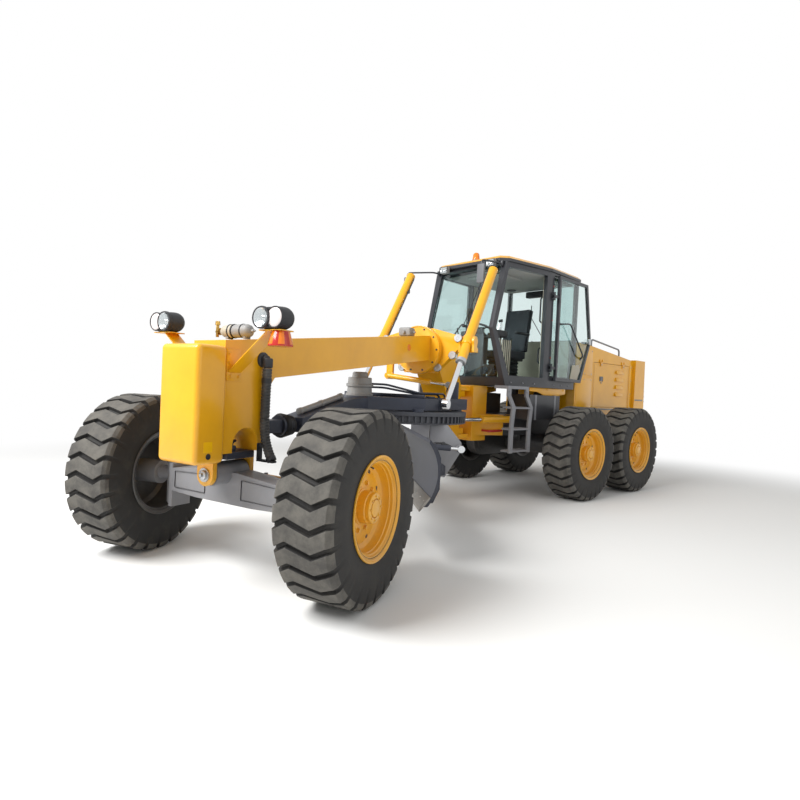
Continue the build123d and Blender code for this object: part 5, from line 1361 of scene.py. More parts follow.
@dataclass
class Saddle:
    """Pin caps, bolts and small fittings on the lift saddle and its disc."""

    arm_y: float = 3.0603
    disc_y: float = 2.98

    def build(self) -> Pieces:
        """Makes the saddle's small pieces.

        Returns:
            The pieces.
        """
        caps = Stock()
        for x, z in ((0.505, 2.135), (0.25, 1.775), (0.44, 1.93)):
            caps.disc(
                (x, self.arm_y, z), (0, -1, 0), ((-0.002, 0.05), (0.014, 0.05), (0.02, 0.044),
                (0.02, 0.02), (0.016, 0.016)),
            )
        caps.mirrored()
        bolts = Stock()
        for index in range(10):
            angle = math.radians(18 + 36 * index)
            spot = (0.262 * math.sin(angle), self.disc_y, 1.99 + 0.262 * math.cos(angle))
            bolts.bolt(spot, (0, -1, 0), 0.01)
        rim = Stock().turned((0, self.disc_y, 1.99), (0, -1, 0), (
            (-0.001, 0.285), (0.006, 0.286), (0.008, 0.292), (0.006, 0.298), (-0.001, 0.299),
        ), 72)
        mark = Stock().turned((0.17, 2.45, 1.973), (1, 0, 0), (
            (0, 0), (0.006, 0), (0.005, 0.03), (0.002, 0.038), (0, 0.038),
        )).mirrored()
        valve = Stock().box((-0.12, 2.69, 2.133), (0.04, 2.83, 2.238), 0.022, 4)
        valve.rod((-0.04, 2.69, 2.18), (-0.04, 2.66, 2.18), 0.02)
        valve.rod((0.03, 2.76, 2.18), (0.075, 2.76, 2.18), 0.014)
        # The slots are thin black sheets on the arm's face: painted shade in place of openings.
        slots = Stock()
        for shift in (0, 0.055):
            slots.box((0.16 + shift, 3.0595, 1.828), (0.178 + shift, 3.0605, 1.872))
        return [
            caps.done("saddle_pin_caps", AHEAD, ZINC), bolts.done("saddle_bolts", AHEAD, BLACK_PAINT),
            rim.done("saddle_rim", AHEAD, YELLOW), mark.done("beam_reflectors", AHEAD, AMBER_LENS),
            valve.done("saddle_valve", AHEAD, PALE_GREY),
            slots.mirrored().done("saddle_slots", AHEAD, BLACK_PAINT),
        ]


@dataclass
class LiftCylinder:
    """The gland, caps and pipes of one lift cylinder, along its parked line."""

    side: Side
    trunnion: Axis3 = (0.61, 3.11, 2.1)
    eye: Axis3 = (0.61, 2.56, 1.345)
    radius: float = 0.058

    def build(self) -> Pieces:
        """Makes the fittings of the barrel and of the rod's eye.

        Returns:
            The pieces.
        """
        sign = self.side.value
        word = self.side.word
        centre = Vector((self.trunnion[0] * sign, *self.trunnion[1:]))
        eye = Vector((self.eye[0] * sign, *self.eye[1:]))
        way = (eye - centre).normalized()
        low = centre + way * 0.33
        high = centre - way * 1.25
        gland = Stock().turned(low, way, (
            (-0.045, 0.057), (-0.045, 0.063), (-0.004, 0.063), (0, 0.059), (0.006, 0.05), (0.006, 0.0335),
            (-0.045, 0.0335),
        ))
        cap = Stock().disc(high, -way, ((-0.03, 0.06), (0, 0.06), (0.006, 0.054)))
        cap.disc(centre, way, ((-0.06, 0.068), (-0.05, 0.072), (0.05, 0.072), (0.06, 0.068)))
        pipe = Stock()
        across = Vector((-sign, 0, 0))
        off = across * (self.radius + 0.014)
        a, b = high + way * 0.06, centre - way * 0.09
        pipe.pipe([a + across * 0.052, a + off, b + off], 0.008, 0.02)
        for share in (0.25, 0.7):
            spot = a.lerp(b, share) + off - across * 0.004
            pipe.rod(spot - way * 0.01, spot + way * 0.01, 0.014, sides=16)
        return [
            gland.done(f"lift_gland_{word}", Stand(FRONT, f"lift_barrel_{word}"), ZINC),
            cap.done(f"lift_cap_{word}", Stand(FRONT, f"lift_barrel_{word}"), YELLOW),
            pipe.done(f"lift_pipe_{word}", Stand(FRONT, f"lift_barrel_{word}"), BLACK_PAINT),
        ]


@dataclass
class AxleFittings:
    """Caps, bolts and ribs on the front axle."""

    def build(self) -> Pieces:
        """Makes the axle's small pieces.

        Returns:
            The pieces.
        """
        caps = Stock()
        for z, way in ((0.79, 1), (0.43, -1)):
            caps.disc((KINGPIN_X, 0, z), (0, 0, way), ((0, 0.052), (0.01, 0.052), (0.014, 0.046)), 32)
            caps.bolts((KINGPIN_X, 0, z + way * 0.012), (0, 0, way), 0.034, 3, 0.008)
        caps.mirrored()
        web = Stock()
        for y, push in ((-0.15, -0.008), (0.04, 0.004)):
            corners = ((0.2, 0.6), (0.56, 0.6), (0.56, 0.735), (0.2, 0.75))
            web.frame([(x, y, z) for x, z in corners], 0.02, (0, push, 0))
        web.turned((0, -0.285, 0.79), (0, -1, 0), ((0, 0.06), (0, 0.088), (0.006, 0.084), (0.006, 0.064)))
        web.mirrored()
        return [
            caps.done("kingpin_caps", Stand(FRONT, "front_axle"), GREY),
            web.done("axle_ribs", Stand(FRONT, "front_axle"), GREY),
        ]


# The drawbar, the circle and the blade


@dataclass
class Drawbar:
    """The drive box that turns the circle, its pipe, and fittings on the drawbar."""

    drive: Pair = (-0.11, 1.88)
    base_z: float = 1.4003

    def build(self) -> Pieces:
        """Makes the drive and the fittings.

        Returns:
            The pieces.
        """
        x, y = self.drive
        z = self.base_z
        stock = Stock().disc(
            (x, y, z), (0, 0, 1), ((0, 0.15), (0.022, 0.15), (0.026, 0.138), (0.094, 0.132), (0.1, 0.148),
            (0.122, 0.148), (0.128, 0.132), (0.196, 0.128), (0.2, 0.118)), 48,
        )
        stock.disc((x, y, z + 0.199), (0, 0, 1), ((0, 0.088), (0.048, 0.084), (0.06, 0.07)))
        stock.bolts((x, y, z + 0.122), (0, 0, 1), 0.139, 12, 0.009)
        stock.bolts((x, y, z + 0.022), (0, 0, 1), 0.143, 12, 0.007)
        tube = [(0, along_y, self.pipe_z(along_y)) for along_y in (0.72, 1.39)]
        stock.rod(*tube, 0.028, round_by=0.006)
        for share in (0.04, 0.5, 0.96):
            a, b = Vector(tube[0]), Vector(tube[1])
            spot = a.lerp(b, share)
            way = (b - a).normalized()
            stock.disc(spot, way, ((-0.018, 0.033), (0.018, 0.033)), 24)
        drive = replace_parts(
            stock.done("circle_drive_box", Stand(FRONT, "drawbar"), PALE_GREY), "circle_drive",
        )
        fixings = Stock()
        for sign in (-1, 1):
            for along_y in (2.3, 2.62, 2.94):
                fixings.bolts((sign * 0.46, along_y, 1.4), (0, 0, 1), 0.03, 4, 0.012)
            fixings.rod((sign * 0.46, 2.46, 1.4), (sign * 0.46, 2.46, 1.424), 0.055, round_by=0.004)
        fixings.box((-0.52, 2.18, 1.4), (0.52, 2.215, 1.44), 0.004)
        fixings.pipe([
            (-0.06, 1.95, 1.5), (0.1, 2.05, 1.5), (0.4, 2.24, 1.445), (0.4, 2.78, 1.445), (0.4, 2.84, 1.399),
        ], 0.012, 0.04)
        fixings.pipe(
            [(-0.05, 1.93, 1.535), (0.12, 2.06, 1.535), (0.44, 2.24, 1.455), (0.44, 2.86, 1.455),
            (0.44, 2.92, 1.399)], 0.012, 0.04,
        )
        made = fixings.done("drawbar_fixings", Stand(FRONT, "drawbar"), SLATE)
        return [drive, made]

    def pipe_z(self, y: float) -> float:
        """Height of the feed pipe's middle over the drawbar's sloping top."""
        slope = (1.37 - 1.2) / (1.4 - 0.64)
        return 1.2 + slope * (y - 0.64) + 0.0283 * math.sqrt(1 + slope * slope)


@dataclass
class Circle:
    """The toothed circle with its guard, and the two grey legs."""

    radius: float = 0.78
    bore: float = 0.65
    low_z: float = 1.125
    high_z: float = 1.255
    teeth: int = 72
    leg_x: float = 0.64
    leg_t: float = 0.04
    leg: tuple = (
        (0.25, 1.126), (0.44, 1.126), (0.6, 0.94), (0.6, 0.85), (0.43, 0.56), (0.29, 0.58), (0.25, 0.72),
    )

    def ring(self) -> Piece:
        """The ring: two turned flanges with the teeth between them.

        Returns:
            The piece.
        """
        upright = facing((0, CIRCLE_CENTRE.y, 0), (0, 0, 1))
        low, high, out, bore = self.low_z, self.high_z, self.radius, self.bore
        stock = Stock().lathe((
            (low, bore), (low, out - 0.012), (low + 0.004, out - 0.004), (low + 0.014, out - 0.004),
            (low + 0.018, out - 0.03), (high - 0.046, out - 0.03), (high - 0.042, out - 0.001),
            (high - 0.004, out), (high, out - 0.006), (high, bore), (high - 0.004, bore),
        ), upright, 120)
        work = bmesh.new()
        step = math.tau / self.teeth
        for index in range(self.teeth):
            turn = Matrix.Translation((0, CIRCLE_CENTRE.y, 0)) @ Matrix.Rotation(step * index, 4, "Z")
            made = bmesh.ops.create_cube(
                work, size=1.0, matrix=turn
                @ Matrix.Translation((out - 0.024, 0, (low + high) / 2 - 0.014))
                @ Matrix.Diagonal((0.036, 0.032, high - low - 0.06, 1.0)),
            )
            outer = [
                v for v in made["verts"]
                if (v.co - Vector((0, CIRCLE_CENTRE.y, v.co.z))).length > out - 0.02
            ]
            for vert in outer:
                side = turn.inverted() @ vert.co
                side.y *= 0.55
                vert.co = turn @ side
        stock.take(work)
        return stock.done("circle_ring", Stand(BLADE, "circle"), CIRCLE_PAINT, smooth=30)

    def legs(self) -> Piece:
        """Both legs with their pins and pin caps, and the plates under the ring.

        Returns:
            The piece.
        """
        y0 = CIRCLE_CENTRE.y
        stock = Stock()
        for sign in (-1, 1):
            inner = sign * self.leg_x - self.leg_t / 2
            outline = [(inner, y0 + y, z) for y, z in self.leg]
            stock.plate(outline, (self.leg_t, 0, 0), 0.003)
            outer = sign * (self.leg_x + self.leg_t / 2)
            tip = outer + sign * (self.leg_t + 0.005)
            stock.rod((outer - sign * 0.001, y0 + 0.35, 0.64), (tip, y0 + 0.35, 0.64), 0.03, round_by=0.003)
            stock.disc(
                (outer - sign * self.leg_t, y0 + 0.35, 0.64), (-sign, 0, 0),
                ((0, 0.052), (0.01, 0.052), (0.014, 0.046)), 28,
            )
            stock.plate(
                [(sign * 0.622, y0 + 0.262, 1.1255), (sign * 0.622, y0 + 0.438, 1.1255),
                (sign * 0.47, y0 + 0.35, 1.1255)], (0, 0, -0.02),
            )
        stock.rod((self.leg_x, y0 + 0.575, 0.88), (0.7247, y0 + 0.575, 0.88), 0.038, round_by=0.003)
        return stock.done("circle_legs", Stand(BLADE, "circle"), GREY)

    def slots(self) -> Piece:
        """The curved slot in each leg as a black inlay, painted shade in place of an opening, with its bolt.

        Returns:
            The piece.
        """
        y0 = CIRCLE_CENTRE.y
        stock = Stock()
        for sign in (-1, 1):
            face = sign * (self.leg_x + self.leg_t / 2)
            slot = Stock()
            for index in range(9):
                a, b = (math.radians(58 + 6.5 * (index + part)) for part in (0, 1.15))
                spots = [(0, y0 + 0.35 + 0.29 * math.cos(t), 0.64 + 0.29 * math.sin(t)) for t in (a, b)]
                slot.rod(spots[0], spots[1], 0.0105, sides=8)
            flat = Matrix.Translation((face, 0, 0)) @ Matrix.Diagonal((0.12, 1, 1, 1))
            stock.take(slot.moved(flat).bm)
            stock.bolt((face, y0 + 0.4, 0.921), (sign, 0, 0), 0.02)
        return stock.done("circle_leg_slots", Stand(BLADE, "circle"), BLACK_PAINT)

    def build(self) -> Pieces:
        """Makes the circle in place of its plain solid.

        Returns:
            The pieces.
        """
        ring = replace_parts(self.ring(), "circle")
        return [ring, self.legs(), self.slots()]


@dataclass
class Blade:
    """The curved moldboard, its slide rails and its bolted cutting edge."""

    half: float = 1.83
    rise: float = 0.2875
    curve_r: float = 0.46
    thick: float = 0.024
    middle_z: float = 0.7925
    back_y: float = 2.71
    shift: float = 0.1
    steps: int = 28
    edge_h: float = 0.15
    edge_below: float = 0.055
    edge_t: float = 0.019
    bolts: int = 22

    def place(self) -> Matrix:
        """From a blade centred on the circle to the parked one."""
        return BLADE @ Matrix.Translation((self.shift, 0, 0))

    def board(self) -> Piece:
        """The rolled plate, its back rails and its end bracket.

        Returns:
            The piece.
        """
        bm = bmesh.new()
        centre = Vector((0, self.back_y - self.curve_r, self.middle_z))
        outer, inner = self.curve_r, self.curve_r - self.thick
        reach = [math.asin(self.rise / r) for r in (outer, inner)]
        spots = [
            (-self.half, centre.y + r * math.cos(a), centre.z - r * math.sin(a))
            for r, a in zip((outer, inner), reach)
        ]
        a, b = (bm.verts.new(p) for p in spots)
        c, d = (bm.verts.new((self.half, p[1], p[2])) for p in reversed(spots))
        start = bm.faces.new((a, b, c, d))
        bmesh.ops.spin(
            bm, geom=[start], cent=centre, axis=(1, 0, 0), angle=2 * reach[0], steps=self.steps,
            use_merge=False, use_duplicate=False,
        )
        bmesh.ops.remove_doubles(bm, verts=bm.verts, dist=1e-6)
        bmesh.ops.recalc_face_normals(bm, faces=bm.faces)
        low = self.middle_z - self.rise
        for vert in bm.verts:
            vert.co.z = min(max(vert.co.z, low), self.middle_z + self.rise)
        stock = Stock(bm)
        for step in (-0.15, 0.15):
            z = self.middle_z + step
            near = centre.y + math.sqrt(outer ** 2 - 0.15 ** 2) - self.thick / 2
            stock.box((-1.4, near, z - 0.015), (1.4, self.back_y + 0.045, z + 0.015), 0.003)
        stock.box(
            (1.43, self.back_y - self.thick / 2, self.middle_z - 0.034),
            (1.47, self.back_y + 0.094, self.middle_z + 0.034), 0.005,
        )
        for x in (-self.half + 0.012, self.half - 0.036):
            ends = [(x, centre.y + (outer + 0.02) * math.cos(t), centre.z + (outer + 0.02) * math.sin(t))
                    for t in (-0.56, -0.28, 0, 0.28, 0.56)]
            ends += [(x, y - 0.03, z) for _, y, z in reversed(ends)]
            corners = [(px, min(py, self.back_y), pz) for px, py, pz in ends]
            stock.plate(corners, (0.024, 0, 0), 0.002)
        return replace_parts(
            stock.done("blade_board", Stand(self.place(), "blade"), SLATE, smooth=25), "moldboard",
        )

    def edges(self) -> Pieces:
        """The cutting edge in lengths, the end bits and their bolts.

        Returns:
            The pieces.
        """
        centre = Vector((0, self.back_y - self.curve_r, self.middle_z))
        inner = self.curve_r - self.thick
        lean = math.asin(self.rise / inner)
        down = Vector((0, -math.sin(lean), -math.cos(lean)))
        ahead = Vector((0, -math.cos(lean), math.sin(lean)))
        foot = Vector((0, centre.y + inner * math.cos(lean), self.middle_z - self.rise))
        steel = Stock()
        lengths = ((-self.half, -0.918), (-0.914, -0.002), (0.002, 0.914), (0.918, self.half))
        for x0, x1 in lengths:
            top, low = foot + down * (self.edge_below - self.edge_h), foot + down * self.edge_below
            corners = [
                top, low - down * 0.001, low + ahead * 0.006, low + ahead * self.edge_t - down * 0.022,
                top + ahead * self.edge_t,
            ]
            steel.plate([(x0, p.y, p.z) for p in corners], (x1 - x0, 0, 0), 0.001)
        heads = Stock()
        pitch = 2 * self.half / self.bolts
        for index in range(self.bolts):
            x = -self.half + pitch * (index + 0.5)
            spot = foot + down * (self.edge_below - self.edge_h * 0.62) + ahead * self.edge_t
            heads.turned((x, spot.y, spot.z), ahead, ((0, 0), (0, 0.014), (0.004, 0.011), (0.005, 0)), 14)
            back = foot + down * (self.edge_below - self.edge_h * 0.62) - ahead * 0.004
            heads.bolt((x, back.y, back.z), -ahead, 0.011)
        return [
            steel.done("blade_cutting_edge", Stand(self.place(), "blade"), WORN_STEEL),
            heads.done("blade_edge_bolts", Stand(self.place(), "blade"), WORN_STEEL),
        ]

    def carrier(self) -> Piece:
        """Glands and clamps on the carrier and its shift barrel.

        Returns:
            The piece.
        """
        stock = Stock()
        y, z = self.back_y + 0.06, self.middle_z
        for x, way in ((-0.705, -1), (0.72, 1)):
            stock.turned(
                (x, y, z), (way, 0, 0), ((-0.04, 0.03), (-0.04, 0.041), (-0.002, 0.041), (0.004, 0.036),
                (0.004, 0.0185 if way > 0 else 0.0), (-0.04, 0.0185 if way > 0 else 0.0)), 28,
            )
        for sign in (-1, 1):
            stock.turned((sign * 0.705, CIRCLE_CENTRE.y + 0.35, 0.64), (sign, 0, 0), (
                (0, 0.031), (0, 0.056), (0.01, 0.056), (0.014, 0.05), (0.014, 0.031),
            ), 32)
            for rise in (-0.15, 0.15):
                for part in (-0.04, 0.04):
                    stock.bolt((sign * 0.705, self.back_y + 0.075, z + rise + part), (sign, 0, 0), 0.011)
        return stock.done("carrier_fittings", Stand(BLADE, "blade_carrier"), SLATE)

    def build(self) -> Pieces:
        """Makes the blade and what fastens it.

        Returns:
            The pieces.
        """
        return [self.board(), *self.edges(), self.carrier()]


# The cab


@dataclass
class Cab:
    """The cab's lining, seals, wipers and small fittings round its welded shell."""

    floor_z: float = 1.7003
    roof_z: float = 3.24
    wide_y: float = 5.37
    wide: float = 0.72
    front: Pair = (4.18, 0.6)
    knee: Pair = (4.18, 2.376)
    foot: Pair = (4.49, 1.6)
    head: Pair = (4.4, 3.3)
    rear: Pair = (6.29, 0.64)

    def half(self, y: float) -> float:
        """Half the cab's width at a station along it."""
        middle = (self.wide_y, self.wide)
        (y0, x0), (y1, x1) = (self.front, middle) if y < self.wide_y else (middle, self.rear)
        return x0 + (x1 - x0) * (y - y0) / (y1 - y0)

    def plan(self, stations: Sequence[float], inset: float, z: float) -> list[Axis3]:
        """The cab's outline in plan, drawn in by an inset, at a height."""
        right = [(self.half(y) - inset, y, z) for y in stations]
        return right + [(-x, y, z) for x, y, z in reversed(right)]

    def lining(self) -> Pieces:
        """Headliner, floor mat, rear trim and the door posts' covers.

        Returns:
            The pieces.
        """
        roof = Stock().plate(
            self.plan((4.585, 5.37, 6.215), 0.064, self.roof_z - 0.014), (0, 0, 0.0135), 0.004,
        )
        roof.box((-0.3, 4.7, 3.195), (0.3, 5.25, 3.2275), 0.02, 3)
        mat = Stock().plate(self.plan((4.56, 5.37, 6.215), 0.066, self.floor_z), (0, 0, 0.014), 0.003)
        for index in range(9):
            y = 4.72 + 0.045 * index
            mat.box((-0.42, y, self.floor_z + 0.013), (0.42, y + 0.018, self.floor_z + 0.019), 0.002, 1)
        trim = Stock().box((0.63, 5.3, 1.73), (0.6505, 5.455, 3.215), 0.006)
        trim.box((0.625, 5.315, 1.8), (0.6315, 5.44, 2.35), 0.01)
        trim.mirrored()
        trim.box((-0.56, 6.195, 1.72), (0.56, 6.2285, 2.37), 0.012)
        speakers = Stock()
        for x in (-0.38, 0.38):
            speakers.turned((x, 5.95, 3.2265), (0, 0, -1), (
                (0, 0), (0.01, 0), (0.014, 0.05), (0.01, 0.078), (0, 0.082),
            ))
        speakers.box((-0.2, 6.1, 3.1), (0.15, 6.2, 3.2), 0.012)
        grips = Stock()
        for sign in (-1, 1):
            for low, high in ((2.55, 2.95), (1.95, 2.2)):
                x = sign * 0.63
                grips.pipe(
                    [(x, 5.33, low), (x - sign * 0.045, 5.33, low + 0.03),
                    (x - sign * 0.045, 5.33, high - 0.03), (x, 5.33, high)], 0.012, 0.02,
                )
        return [
            roof.done("cab_headliner", BEHIND, LINER), mat.done("cab_floor_mat", BEHIND, BLACK_RUBBER),
            trim.done("cab_trim", BEHIND, CREAM), speakers.done("cab_speakers", BEHIND, TRIM),
            grips.done("cab_grips", BEHIND, TRIM),
        ]

    def slope(self, z: float) -> float:
        """Where the front pillar's face stands at a height."""
        (knee_y, knee_z), (end_y, end_z) = self.knee, self.foot if z < self.knee[1] else self.head
        return knee_y + (end_y - knee_y) * (z - knee_z) / (end_z - knee_z)

    def seals(self) -> Piece:
        """Rubber round the windscreen, the side panes and the rear pane.

        Returns:
            The piece.
        """
        stock = Stock()
        for low, high in ((1.7203, 2.37), (2.382, 3.2647)):
            y0, y1 = self.slope(low) + 0.012, self.slope(high) + 0.012
            stock.frame(
                [(-0.5397, y0, low), (0.5397, y0, low), (0.5397, y1, high), (-0.5397, y1, high)], 0.02,
                (0, 0.01, 0),
            )
        y = 6.258
        stock.frame(
            [(-0.5797, y, 2.3803), (0.5797, y, 2.3803), (0.5797, y, 3.2647), (-0.5797, y, 3.2647)], 0.02,
            (0, 0.014, 0),
        )
        for sign in (-1, 1):
            pane = [(5.476, 1.7822), (6.224, 1.7822), (6.224, 3.264), (5.476, 3.264)]
            stock.frame([(sign * (self.half(y) - 0.02), y, z) for y, z in pane], 0.022, (sign * 0.012, 0, 0))
        return stock.done("cab_seals", BEHIND, BLACK_RUBBER)

    def wipers(self) -> Piece:
        """The windscreen's two wipers and the rear one.

        Returns:
            The piece.
        """
        stock = Stock()
        for x, top in ((0.1, 3.05), (-0.16, 2.3)):
            low_z = 2.42 if top > 2.4 else 1.8
            y0, y1 = self.slope(low_z) - 0.012, self.slope(top) - 0.012
            stock.rod((x, y0 - 0.006, low_z), (x, y0 + 0.024, low_z), 0.022, round_by=0.004)
            stock.rod((x, y0, low_z), (x + 0.16, y1, top), 0.006)
            mid = Vector((x + 0.16, y1, top))
            way = Vector((0.02, self.slope(top) - self.slope(top - 0.4), 0.4)).normalized()
            stock.rod(mid - way * 0.28, mid + way * 0.1, 0.008)
        stock.rod((0.05, 6.292, 2.42), (0.05, 6.312, 2.42), 0.02)
        stock.rod((0.05, 6.3, 2.42), (-0.2, 6.296, 2.8), 0.006)
        stock.rod((-0.2, 6.294, 2.6), (-0.2, 6.294, 3.0), 0.007)
        return stock.done("cab_wipers", BEHIND, TRIM)

    def sill(self) -> Piece:
        """Grey tread strips and bolts on the sills under the doors.

        Returns:
            The piece.
        """
        stock = Stock()
        for index in range(8):
            y = 4.64 + 0.075 * index
            stock.box((self.half(y) - 0.056, y, 1.7), (self.half(y) - 0.006, y + 0.03, 1.7035), 0.001, 1)
        for y in (4.6, 4.85, 5.1, 5.6, 5.85, 6.1):
            stock.bolt((self.half(y) - 0.001, y, 1.65), (1, 0, 0), 0.011)
        return stock.mirrored().done("cab_sills", BEHIND, GREY)

    def posts(self) -> Piece:
        """The door posts' small red caps.

        Returns:
            The piece.
        """
        stock = Stock()
        for z in (2.05, 2.6, 3.1):
            stock.turned((self.half(5.44) - 0.001, 5.455, z), (1, 0, 0), (
                (0, 0), (0.004, 0), (0.003, 0.01), (0, 0.012),
            ), 16)
        return stock.mirrored().done("post_caps", BEHIND, RED_LENS)

    def build(self) -> Pieces:
        """Makes everything fixed inside and round the cab.

        Returns:
            The pieces.
        """
        return [*self.lining(), self.seals(), self.wipers(), self.sill(), self.posts()]


@dataclass
class Seat:
    """The operator's seat: cushions on a pleated, sprung base."""

    y: float = 5.05
    floor: float = 1.7003
    half: float = 0.22

    def pad(self, name: str, low: Axis3, high: Axis3, lean: float, crown: float, flutes: int) -> Piece:
        """A crowned cushion with sewn flutes, made from a box.

        Args:
            name: the piece's name.
            low: lowest corner before it leans.
            high: highest corner before it leans.
            lean: backward lean in degrees about its lower rear edge.
            crown: how far its faces swell.
            flutes: sewn channels across its face.

        Returns:
            The cushion.
        """
        a, b = Vector(low), Vector(high)
        middle, size = (a + b) / 2, b - a
        bm = bmesh.new()
        bmesh.ops.create_cube(bm, size=2.0)
        bmesh.ops.subdivide_edges(bm, edges=bm.edges[:], cuts=15, use_grid_fill=True)
        bmesh.ops.smooth_vert(
            bm, verts=bm.verts, factor=0.5, use_axis_x=True, use_axis_y=True, use_axis_z=True,
        )
        long_axis = 2 if size.z > size.y else 1
        thin_axis = 1 if long_axis == 2 else 2
        for vert in bm.verts:
            p = vert.co.copy()
            ring = max(0.0, 1 - abs(p.x) ** 4) * max(0.0, 1 - abs(p[long_axis]) ** 4)
            swell = 1 + crown * ring / (size[thin_axis] / 2)
            seam = 0.0
            if flutes and abs(p.x) < 0.72:
                wave = abs(math.sin(math.pi * flutes * (p[long_axis] + 1) / 2))
                seam = 0.01 * (1 - wave) ** 3 / (size[thin_axis] / 2)
            p[thin_axis] *= swell * 0.86 - seam
            p.x *= 1 - 0.035 * (1 - p[long_axis] ** 2)
            vert.co = Vector((p.x * size.x / 2, p.y * size.y / 2, p.z * size.z / 2))
        hinge = Vector((0, size.y / 2, -size.z / 2))
        turn = Matrix.Translation(middle + hinge) @ Matrix.Rotation(
            math.radians(-lean), 4, "X",
        ) @ Matrix.Translation(-hinge)
        bmesh.ops.transform(bm, matrix=turn, verts=bm.verts)
        piece = Stock(bm).done(name, BEHIND, SEAT_CLOTH, smooth=80)
        return piece

    def build(self) -> Pieces:
        """Makes the cushions, the base and the rests.

        Returns:
            The pieces.
        """
        y, z, w = self.y, self.floor, self.half
        base = self.pad("seat_cushion", (-w, y, z + 0.33), (w, y + 0.5, z + 0.455), 0, 0.016, 3)
        back = self.pad("seat_back", (-w, y + 0.455, z + 0.45), (w, y + 0.56, z + 1.115), 9.5, 0.014, 5)
        frame = Stock().box((-0.205, y + 0.03, z + 0.3), (0.205, y + 0.47, z + 0.345), 0.012)
        frame.box((-0.18, y + 0.06, z + 0.01), (0.18, y + 0.42, z + 0.05), 0.008)
        for fold in range(5):
            low = z + 0.052 + fold * 0.05
            frame.box((-0.172, y + 0.068, low), (0.172, y + 0.412, low + 0.03), 0.014, 3)
            frame.box((-0.158, y + 0.082, low + 0.026), (0.158, y + 0.398, low + 0.054), 0.004)
        arms = Stock()
        for sign in (-1, 1):
            x = sign * 0.252
            arms.pipe(
                [(sign * 0.205, y + 0.5, z + 0.47), (x, y + 0.5, z + 0.6), (x, y + 0.5, z + 0.7)], 0.012,
                0.03,
            )
            arms.box(
                (min(x - 0.026, x + 0.026), y + 0.17, z + 0.7),
                (max(x - 0.026, x + 0.026), y + 0.52, z + 0.742), 0.016, 3,
            )
        return [
            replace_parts(frame.done("seat_base", BEHIND, BLACK_RUBBER), "operator_station"),
            base, back, arms.done("seat_arms", BEHIND, TRIM),
        ]


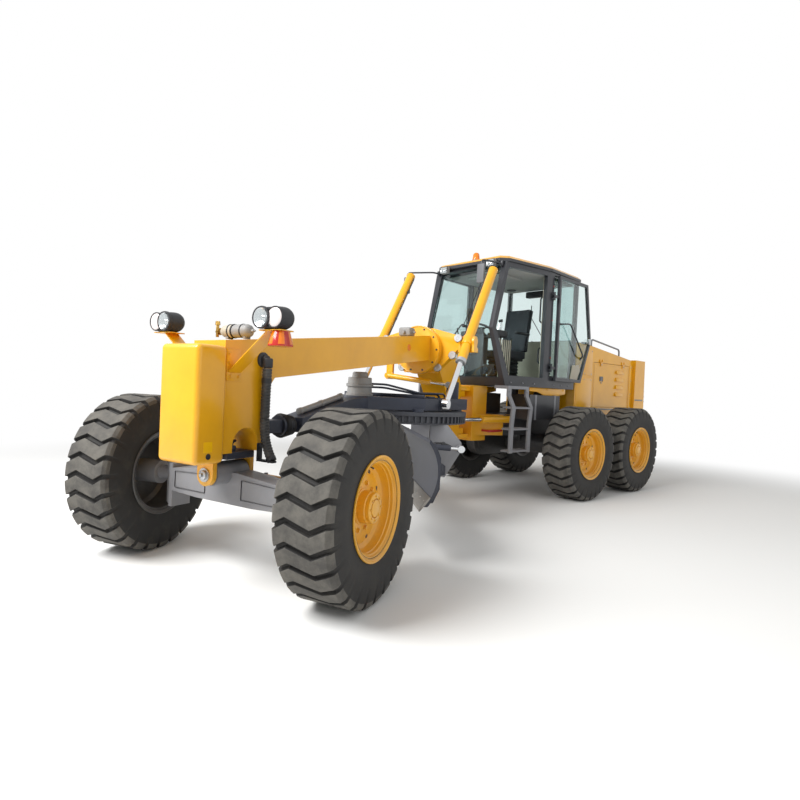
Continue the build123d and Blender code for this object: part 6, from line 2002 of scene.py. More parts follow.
@dataclass
class Controls:
    """The steering column, its wheel, the dash and the hand levers."""

    base_y: float = 4.59
    top_y: float = 4.7
    top_z: float = 2.35
    floor: float = 1.7003
    levers: int = 5

    def build(self) -> Pieces:
        """Makes the column and everything on it.

        Returns:
            The pieces.
        """
        x, y0, y1, z = 0.11, self.base_y, self.top_y, self.top_z
        column = Stock().plate(
            [(-x, y0, self.floor), (-x, y0 + 0.16, self.floor), (-x, y1 + 0.06, z), (-x, y1 - 0.06, z)],
            (2 * x, 0, 0), 0.014,
        )
        for sign in (-1, 1):
            a, b = sorted((sign * 0.109, sign * 0.331))
            column.box((a, y1 - 0.04, z - 0.06), (b, y1 + 0.04, z - 0.02), 0.008)
            a, b = sorted((sign * 0.22, sign * 0.33))
            column.box((a, y1 - 0.06, z - 0.04), (b, y1 + 0.22, z + 0.06), 0.018, 3)
        column.box((-0.085, y1 - 0.055, z - 0.002), (0.085, y1 - 0.015, z + 0.105), 0.012)
        tilt = facing((0, y1 + 0.02, z + 0.06), (0, 0.45, 0.9))
        wheel = Stock()
        ring = [
            (0.016 * math.cos(t), 0.19 + 0.016 * math.sin(t))
            for t in (math.tau * k / 10 for k in range(10))
        ]
        wheel.lathe(ring, tilt, 56)
        wheel.lathe(
            ((-0.12, 0), (-0.12, 0.014), (0, 0.014), (0.004, 0.044), (0.014, 0.044), (0.02, 0.036),
            (0.02, 0)), tilt, 28,
        )
        for angle in (30, 150, 270):
            t = math.radians(angle)
            end = tilt @ Vector((0, 0.186 * math.cos(t), 0.186 * math.sin(t)))
            start = tilt @ Vector((0.008, 0.03 * math.cos(t), 0.03 * math.sin(t)))
            wheel.rod(start, end, 0.01)
        sticks = Stock()
        knobs = Stock()
        for sign in (-1, 1):
            for index in range(self.levers):
                px = sign * (0.235 + 0.02 * index)
                top = (px + sign * 0.004, y1 + 0.12 - 0.01 * index, z + 0.19)
                sticks.rod((px, y1 + 0.08, z + 0.055), top, 0.0045, sides=10)
                knobs.rod(
                    (top[0], top[1], top[2] - 0.012), (top[0], top[1] - 0.006, top[2] + 0.028), 0.01,
                    tip=0.0085, sides=14, round_by=0.003,
                )
        slats = Stock()
        for index in range(6):
            y = 4.77 + 0.046 * index
            slats.plate([
                (0.3, y, 1.82), (0.3, y + 0.016, 1.82), (0.3, y + 0.026, 2.28), (0.3, y + 0.01, 2.28),
            ], (0.012, 0, 0), 0.002)
        slats.frame(
            [(0.296, 4.745, 1.795), (0.296, 5.03, 1.795), (0.296, 5.05, 2.305), (0.296, 4.765, 2.305)],
            0.016, (0.016, 0, 0),
        )
        slats.box((0.29, 4.76, 1.7005), (0.316, 5.02, 1.8), 0.004)
        panel = Stock().box((-0.075, y1 - 0.014, z + 0.012), (0.075, y1 - 0.0125, z + 0.092))
        for px in (-0.045, 0, 0.045):
            panel.turned(
                (px, y1 - 0.0125, z + 0.055), (0, 1, 0), ((0, 0), (0.003, 0), (0.003, 0.016), (0, 0.018)),
                24,
            )
        pedals = Stock()
        for px in (-0.19, 0.17, 0.27):
            pedals.plate(
                [(px, 4.62, 1.76), (px + 0.08, 4.62, 1.76), (px + 0.08, 4.57, 1.9), (px, 4.57, 1.9)],
                (0, 0.012, 0.004), 0.002,
            )
            pedals.rod((px + 0.04, 4.6, 1.82), (px + 0.04, 4.5, 1.716), 0.009)
        return [
            column.done("steering_column", BEHIND, TRIM),
            wheel.done("steering_wheel", BEHIND, BLACK_RUBBER),
            sticks.done("lever_sticks", BEHIND, CHROME), knobs.done("lever_knobs", BEHIND, BLACK_RUBBER),
            panel.done("dash_dials", BEHIND, PALE_GREY), slats.done("heater_slats", BEHIND, CREAM),
            pedals.done("pedals", BEHIND, BLACK_PAINT),
        ]


@dataclass
class Door:
    """The grab bar, latch, seal and corner panel of one cab door, drawn closed."""

    side: Side
    inner_x: float = 0.732
    outer_x: float = 0.776

    def place(self) -> Matrix:
        """From the straight door to where this side's is parked.

        Returns:
            The matrix.
        """
        hinge = Vector((0.755, 5.425, 0))
        if self.side is Side.LEFT:
            return REAR @ spun(183.0, hinge)
        return REAR @ Matrix.Diagonal((-1, 1, 1, 1)) @ spun(-5.758, hinge)

    def outline(self, inset: float, x: float) -> list[Axis3]:
        """The leaf's outline drawn in by an inset, at a place across the cab.

        Args:
            inset: how far it is drawn in.
            x: the place across the cab.

        Returns:
            The outline's corners.
        """
        low, high, rear = 1.71 + inset, 3.265 - inset, 5.32 - inset
        return [
            (x, 4.515 + inset, low), (x, 4.22 + inset, 2.376), (x, 4.42 + inset, high), (x, rear, high),
            (x, rear, low),
        ]

    def build(self) -> Pieces:
        """Makes one door's fittings.

        Returns:
            The pieces.
        """
        word = self.side.word
        body = f"door_{word}"
        bar = Stock()
        x = self.inner_x - 0.045
        bar.pipe([
            (self.inner_x + 0.0185, 5.25, 2.56), (x, 5.23, 2.56), (x, 5.03, 2.58), (x, 4.56, 2.12),
            (self.inner_x + 0.0185, 4.53, 2.09),
        ], 0.012, 0.05)
        for y, z in ((5.25, 2.56), (4.53, 2.09)):
            bar.disc((self.inner_x + 0.0188, y, z), (-1, 0, 0), ((0, 0.026), (0.006, 0.024)), 20)
        latch = Stock().box((self.inner_x - 0.028, 4.274, 2.33), (self.inner_x + 0.002, 4.342, 2.42), 0.006)
        latch.rod((self.outer_x, 4.3, 2.36), (self.outer_x + 0.02, 4.3, 2.36), 0.018, round_by=0.003)
        latch.box((self.outer_x + 0.018, 4.29, 2.346), (self.outer_x + 0.03, 4.42, 2.374), 0.006)
        seal = Stock().frame(self.outline(0.042, self.inner_x + 0.012), 0.016, (0.02, 0, 0))
        corner = Stock().plate(
            [(self.inner_x + 0.001, 4.64, 1.76), (self.inner_x + 0.001, 4.86, 1.76),
            (self.inner_x + 0.001, 4.8, 1.975), (self.inner_x + 0.001, 4.59, 1.985),
            (self.inner_x + 0.001, 4.545, 1.9)], (0.016, 0, 0), 0.006,
        )
        return [
            bar.done(f"door_bar_{word}", Stand(self.place(), body), BLACK_PAINT),
            latch.done(f"door_latch_{word}", Stand(self.place(), body), ZINC),
            seal.done(f"door_seal_{word}", Stand(self.place(), body), BLACK_RUBBER),
            corner.done(f"door_corner_{word}", Stand(self.place(), body), CREAM),
        ]


@dataclass
class RailsAndMirrors:
    """The hood's grab rails, and the outside mirrors on their bent arms."""

    rail_x: float = 0.58
    rail_y: Pair = (6.9, 7.9)
    rail_z: Pair = (2.3273, 2.2258)
    mirrors: tuple = ((1, 0.5, 4.01, 3.08), (-1, 0.9, 4.01, 3.07))

    def build(self) -> Pieces:
        """Makes the rails, arms, heads and glasses.

        Returns:
            The pieces.
        """
        x, (y0, y1), (z0, z1) = self.rail_x, self.rail_y, self.rail_z
        rails = Stock().pipe([
            (x, y0, z0 + 0.002), (x, y0, z0 + 0.13), (x, y1, z1 + 0.13), (x, y1, z1 + 0.002),
        ], 0.014, 0.05)
        for y, z in ((y0, z0), (y1, z1)):
            rails.disc((x, y, z + 0.0005), (0, 0, 1), ((0, 0.03), (0.008, 0.028)), 20)
        rails.mirrored()
        heads = Stock()
        glasses = Stock()
        arms = Stock()
        for sign, mx, my, mz in self.mirrors:
            foot = sign * 0.57
            arms.box((foot - 0.02, 4.336, 3.232), (foot + 0.02, 4.376, 3.2999), 0.004)
            arms.pipe(
                [(foot, 4.356, 3.262), (foot, 4.23, 3.262), (sign * mx, my, 3.262),
                (sign * mx, my, mz + 0.1)], 0.012, 0.04,
            )
            low, high = sorted((sign * mx - 0.06, sign * mx + 0.06))
            heads.box((low, my - 0.022, mz - 0.13), (high, my + 0.02, mz + 0.13), 0.018, 4)
            glasses.box(
                (low + 0.01, my + 0.0195, mz - 0.118), (high - 0.01, my + 0.0215, mz + 0.118), 0.0008, 1,
            )
        rail = rails.done("hood_rails", BEHIND, GREY)
        return [
            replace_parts(rail, "rails_and_mirrors"), arms.done("mirror_arms", BEHIND, BLACK_PAINT),
            heads.done("mirror_heads", BEHIND, MIRROR_SHELL),
            glasses.done("mirror_glasses", BEHIND, MIRROR),
        ]


@dataclass
class RoofLamps:
    """The beacon on the roof and the two work lamps under its front edge."""

    beacon: Pair = (0.033, 4.47)
    base_z: float = 3.3806
    lamp_x: Pair = (-0.4, 0.44)
    face_y: float = 4.3297

    def build(self) -> Pieces:
        """Makes the beacon and both lamps.

        Returns:
            The pieces.
        """
        x, y = self.beacon
        spot = (x, y, self.base_z)
        base = Stock().disc(spot, (0, 0, 1), ((0, 0.062), (0.018, 0.062), (0.024, 0.056)))
        dome = Stock().turned(spot, (0, 0, 1), (
            (0.024, 0), (0.024, 0.053), (0.04, 0.053), (0.044, 0.05), (0.06, 0.05), (0.064, 0.048),
            (0.098, 0.045), (0.118, 0.036), (0.129, 0.018), (0.131, 0),
        ), 40)
        shells, lenses, bowls = Stock(), Stock(), Stock()
        for lx in self.lamp_x:
            shells.box((lx - 0.07, self.face_y - 0.06, 3.23), (lx + 0.07, self.face_y, 3.33), 0.012, 3)
            shells.frame(
                [(lx - 0.07, self.face_y - 0.07, 3.23), (lx + 0.07, self.face_y - 0.07, 3.23),
                (lx + 0.07, self.face_y - 0.07, 3.33), (lx - 0.07, self.face_y - 0.07, 3.33)], 0.009,
                (0, 0.012, 0),
            )
            bowls.box((lx - 0.06, self.face_y - 0.064, 3.24), (lx + 0.06, self.face_y - 0.0595, 3.32))
            for part in (-0.03, 0.03):
                bowls.turned(
                    (lx + part, self.face_y - 0.062, 3.28), (0, -1, 0),
                    ((0, 0), (0.002, 0.014), (0.006, 0.026), (0, 0.028)), 20,
                )
            lenses.box((lx - 0.061, self.face_y - 0.07, 3.239), (lx + 0.061, self.face_y - 0.067, 3.321))
        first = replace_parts(base.done("beacon_base", BEHIND, GREY), "roof_lamps")
        return [
            first, dome.done("beacon_dome", BEHIND, ORANGE_LENS),
            shells.done("work_lamp_shells", BEHIND, PALE_GREY),
            bowls.done("work_lamp_bowls", BEHIND, SILVERED),
            lenses.done("work_lamp_lenses", BEHIND, LAMP_GLASS),
        ]


# The hood and the tail


@dataclass
class HoodDoor:
    """The louvre hoods, handle and hinge bolts of one side door of the hood."""

    side: Side
    face: float = 0.64
    louvres: tuple[float, ...] = (1.56, 1.69, 1.82, 1.95)
    louvre_y: Pair = (7.69, 7.96)

    def build(self) -> Pieces:
        """Makes one door's fittings.

        Returns:
            The pieces.
        """
        word, x = self.side.word, self.face
        body = f"hood_door_{word}"
        turn = Matrix.Diagonal((self.side.value, 1, 1, 1))
        y0, y1 = self.louvre_y
        hoods = Stock()
        for z in self.louvres:
            hoods.plate([
                (x - 0.002, y0, z + 0.036), (x - 0.002, y0, z + 0.022), (x + 0.022, y0, z - 0.034),
                (x + 0.028, y0, z - 0.032), (x + 0.012, y0, z + 0.026),
            ], (0, y1 - y0, 0), 0.0012)
            for y in (y0, y1 - 0.004):
                hoods.plate([
                    (x - 0.001, y, z + 0.03), (x - 0.001, y, z - 0.024), (x + 0.023, y, z - 0.03),
                ], (0, 0.004, 0))
        hoods.frame(
            [(x - 0.001, 6.93, 1.36), (x - 0.001, 8.17, 1.36), (x - 0.001, 8.17, 2.045),
            (x - 0.001, 6.93, 2.045)], 0.012, (0.003, 0, 0),
        )
        # A black sheet inside the door behind the louvres: painted shade for the gaps between them.
        dark = Stock().box((x - 0.047, y0 - 0.03, 1.52), (x - 0.0405, y1 + 0.03, 1.99), 0.001, 1)
        handle = Stock().box((x, 7.118, 1.768), (x + 0.006, 7.232, 1.85), 0.003)
        handle.frame(
            [(x + 0.006, 7.122, 1.772), (x + 0.006, 7.228, 1.772), (x + 0.006, 7.228, 1.846),
            (x + 0.006, 7.122, 1.846)], 0.01, (0.004, 0, 0),
        )
        handle.box((x + 0.006, 7.15, 1.786), (x + 0.016, 7.2, 1.832), 0.005, 3)
        handle.turned(
            (x + 0.005, 7.175, 1.745), (1, 0, 0), ((0, 0), (0, 0.013), (0.006, 0.012), (0.006, 0.004),
            (0.003, 0)), 20,
        )
        screws = Stock()
        for y in (7.15, 7.95):
            for step in (-0.018, 0.018):
                screws.bolt((x + 0.0125, y + step, 2.046), (1, 0, 0), 0.0065)
        made = []
        for stock, name, finish in (
            (hoods, "louvres", YELLOW), (dark, "louvre_screen", BLACK_PAINT), (handle, "hood_handle", GREY),
            (screws, "hood_screws", ZINC),
        ):
            made.append(stock.moved(turn).done(f"{name}_{word}", Stand(REAR, body), finish))
        return made


@dataclass
class HoodShell:
    """Access panels, edge trims, seams and the tail's grille with its lamps."""

    half: float = 0.64
    tail_half: float = 0.69
    tail_y: float = 8.76

    def sides(self) -> Pieces:
        """The panels, trims and seams on the hood's sides and top.

        Returns:
            The pieces.
        """
        x = self.half
        panels = Stock().box((x - 0.001, 6.36, 1.26), (x + 0.005, 6.85, 1.8), 0.003)
        panels.box((x - 0.001, 6.4, 1.85), (x + 0.005, 6.85, 2.27), 0.003)
        panels.box((x - 0.001, 6.345, 1.2), (x + 0.008, 8.34, 1.226), 0.004)
        panels.box((x - 0.001, 8.215, 1.3), (x + 0.005, 8.338, 2.1), 0.003)
        panels.mirrored()
        panels.box((-0.635, 6.574, 2.3585), (0.635, 6.586, 2.3625), 0.0015, 1)
        bolts = Stock()
        for y in (6.385, 6.605, 6.825):
            for z in (1.285, 1.775, 1.875, 2.245):
                bolts.bolt((x + 0.005, max(y, 6.425) if z > 1.8 else y, z), (1, 0, 0), 0.007)
        for z in (1.34, 1.58, 1.82, 2.06):
            bolts.bolt((x + 0.005, 8.276, z), (1, 0, 0), 0.007)
        bolts.mirrored()
        strip = Stock().box(
            (self.tail_half - 0.001, 8.38, 1.462), (self.tail_half + 0.004, 8.7, 1.488), 0.002,
        )
        strip.box((self.half - 0.001, 7.0, 1.285), (self.half + 0.004, 8.1, 1.311), 0.002).mirrored()
        vents = Stock()
        for index in range(9):
            y = 6.9 + 0.055 * index
            top = 2.36 - 0.1017 * (y - 6.58)
            vents.plate([
                (-0.26, y, top - 0.001), (-0.26, y + 0.01, top + 0.01), (-0.26, y + 0.034, top + 0.01),
                (-0.26, y + 0.04, top - 0.004),
            ], (0.52, 0, 0), 0.002)
        return [
            panels.done("hood_panels", BEHIND, YELLOW), bolts.done("hood_bolts", BEHIND, ZINC),
            strip.done("hood_reflector_strips", BEHIND, PALE_GREY),
            vents.done("hood_top_vents", BEHIND, BLACK_PAINT),
        ]

    def rear_face(self, z: float) -> float:
        """Where the tail's rear face stands at a height."""
        return self.tail_y - 0.03 * (z - 1.34) / 0.86

    def tail(self) -> Pieces:
        """The radiator core, the grille's rim, the lamps and the number plate's bare panel.

        Returns:
            The pieces.
        """
        core = Stock().box((-0.599, 8.5602, 1.371), (0.599, 8.566, 2.109))
        for index in range(79):
            x = -0.585 + 0.015 * index
            core.box((x - 0.0015, 8.565, 1.374), (x + 0.0015, 8.585, 2.106))
        for z in (1.555, 1.74, 1.925):
            core.box((-0.598, 8.566, z - 0.006), (0.598, 8.59, z + 0.006), 0.001, 1)
        rim = Stock().frame([
            (-0.622, self.rear_face(1.35) - 0.002, 1.348), (0.622, self.rear_face(1.35) - 0.002, 1.348),
            (0.622, self.rear_face(2.13) - 0.002, 2.132), (-0.622, self.rear_face(2.13) - 0.002, 2.132),
        ], 0.02, (0, 0.008, 0))
        for x in (-0.3, 0, 0.3):
            rim.box((x - 0.008, 8.612, 1.37), (x + 0.008, 8.622, 2.11), 0.001, 1)
        shells, red, amber = Stock(), Stock(), Stock()
        for x in (-0.65, 0.65):
            for z, lens in ((1.64, red), (1.545, amber), (1.45, red)):
                y = self.rear_face(z)
                shells.turned((x, y - 0.002, z), (0, 1, 0), (
                    (0, 0), (0, 0.039), (0.014, 0.038), (0.016, 0.034), (0.012, 0.032), (0.01, 0),
                ), 32)
                lens.turned((x, y + 0.006, z), (0, 1, 0), (
                    (0, 0), (0, 0.032), (0.006, 0.031), (0.009, 0.024), (0.011, 0.012), (0.0115, 0),
                ), 32)
        plate = Stock().box((-0.2, 8.756, 1.2485), (0.2, 8.7575, 1.331))
        plate.moved(Matrix.Translation((0, 8.745, 1.29)) @ Matrix.Rotation(math.radians(33.7), 4, "X")
                    @ Matrix.Translation((0, -8.745, -1.29)))
        return [
            core.done("radiator_core", BEHIND, BLACK_PAINT), rim.done("grille_rim", BEHIND, BLACK_PAINT),
            shells.done("tail_lamp_shells", BEHIND, TRIM), red.done("tail_lamps_red", BEHIND, RED_LENS),
            amber.done("tail_lamps_amber", BEHIND, AMBER_LENS),
            plate.done("tail_blank_panel", BEHIND, PALE_GREY),
        ]

    def build(self) -> Pieces:
        """Makes everything fixed to the hood and the tail.

        Returns:
            The pieces.
        """
        return [*self.sides(), *self.tail()]


@dataclass
class Engine:
    """The engine in the hood: block, covers, manifold, filters and fan."""

    y: Pair = (6.5, 7.7)
    z: Pair = (1.1803, 1.95)

    def build(self) -> Pieces:
        """Makes the engine.

        Returns:
            The pieces.
        """
        (y0, y1), (z0, z1) = self.y, self.z
        block = Stock().box((-0.2, y0 + 0.06, z0 + 0.22), (0.2, y1 - 0.1, z0 + 0.62), 0.015, 3)
        block.box((-0.16, y0 + 0.1, z0), (0.16, y1 - 0.16, z0 + 0.23), 0.03, 3)
        block.box((-0.3, y0, z0 + 0.1), (0.3, y0 + 0.062, z0 + 0.66), 0.02, 3)
        for index in range(7):
            y = y0 + 0.14 + 0.145 * index
            block.box((-0.214, y, z0 + 0.26), (0.214, y + 0.018, z0 + 0.58), 0.004)
        cover = Stock().box((-0.15, y0 + 0.1, z0 + 0.615), (0.11, y1 - 0.14, z1 - 0.02), 0.03, 3)
        for index in range(6):
            y = y0 + 0.16 + 0.155 * index
            cover.box((-0.13, y, z1 - 0.022), (0.09, y + 0.09, z1), 0.008)
        pipes = Stock().pipe([(0.262, y0 + 0.12, z0 + 0.56), (0.262, y1 - 0.2, z0 + 0.56)], 0.036, 0.02)
        for index in range(6):
            y = y0 + 0.17 + 0.15 * index
            pipes.pipe([(0.19, y, z0 + 0.5), (0.25, y, z0 + 0.5), (0.262, y, z0 + 0.56)], 0.024, 0.03)
        filters = Stock()
        for y in (y0 + 0.3, y0 + 0.46):
            filters.disc(
                (-0.252, y, z0 + 0.22), (0, 0, 1), ((0, 0.04), (0.006, 0.046), (0.19, 0.046), (0.2, 0.04),
                (0.23, 0.03)), 28,
            )
        fan = Stock()
        hub = (0, y1 - 0.06, z0 + 0.44)
        fan.rod((0, y1 - 0.12, z0 + 0.44), (0, y1 - 0.012, z0 + 0.44), 0.055, round_by=0.006)
        for index in range(8):
            turn = Matrix.Translation(hub) @ Matrix.Rotation(math.tau * index / 8, 4, "Y")
            blade = Stock().box((-0.04, -0.004, 0.05), (0.04, 0.004, 0.29), 0.003)
            blade.moved(turn @ Matrix.Rotation(math.radians(32), 4, "Z"))
            fan.take(blade.bm)
        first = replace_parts(block.done("engine_casting", BEHIND, IRON), "engine_block")
        return [
            first, cover.done("engine_cover", BEHIND, BLACK_PAINT),
            pipes.done("engine_manifold", BEHIND, IRON),
            filters.done("engine_filters", BEHIND, PALE_GREY), fan.done("engine_fan", BEHIND, TRIM),
        ]


# The rear chassis


@dataclass
class Chassis:
    """What hangs on the rear frame: fenders, tank straps, treads, caps and the hitch pin."""

    tank_x: float = 0.7
    tank_y: Pair = (5.0, 5.8)
    tank_z: Pair = (1.13, 1.49)

    def steps(self) -> Pieces:
        """The hanging steps in grey with the tanks in black, and the steps' grip teeth.

        Returns:
            The pieces.
        """
        back = REAR.inverted()
        piece = softened(
            "steps_and_tanks", GREY, 0.004, BLACK_PAINT, lambda spot: (back @ spot).y > self.tank_y[0] - 0.01,
        )
        teeth = Stock()
        for z in (0.725, 1.025, 1.315):
            for index in range(9):
                y = 4.41 + 0.047 * index
                teeth.box((0.684, y, z - 0.0005), (0.796, y + 0.012, z + 0.006), 0.0015, 1)
        for z in (0.76, 1.4):
            teeth.bolt((0.83, 4.41 if z < 1 else 4.313, z if z < 1 else 1.52), (1, 0, 0), 0.011)
            teeth.bolt((0.83, 4.82 if z < 1 else 4.723, z if z < 1 else 1.52), (1, 0, 0), 0.011)
        return [piece, teeth.mirrored().done("step_teeth", BEHIND, GREY)]

    def tanks(self) -> Pieces:
        """Straps and filler caps of the tank and the battery box.

        Returns:
            The pieces.
        """
        x, (z0, z1) = self.tank_x, self.tank_z
        straps = Stock()
        for y in (5.13, 5.64):
            straps.box((x - 0.001, y, z0 - 0.002), (x + 0.004, y + 0.045, z1 + 0.002), 0.002)
            straps.box((0.382, y, z1 - 0.001), (x + 0.004, y + 0.045, z1 + 0.004), 0.002)
            straps.bolt((x + 0.004, y + 0.0225, z0 + 0.05), (1, 0, 0), 0.01)
        straps.mirrored()
        cap = Stock().disc(
            (0.56, 5.4, z1 - 0.001), (0, 0, 1), ((0, 0.062), (0.012, 0.062), (0.014, 0.052),
            (0.034, 0.05), (0.038, 0.046)),
        )
        cap.box((0.515, 5.392, z1 + 0.034), (0.605, 5.408, z1 + 0.05), 0.004)
        latch = Stock()
        for y in (5.25, 5.55):
            latch.box((-x - 0.006, y - 0.022, 1.395), (-x + 0.001, y + 0.022, 1.455), 0.003)
            latch.rod((-x - 0.014, y, 1.412), (-x - 0.004, y, 1.412), 0.01, round_by=0.002)
        return [
            straps.done("tank_straps", BEHIND, GREY), cap.done("filler_cap", BEHIND, TRIM),
            latch.done("battery_box_latches", BEHIND, ZINC),
        ]

    def fenders(self) -> Pieces:
        """The yellow skirts under the cab's sills.

        Returns:
            The pieces.
        """
        skirt = Stock().plate([
            (0.64, 5.05, 1.599), (0.64, 6.02, 1.599), (0.64, 6.02, 1.52), (0.64, 5.78, 1.482),
            (0.64, 5.42, 1.478), (0.64, 5.35, 1.512), (0.64, 5.25, 1.536), (0.64, 5.05, 1.54),
        ], (0.02, 0, 0), 0.004)
        for y in (5.1, 5.5, 5.95):
            skirt.bolt((0.66, y, 1.575), (1, 0, 0), 0.009)
        return [skirt.mirrored().done("cab_skirts", BEHIND, YELLOW)]

    def fittings(self) -> Pieces:
        """The hinge's pin caps, the red lock bar and the hitch pin.

        Returns:
            The pieces.
        """
        caps = Stock().disc((0, HINGE.y, 1.5655), (0, 0, 1), ((0, 0.092), (0.012, 0.09), (0.016, 0.08)))
        caps.bolts((0, HINGE.y, 1.58), (0, 0, 1), 0.062, 6, 0.011)
        caps.disc((0, HINGE.y, 0.8345), (0, 0, -1), ((0, 0.092), (0.012, 0.09)))
        caps.bolts((0, HINGE.y, 0.824), (0, 0, -1), 0.062, 6, 0.011)
        lock = Stock().rod((0.385, 4.5, 0.951), (0.385, 4.8, 0.951), 0.019, round_by=0.004)
        for y, reach in ((4.52, 0.235), (4.78, 0.34)):
            lock.box((reach, y - 0.012, 0.935), (0.395, y + 0.012, 0.967), 0.003)
        pin = Stock().disc(
            (0, 8.64, 0.87), (0, 0, 1), ((0, 0.02), (0.008, 0.0245), (0.131, 0.0245), (0.131, 0.04),
            (0.145, 0.04), (0.149, 0.034)),
        )
        pin.pipe(
            [(-0.022, 8.64, 1.016), (-0.022, 8.64, 1.07), (0.022, 8.64, 1.07), (0.022, 8.64, 1.016)],
            0.005, 0.018,
        )
        return [
            caps.done("hinge_caps", BEHIND, ZINC), lock.done("hinge_lock_bar", BEHIND, RED_PAINT),
            pin.done("hitch_pin", BEHIND, ZINC),
        ]

    def build(self) -> Pieces:
        """Makes everything on the rear frame.

        Returns:
            The pieces.
        """
        return [*self.steps(), *self.tanks(), *self.fenders(), *self.fittings()]


@dataclass
class TandemFittings:
    """Covers, plugs and bolts of one chain case."""

    side: Side
    inner: float = 0.65
    outer: float = 0.82

    def build(self) -> Pieces:
        """Makes one side's covers.

        Returns:
            The pieces.
        """
        word, sign = self.side.word, self.side.value
        covers = Stock().box((self.inner + 0.02, 6.32, 0.9085), (self.outer - 0.02, 6.706, 0.921), 0.004)
        for y in (6.35, 6.513, 6.676):
            for x in (self.inner + 0.036, self.outer - 0.036):
                covers.bolt((x, y, 0.921), (0, 0, 1), 0.009)
        for y in (REAR_AXLE_Y - TANDEM_HALF, REAR_AXLE_Y + TANDEM_HALF):
            covers.disc(
                (self.inner + 0.001, y, TYRE_R), (-1, 0, 0), ((0, 0.15), (0.014, 0.146), (0.018, 0.06)),
            )
            covers.bolts((self.inner - 0.013, y, TYRE_R), (-1, 0, 0), 0.125, 8, 0.01)
            covers.turned(
                (self.outer - 0.001, y, TYRE_R), (1, 0, 0), ((0, 0.101), (0, 0.2), (0.016, 0.195),
                (0.016, 0.101)),
            )
            covers.bolts((self.outer + 0.014, y, TYRE_R), (1, 0, 0), 0.17, 12, 0.01)
        covers.disc(
            (self.outer - 0.001, REAR_AXLE_Y, TYRE_R), (1, 0, 0),
            ((0, 0.165), (0.012, 0.16), (0.016, 0.06)),
        )
        covers.bolts((self.outer + 0.01, REAR_AXLE_Y, TYRE_R), (1, 0, 0), 0.14, 10, 0.01)
        plugs = Stock()
        for y, z in ((6.15, 0.56), (6.86, 0.56), (6.15, 0.8)):
            plugs.bolt((self.outer, y, z), (1, 0, 0), 0.016)
        mirror = Matrix.Diagonal((sign, 1, 1, 1))
        body = f"tandem_{word}"
        return [
            covers.moved(mirror).done(f"tandem_covers_{word}", Stand(REAR, body), BLACK_PAINT),
            plugs.moved(mirror).done(f"tandem_plugs_{word}", Stand(REAR, body), ZINC),
        ]


# The plain solids' finishes

NODE_FINISH: dict[str, tuple[Finish, float]] = {
    "lift_saddle": (YELLOW, 0.006), "front_axle": (GREY, 0.005), "tie_rod": (GREY, 0),
    "drawbar": (SLATE, 0.006), "blade_carrier": (SLATE, 0.004), "shift_rod": (CHROME, 0),
    "cab_body": (BLACK_PAINT, 0.006), "cab_glass": (GLASS, 0), "hood": (YELLOW, 0.008),
    "steer_barrel": (YELLOW, 0), "steer_rod": (CHROME, 0), "sway_barrel": (YELLOW, 0),
    "sway_rod": (CHROME, 0), "tip_barrel": (SLATE, 0), "tip_rod": (CHROME, 0),
}
SIDE_FINISH: dict[str, tuple[Finish, float]] = {
    "knuckle": (GREY, 0), "lift_barrel": (YELLOW, 0), "lift_rod": (CHROME, 0), "bend_barrel": (YELLOW, 0),
    "bend_rod": (CHROME, 0), "tandem": (BLACK_PAINT, 0.006), "door": (BLACK_PAINT, 0.006),
    "door_glass": (GLASS, 0), "hood_door": (YELLOW, 0.004),
}


def dress_nodes() -> Pieces:
    """Gives every plain solid its finish, and rounds the edges of the large ones.

    Returns:
        The softened copies.
    """
    table = dict(NODE_FINISH)
    for stem, row in SIDE_FINISH.items():
        for side in Side:
            table[f"{stem}_{side.word}"] = row
    ahead, behind = FRONT.inverted(), REAR.inverted()

    def ball_seat(spot: Vector) -> bool:
        """Whether a face of the main frame is on the drawbar's ball seat."""
        local = ahead @ spot
        return 0.08 < local.y < 0.6 and 1.03 < local.z < 1.225 and abs(local.x) < 0.1

    def tower(spot: Vector) -> bool:
        """Whether a face of the rear frame is on its yellow hinge tower."""
        local = behind @ spot
        return local.y < 4.8 and local.z > 0.8

    made = [
        softened("main_frame", YELLOW, 0.006, SLATE, ball_seat),
        softened("rear_frame", BLACK_PAINT, 0.005, YELLOW, tower),
        softened(
            "cab_roof", YELLOW, 0.01, BLACK_PAINT, lambda spot: spot.z < 3.342,
            ((0, 0, 3.342), (0, 0, 1)),
        ),
    ]
    for node, (finish, width) in table.items():
        if width > 0:
            made.append(softened(node, finish, width))
        else:
            painted(node, finish)
    return made


# Studio


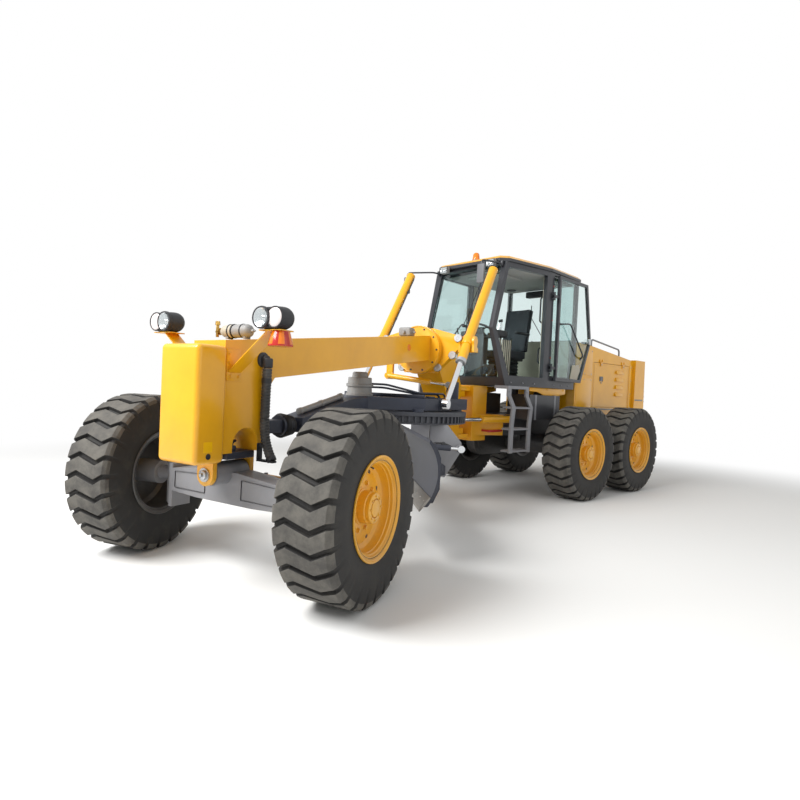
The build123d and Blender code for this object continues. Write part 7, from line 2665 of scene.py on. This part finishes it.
@dataclass
class Studio:
    """A pale floor, soft lamps and the camera where the photograph was taken."""

    eye: Axis3 = (2.7622, -7.1745, 1.503)
    azimuth: float = 32.607
    dip: float = 1.377
    roll: float = 2.583
    focal_px: float = 554.771
    centre_px: Pair = (366.687, 399.903)
    frame_px: int = 800

    def camera(self) -> Piece:
        """The camera, turned and shifted as the photograph's.

        Returns:
            The camera's object.
        """
        data = bpy.data.cameras.new("camera")
        data.sensor_width = 36.0
        data.lens = data.sensor_width * self.focal_px / self.frame_px
        data.shift_x = (self.frame_px / 2 - self.centre_px[0]) / self.frame_px
        data.shift_y = (self.centre_px[1] - self.frame_px / 2) / self.frame_px
        data.clip_end = 200.0
        camera = bpy.data.objects.new("camera", data)
        bpy.context.scene.collection.objects.link(camera)
        az, dip, roll = (math.radians(a) for a in (self.azimuth, self.dip, self.roll))
        ahead = Vector((-math.sin(az) * math.cos(dip), math.cos(az) * math.cos(dip), -math.sin(dip)))
        right = Vector((math.cos(az), math.sin(az), 0))
        up = right.cross(ahead)
        wide = math.cos(roll) * right + math.sin(roll) * up
        tall = -math.sin(roll) * right + math.cos(roll) * up
        turn = Matrix((wide, tall, -ahead)).transposed().to_4x4()
        camera.matrix_world = Matrix.Translation(self.eye) @ turn
        bpy.context.scene.camera = camera
        return camera

    def lamp(self, name: str, spot: Axis3, aim: Axis3, size: float, power: float) -> None:
        """Adds a square soft lamp that looks at a point.

        Args:
            name: the lamp's name.
            spot: where it hangs.
            aim: the point it looks at.
            size: the length of its side.
            power: its power in watts.
        """
        data = bpy.data.lights.new(name, "AREA")
        data.size = size
        data.energy = power
        lamp = bpy.data.objects.new(name, data)
        bpy.context.scene.collection.objects.link(lamp)
        look = (Vector(aim) - Vector(spot)).to_track_quat("-Z", "Y").to_matrix().to_4x4()
        lamp.matrix_world = Matrix.Translation(spot) @ look

    def floor(self) -> None:
        """A wide pale floor, marked as stage."""
        bm = bmesh.new()
        bmesh.ops.create_grid(bm, x_segments=1, y_segments=1, size=60.0)
        bmesh.ops.translate(bm, vec=(0, 0, -0.002), verts=bm.verts)
        mesh = bpy.data.meshes.new("floor")
        bm.to_mesh(mesh)
        bm.free()
        floor = bpy.data.objects.new("floor", mesh)
        bpy.context.scene.collection.objects.link(floor)
        paint = bpy.data.materials.new("studio_floor")
        paint.use_nodes = True
        tree = paint.node_tree
        tree.nodes.clear()
        near = add_node(tree, "BsdfPrincipled", {
            "Base Color": linear("F6F6F4"), "Roughness": 0.9, "Specular IOR Level": 0.1,
        })
        far = add_node(tree, "Emission", {"Color": linear("FFFFFF"), "Strength": 1.0})
        place = add_node(tree, "TexCoord").outputs["Object"]
        reach = add_node(tree, "VectorMath", {0: place}, operation="LENGTH")
        share = add_node(tree, "MapRange", {
            "Value": reach.outputs["Value"], "From Min": 5.5, "From Max": 10.0,
        }, interpolation_type="SMOOTHSTEP")
        blend = add_node(tree, "MixShader", {0: share, 1: near, 2: far})
        add_node(tree, "OutputMaterial", {"Surface": blend})
        mesh.materials.append(paint)

    def sky(self) -> None:
        """An even pale world that is white to the eye and softer as light."""
        world = bpy.data.worlds.new("studio")
        bpy.context.scene.world = world
        world.use_nodes = True
        tree = world.node_tree
        tree.nodes.clear()
        ray = add_node(tree, "LightPath")
        seen = add_node(tree, "Math", {
            0: ray.outputs["Is Camera Ray"], 1: ray.outputs["Is Glossy Ray"],
        }, operation="MAXIMUM")
        through = add_node(tree, "Math", {
            0: seen, 1: ray.outputs["Is Transmission Ray"],
        }, operation="MAXIMUM")
        power = add_node(tree, "MapRange", {"Value": through, "To Min": 0.5, "To Max": 1.0})
        light = add_node(tree, "Background", {"Color": linear("FFFFFF"), "Strength": power})
        add_node(tree, "OutputWorld", {"Surface": light})

    def build(self) -> None:
        """Sets the whole studio up."""
        self.camera()
        self.floor()
        self.sky()
        self.lamp("key", (-3.5, -9.0, 7.5), (0.2, -1.5, 1.0), 5.0, 1250.0)
        self.lamp("fill", (8.0, -4.0, 4.5), (0.3, 0, 1.0), 5.0, 70.0)
        view = bpy.context.scene.view_settings
        view.view_transform = "Standard"


def main() -> None:
    """Builds the dressed machine and the studio round it."""
    logging.basicConfig(level=logging.INFO, format="%(message)s")
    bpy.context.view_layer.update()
    Studio().build()
    made = SleevedHose().build()
    made += dress_nodes()
    makers = [
        Nose(), *(HeadLamp(side) for side in Side), Canister(), Saddle(),
        *(LiftCylinder(side) for side in Side), AxleFittings(), *wheels(), Drawbar(), Circle(), Blade(),
        Cab(), Seat(), Controls(), *(Door(side) for side in Side), RailsAndMirrors(), RoofLamps(),
        *(HoodDoor(side) for side in Side), HoodShell(), Engine(), Chassis(),
        *(TandemFittings(side) for side in Side),
    ]
    for maker in makers:
        pieces = maker.build()
        LOG.info("%s: %d pieces", type(maker).__name__, len(pieces))
        made += pieces
    LOG.info("%d pieces in all", len(made))


if __name__ == "__main__":
    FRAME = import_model()
    main()
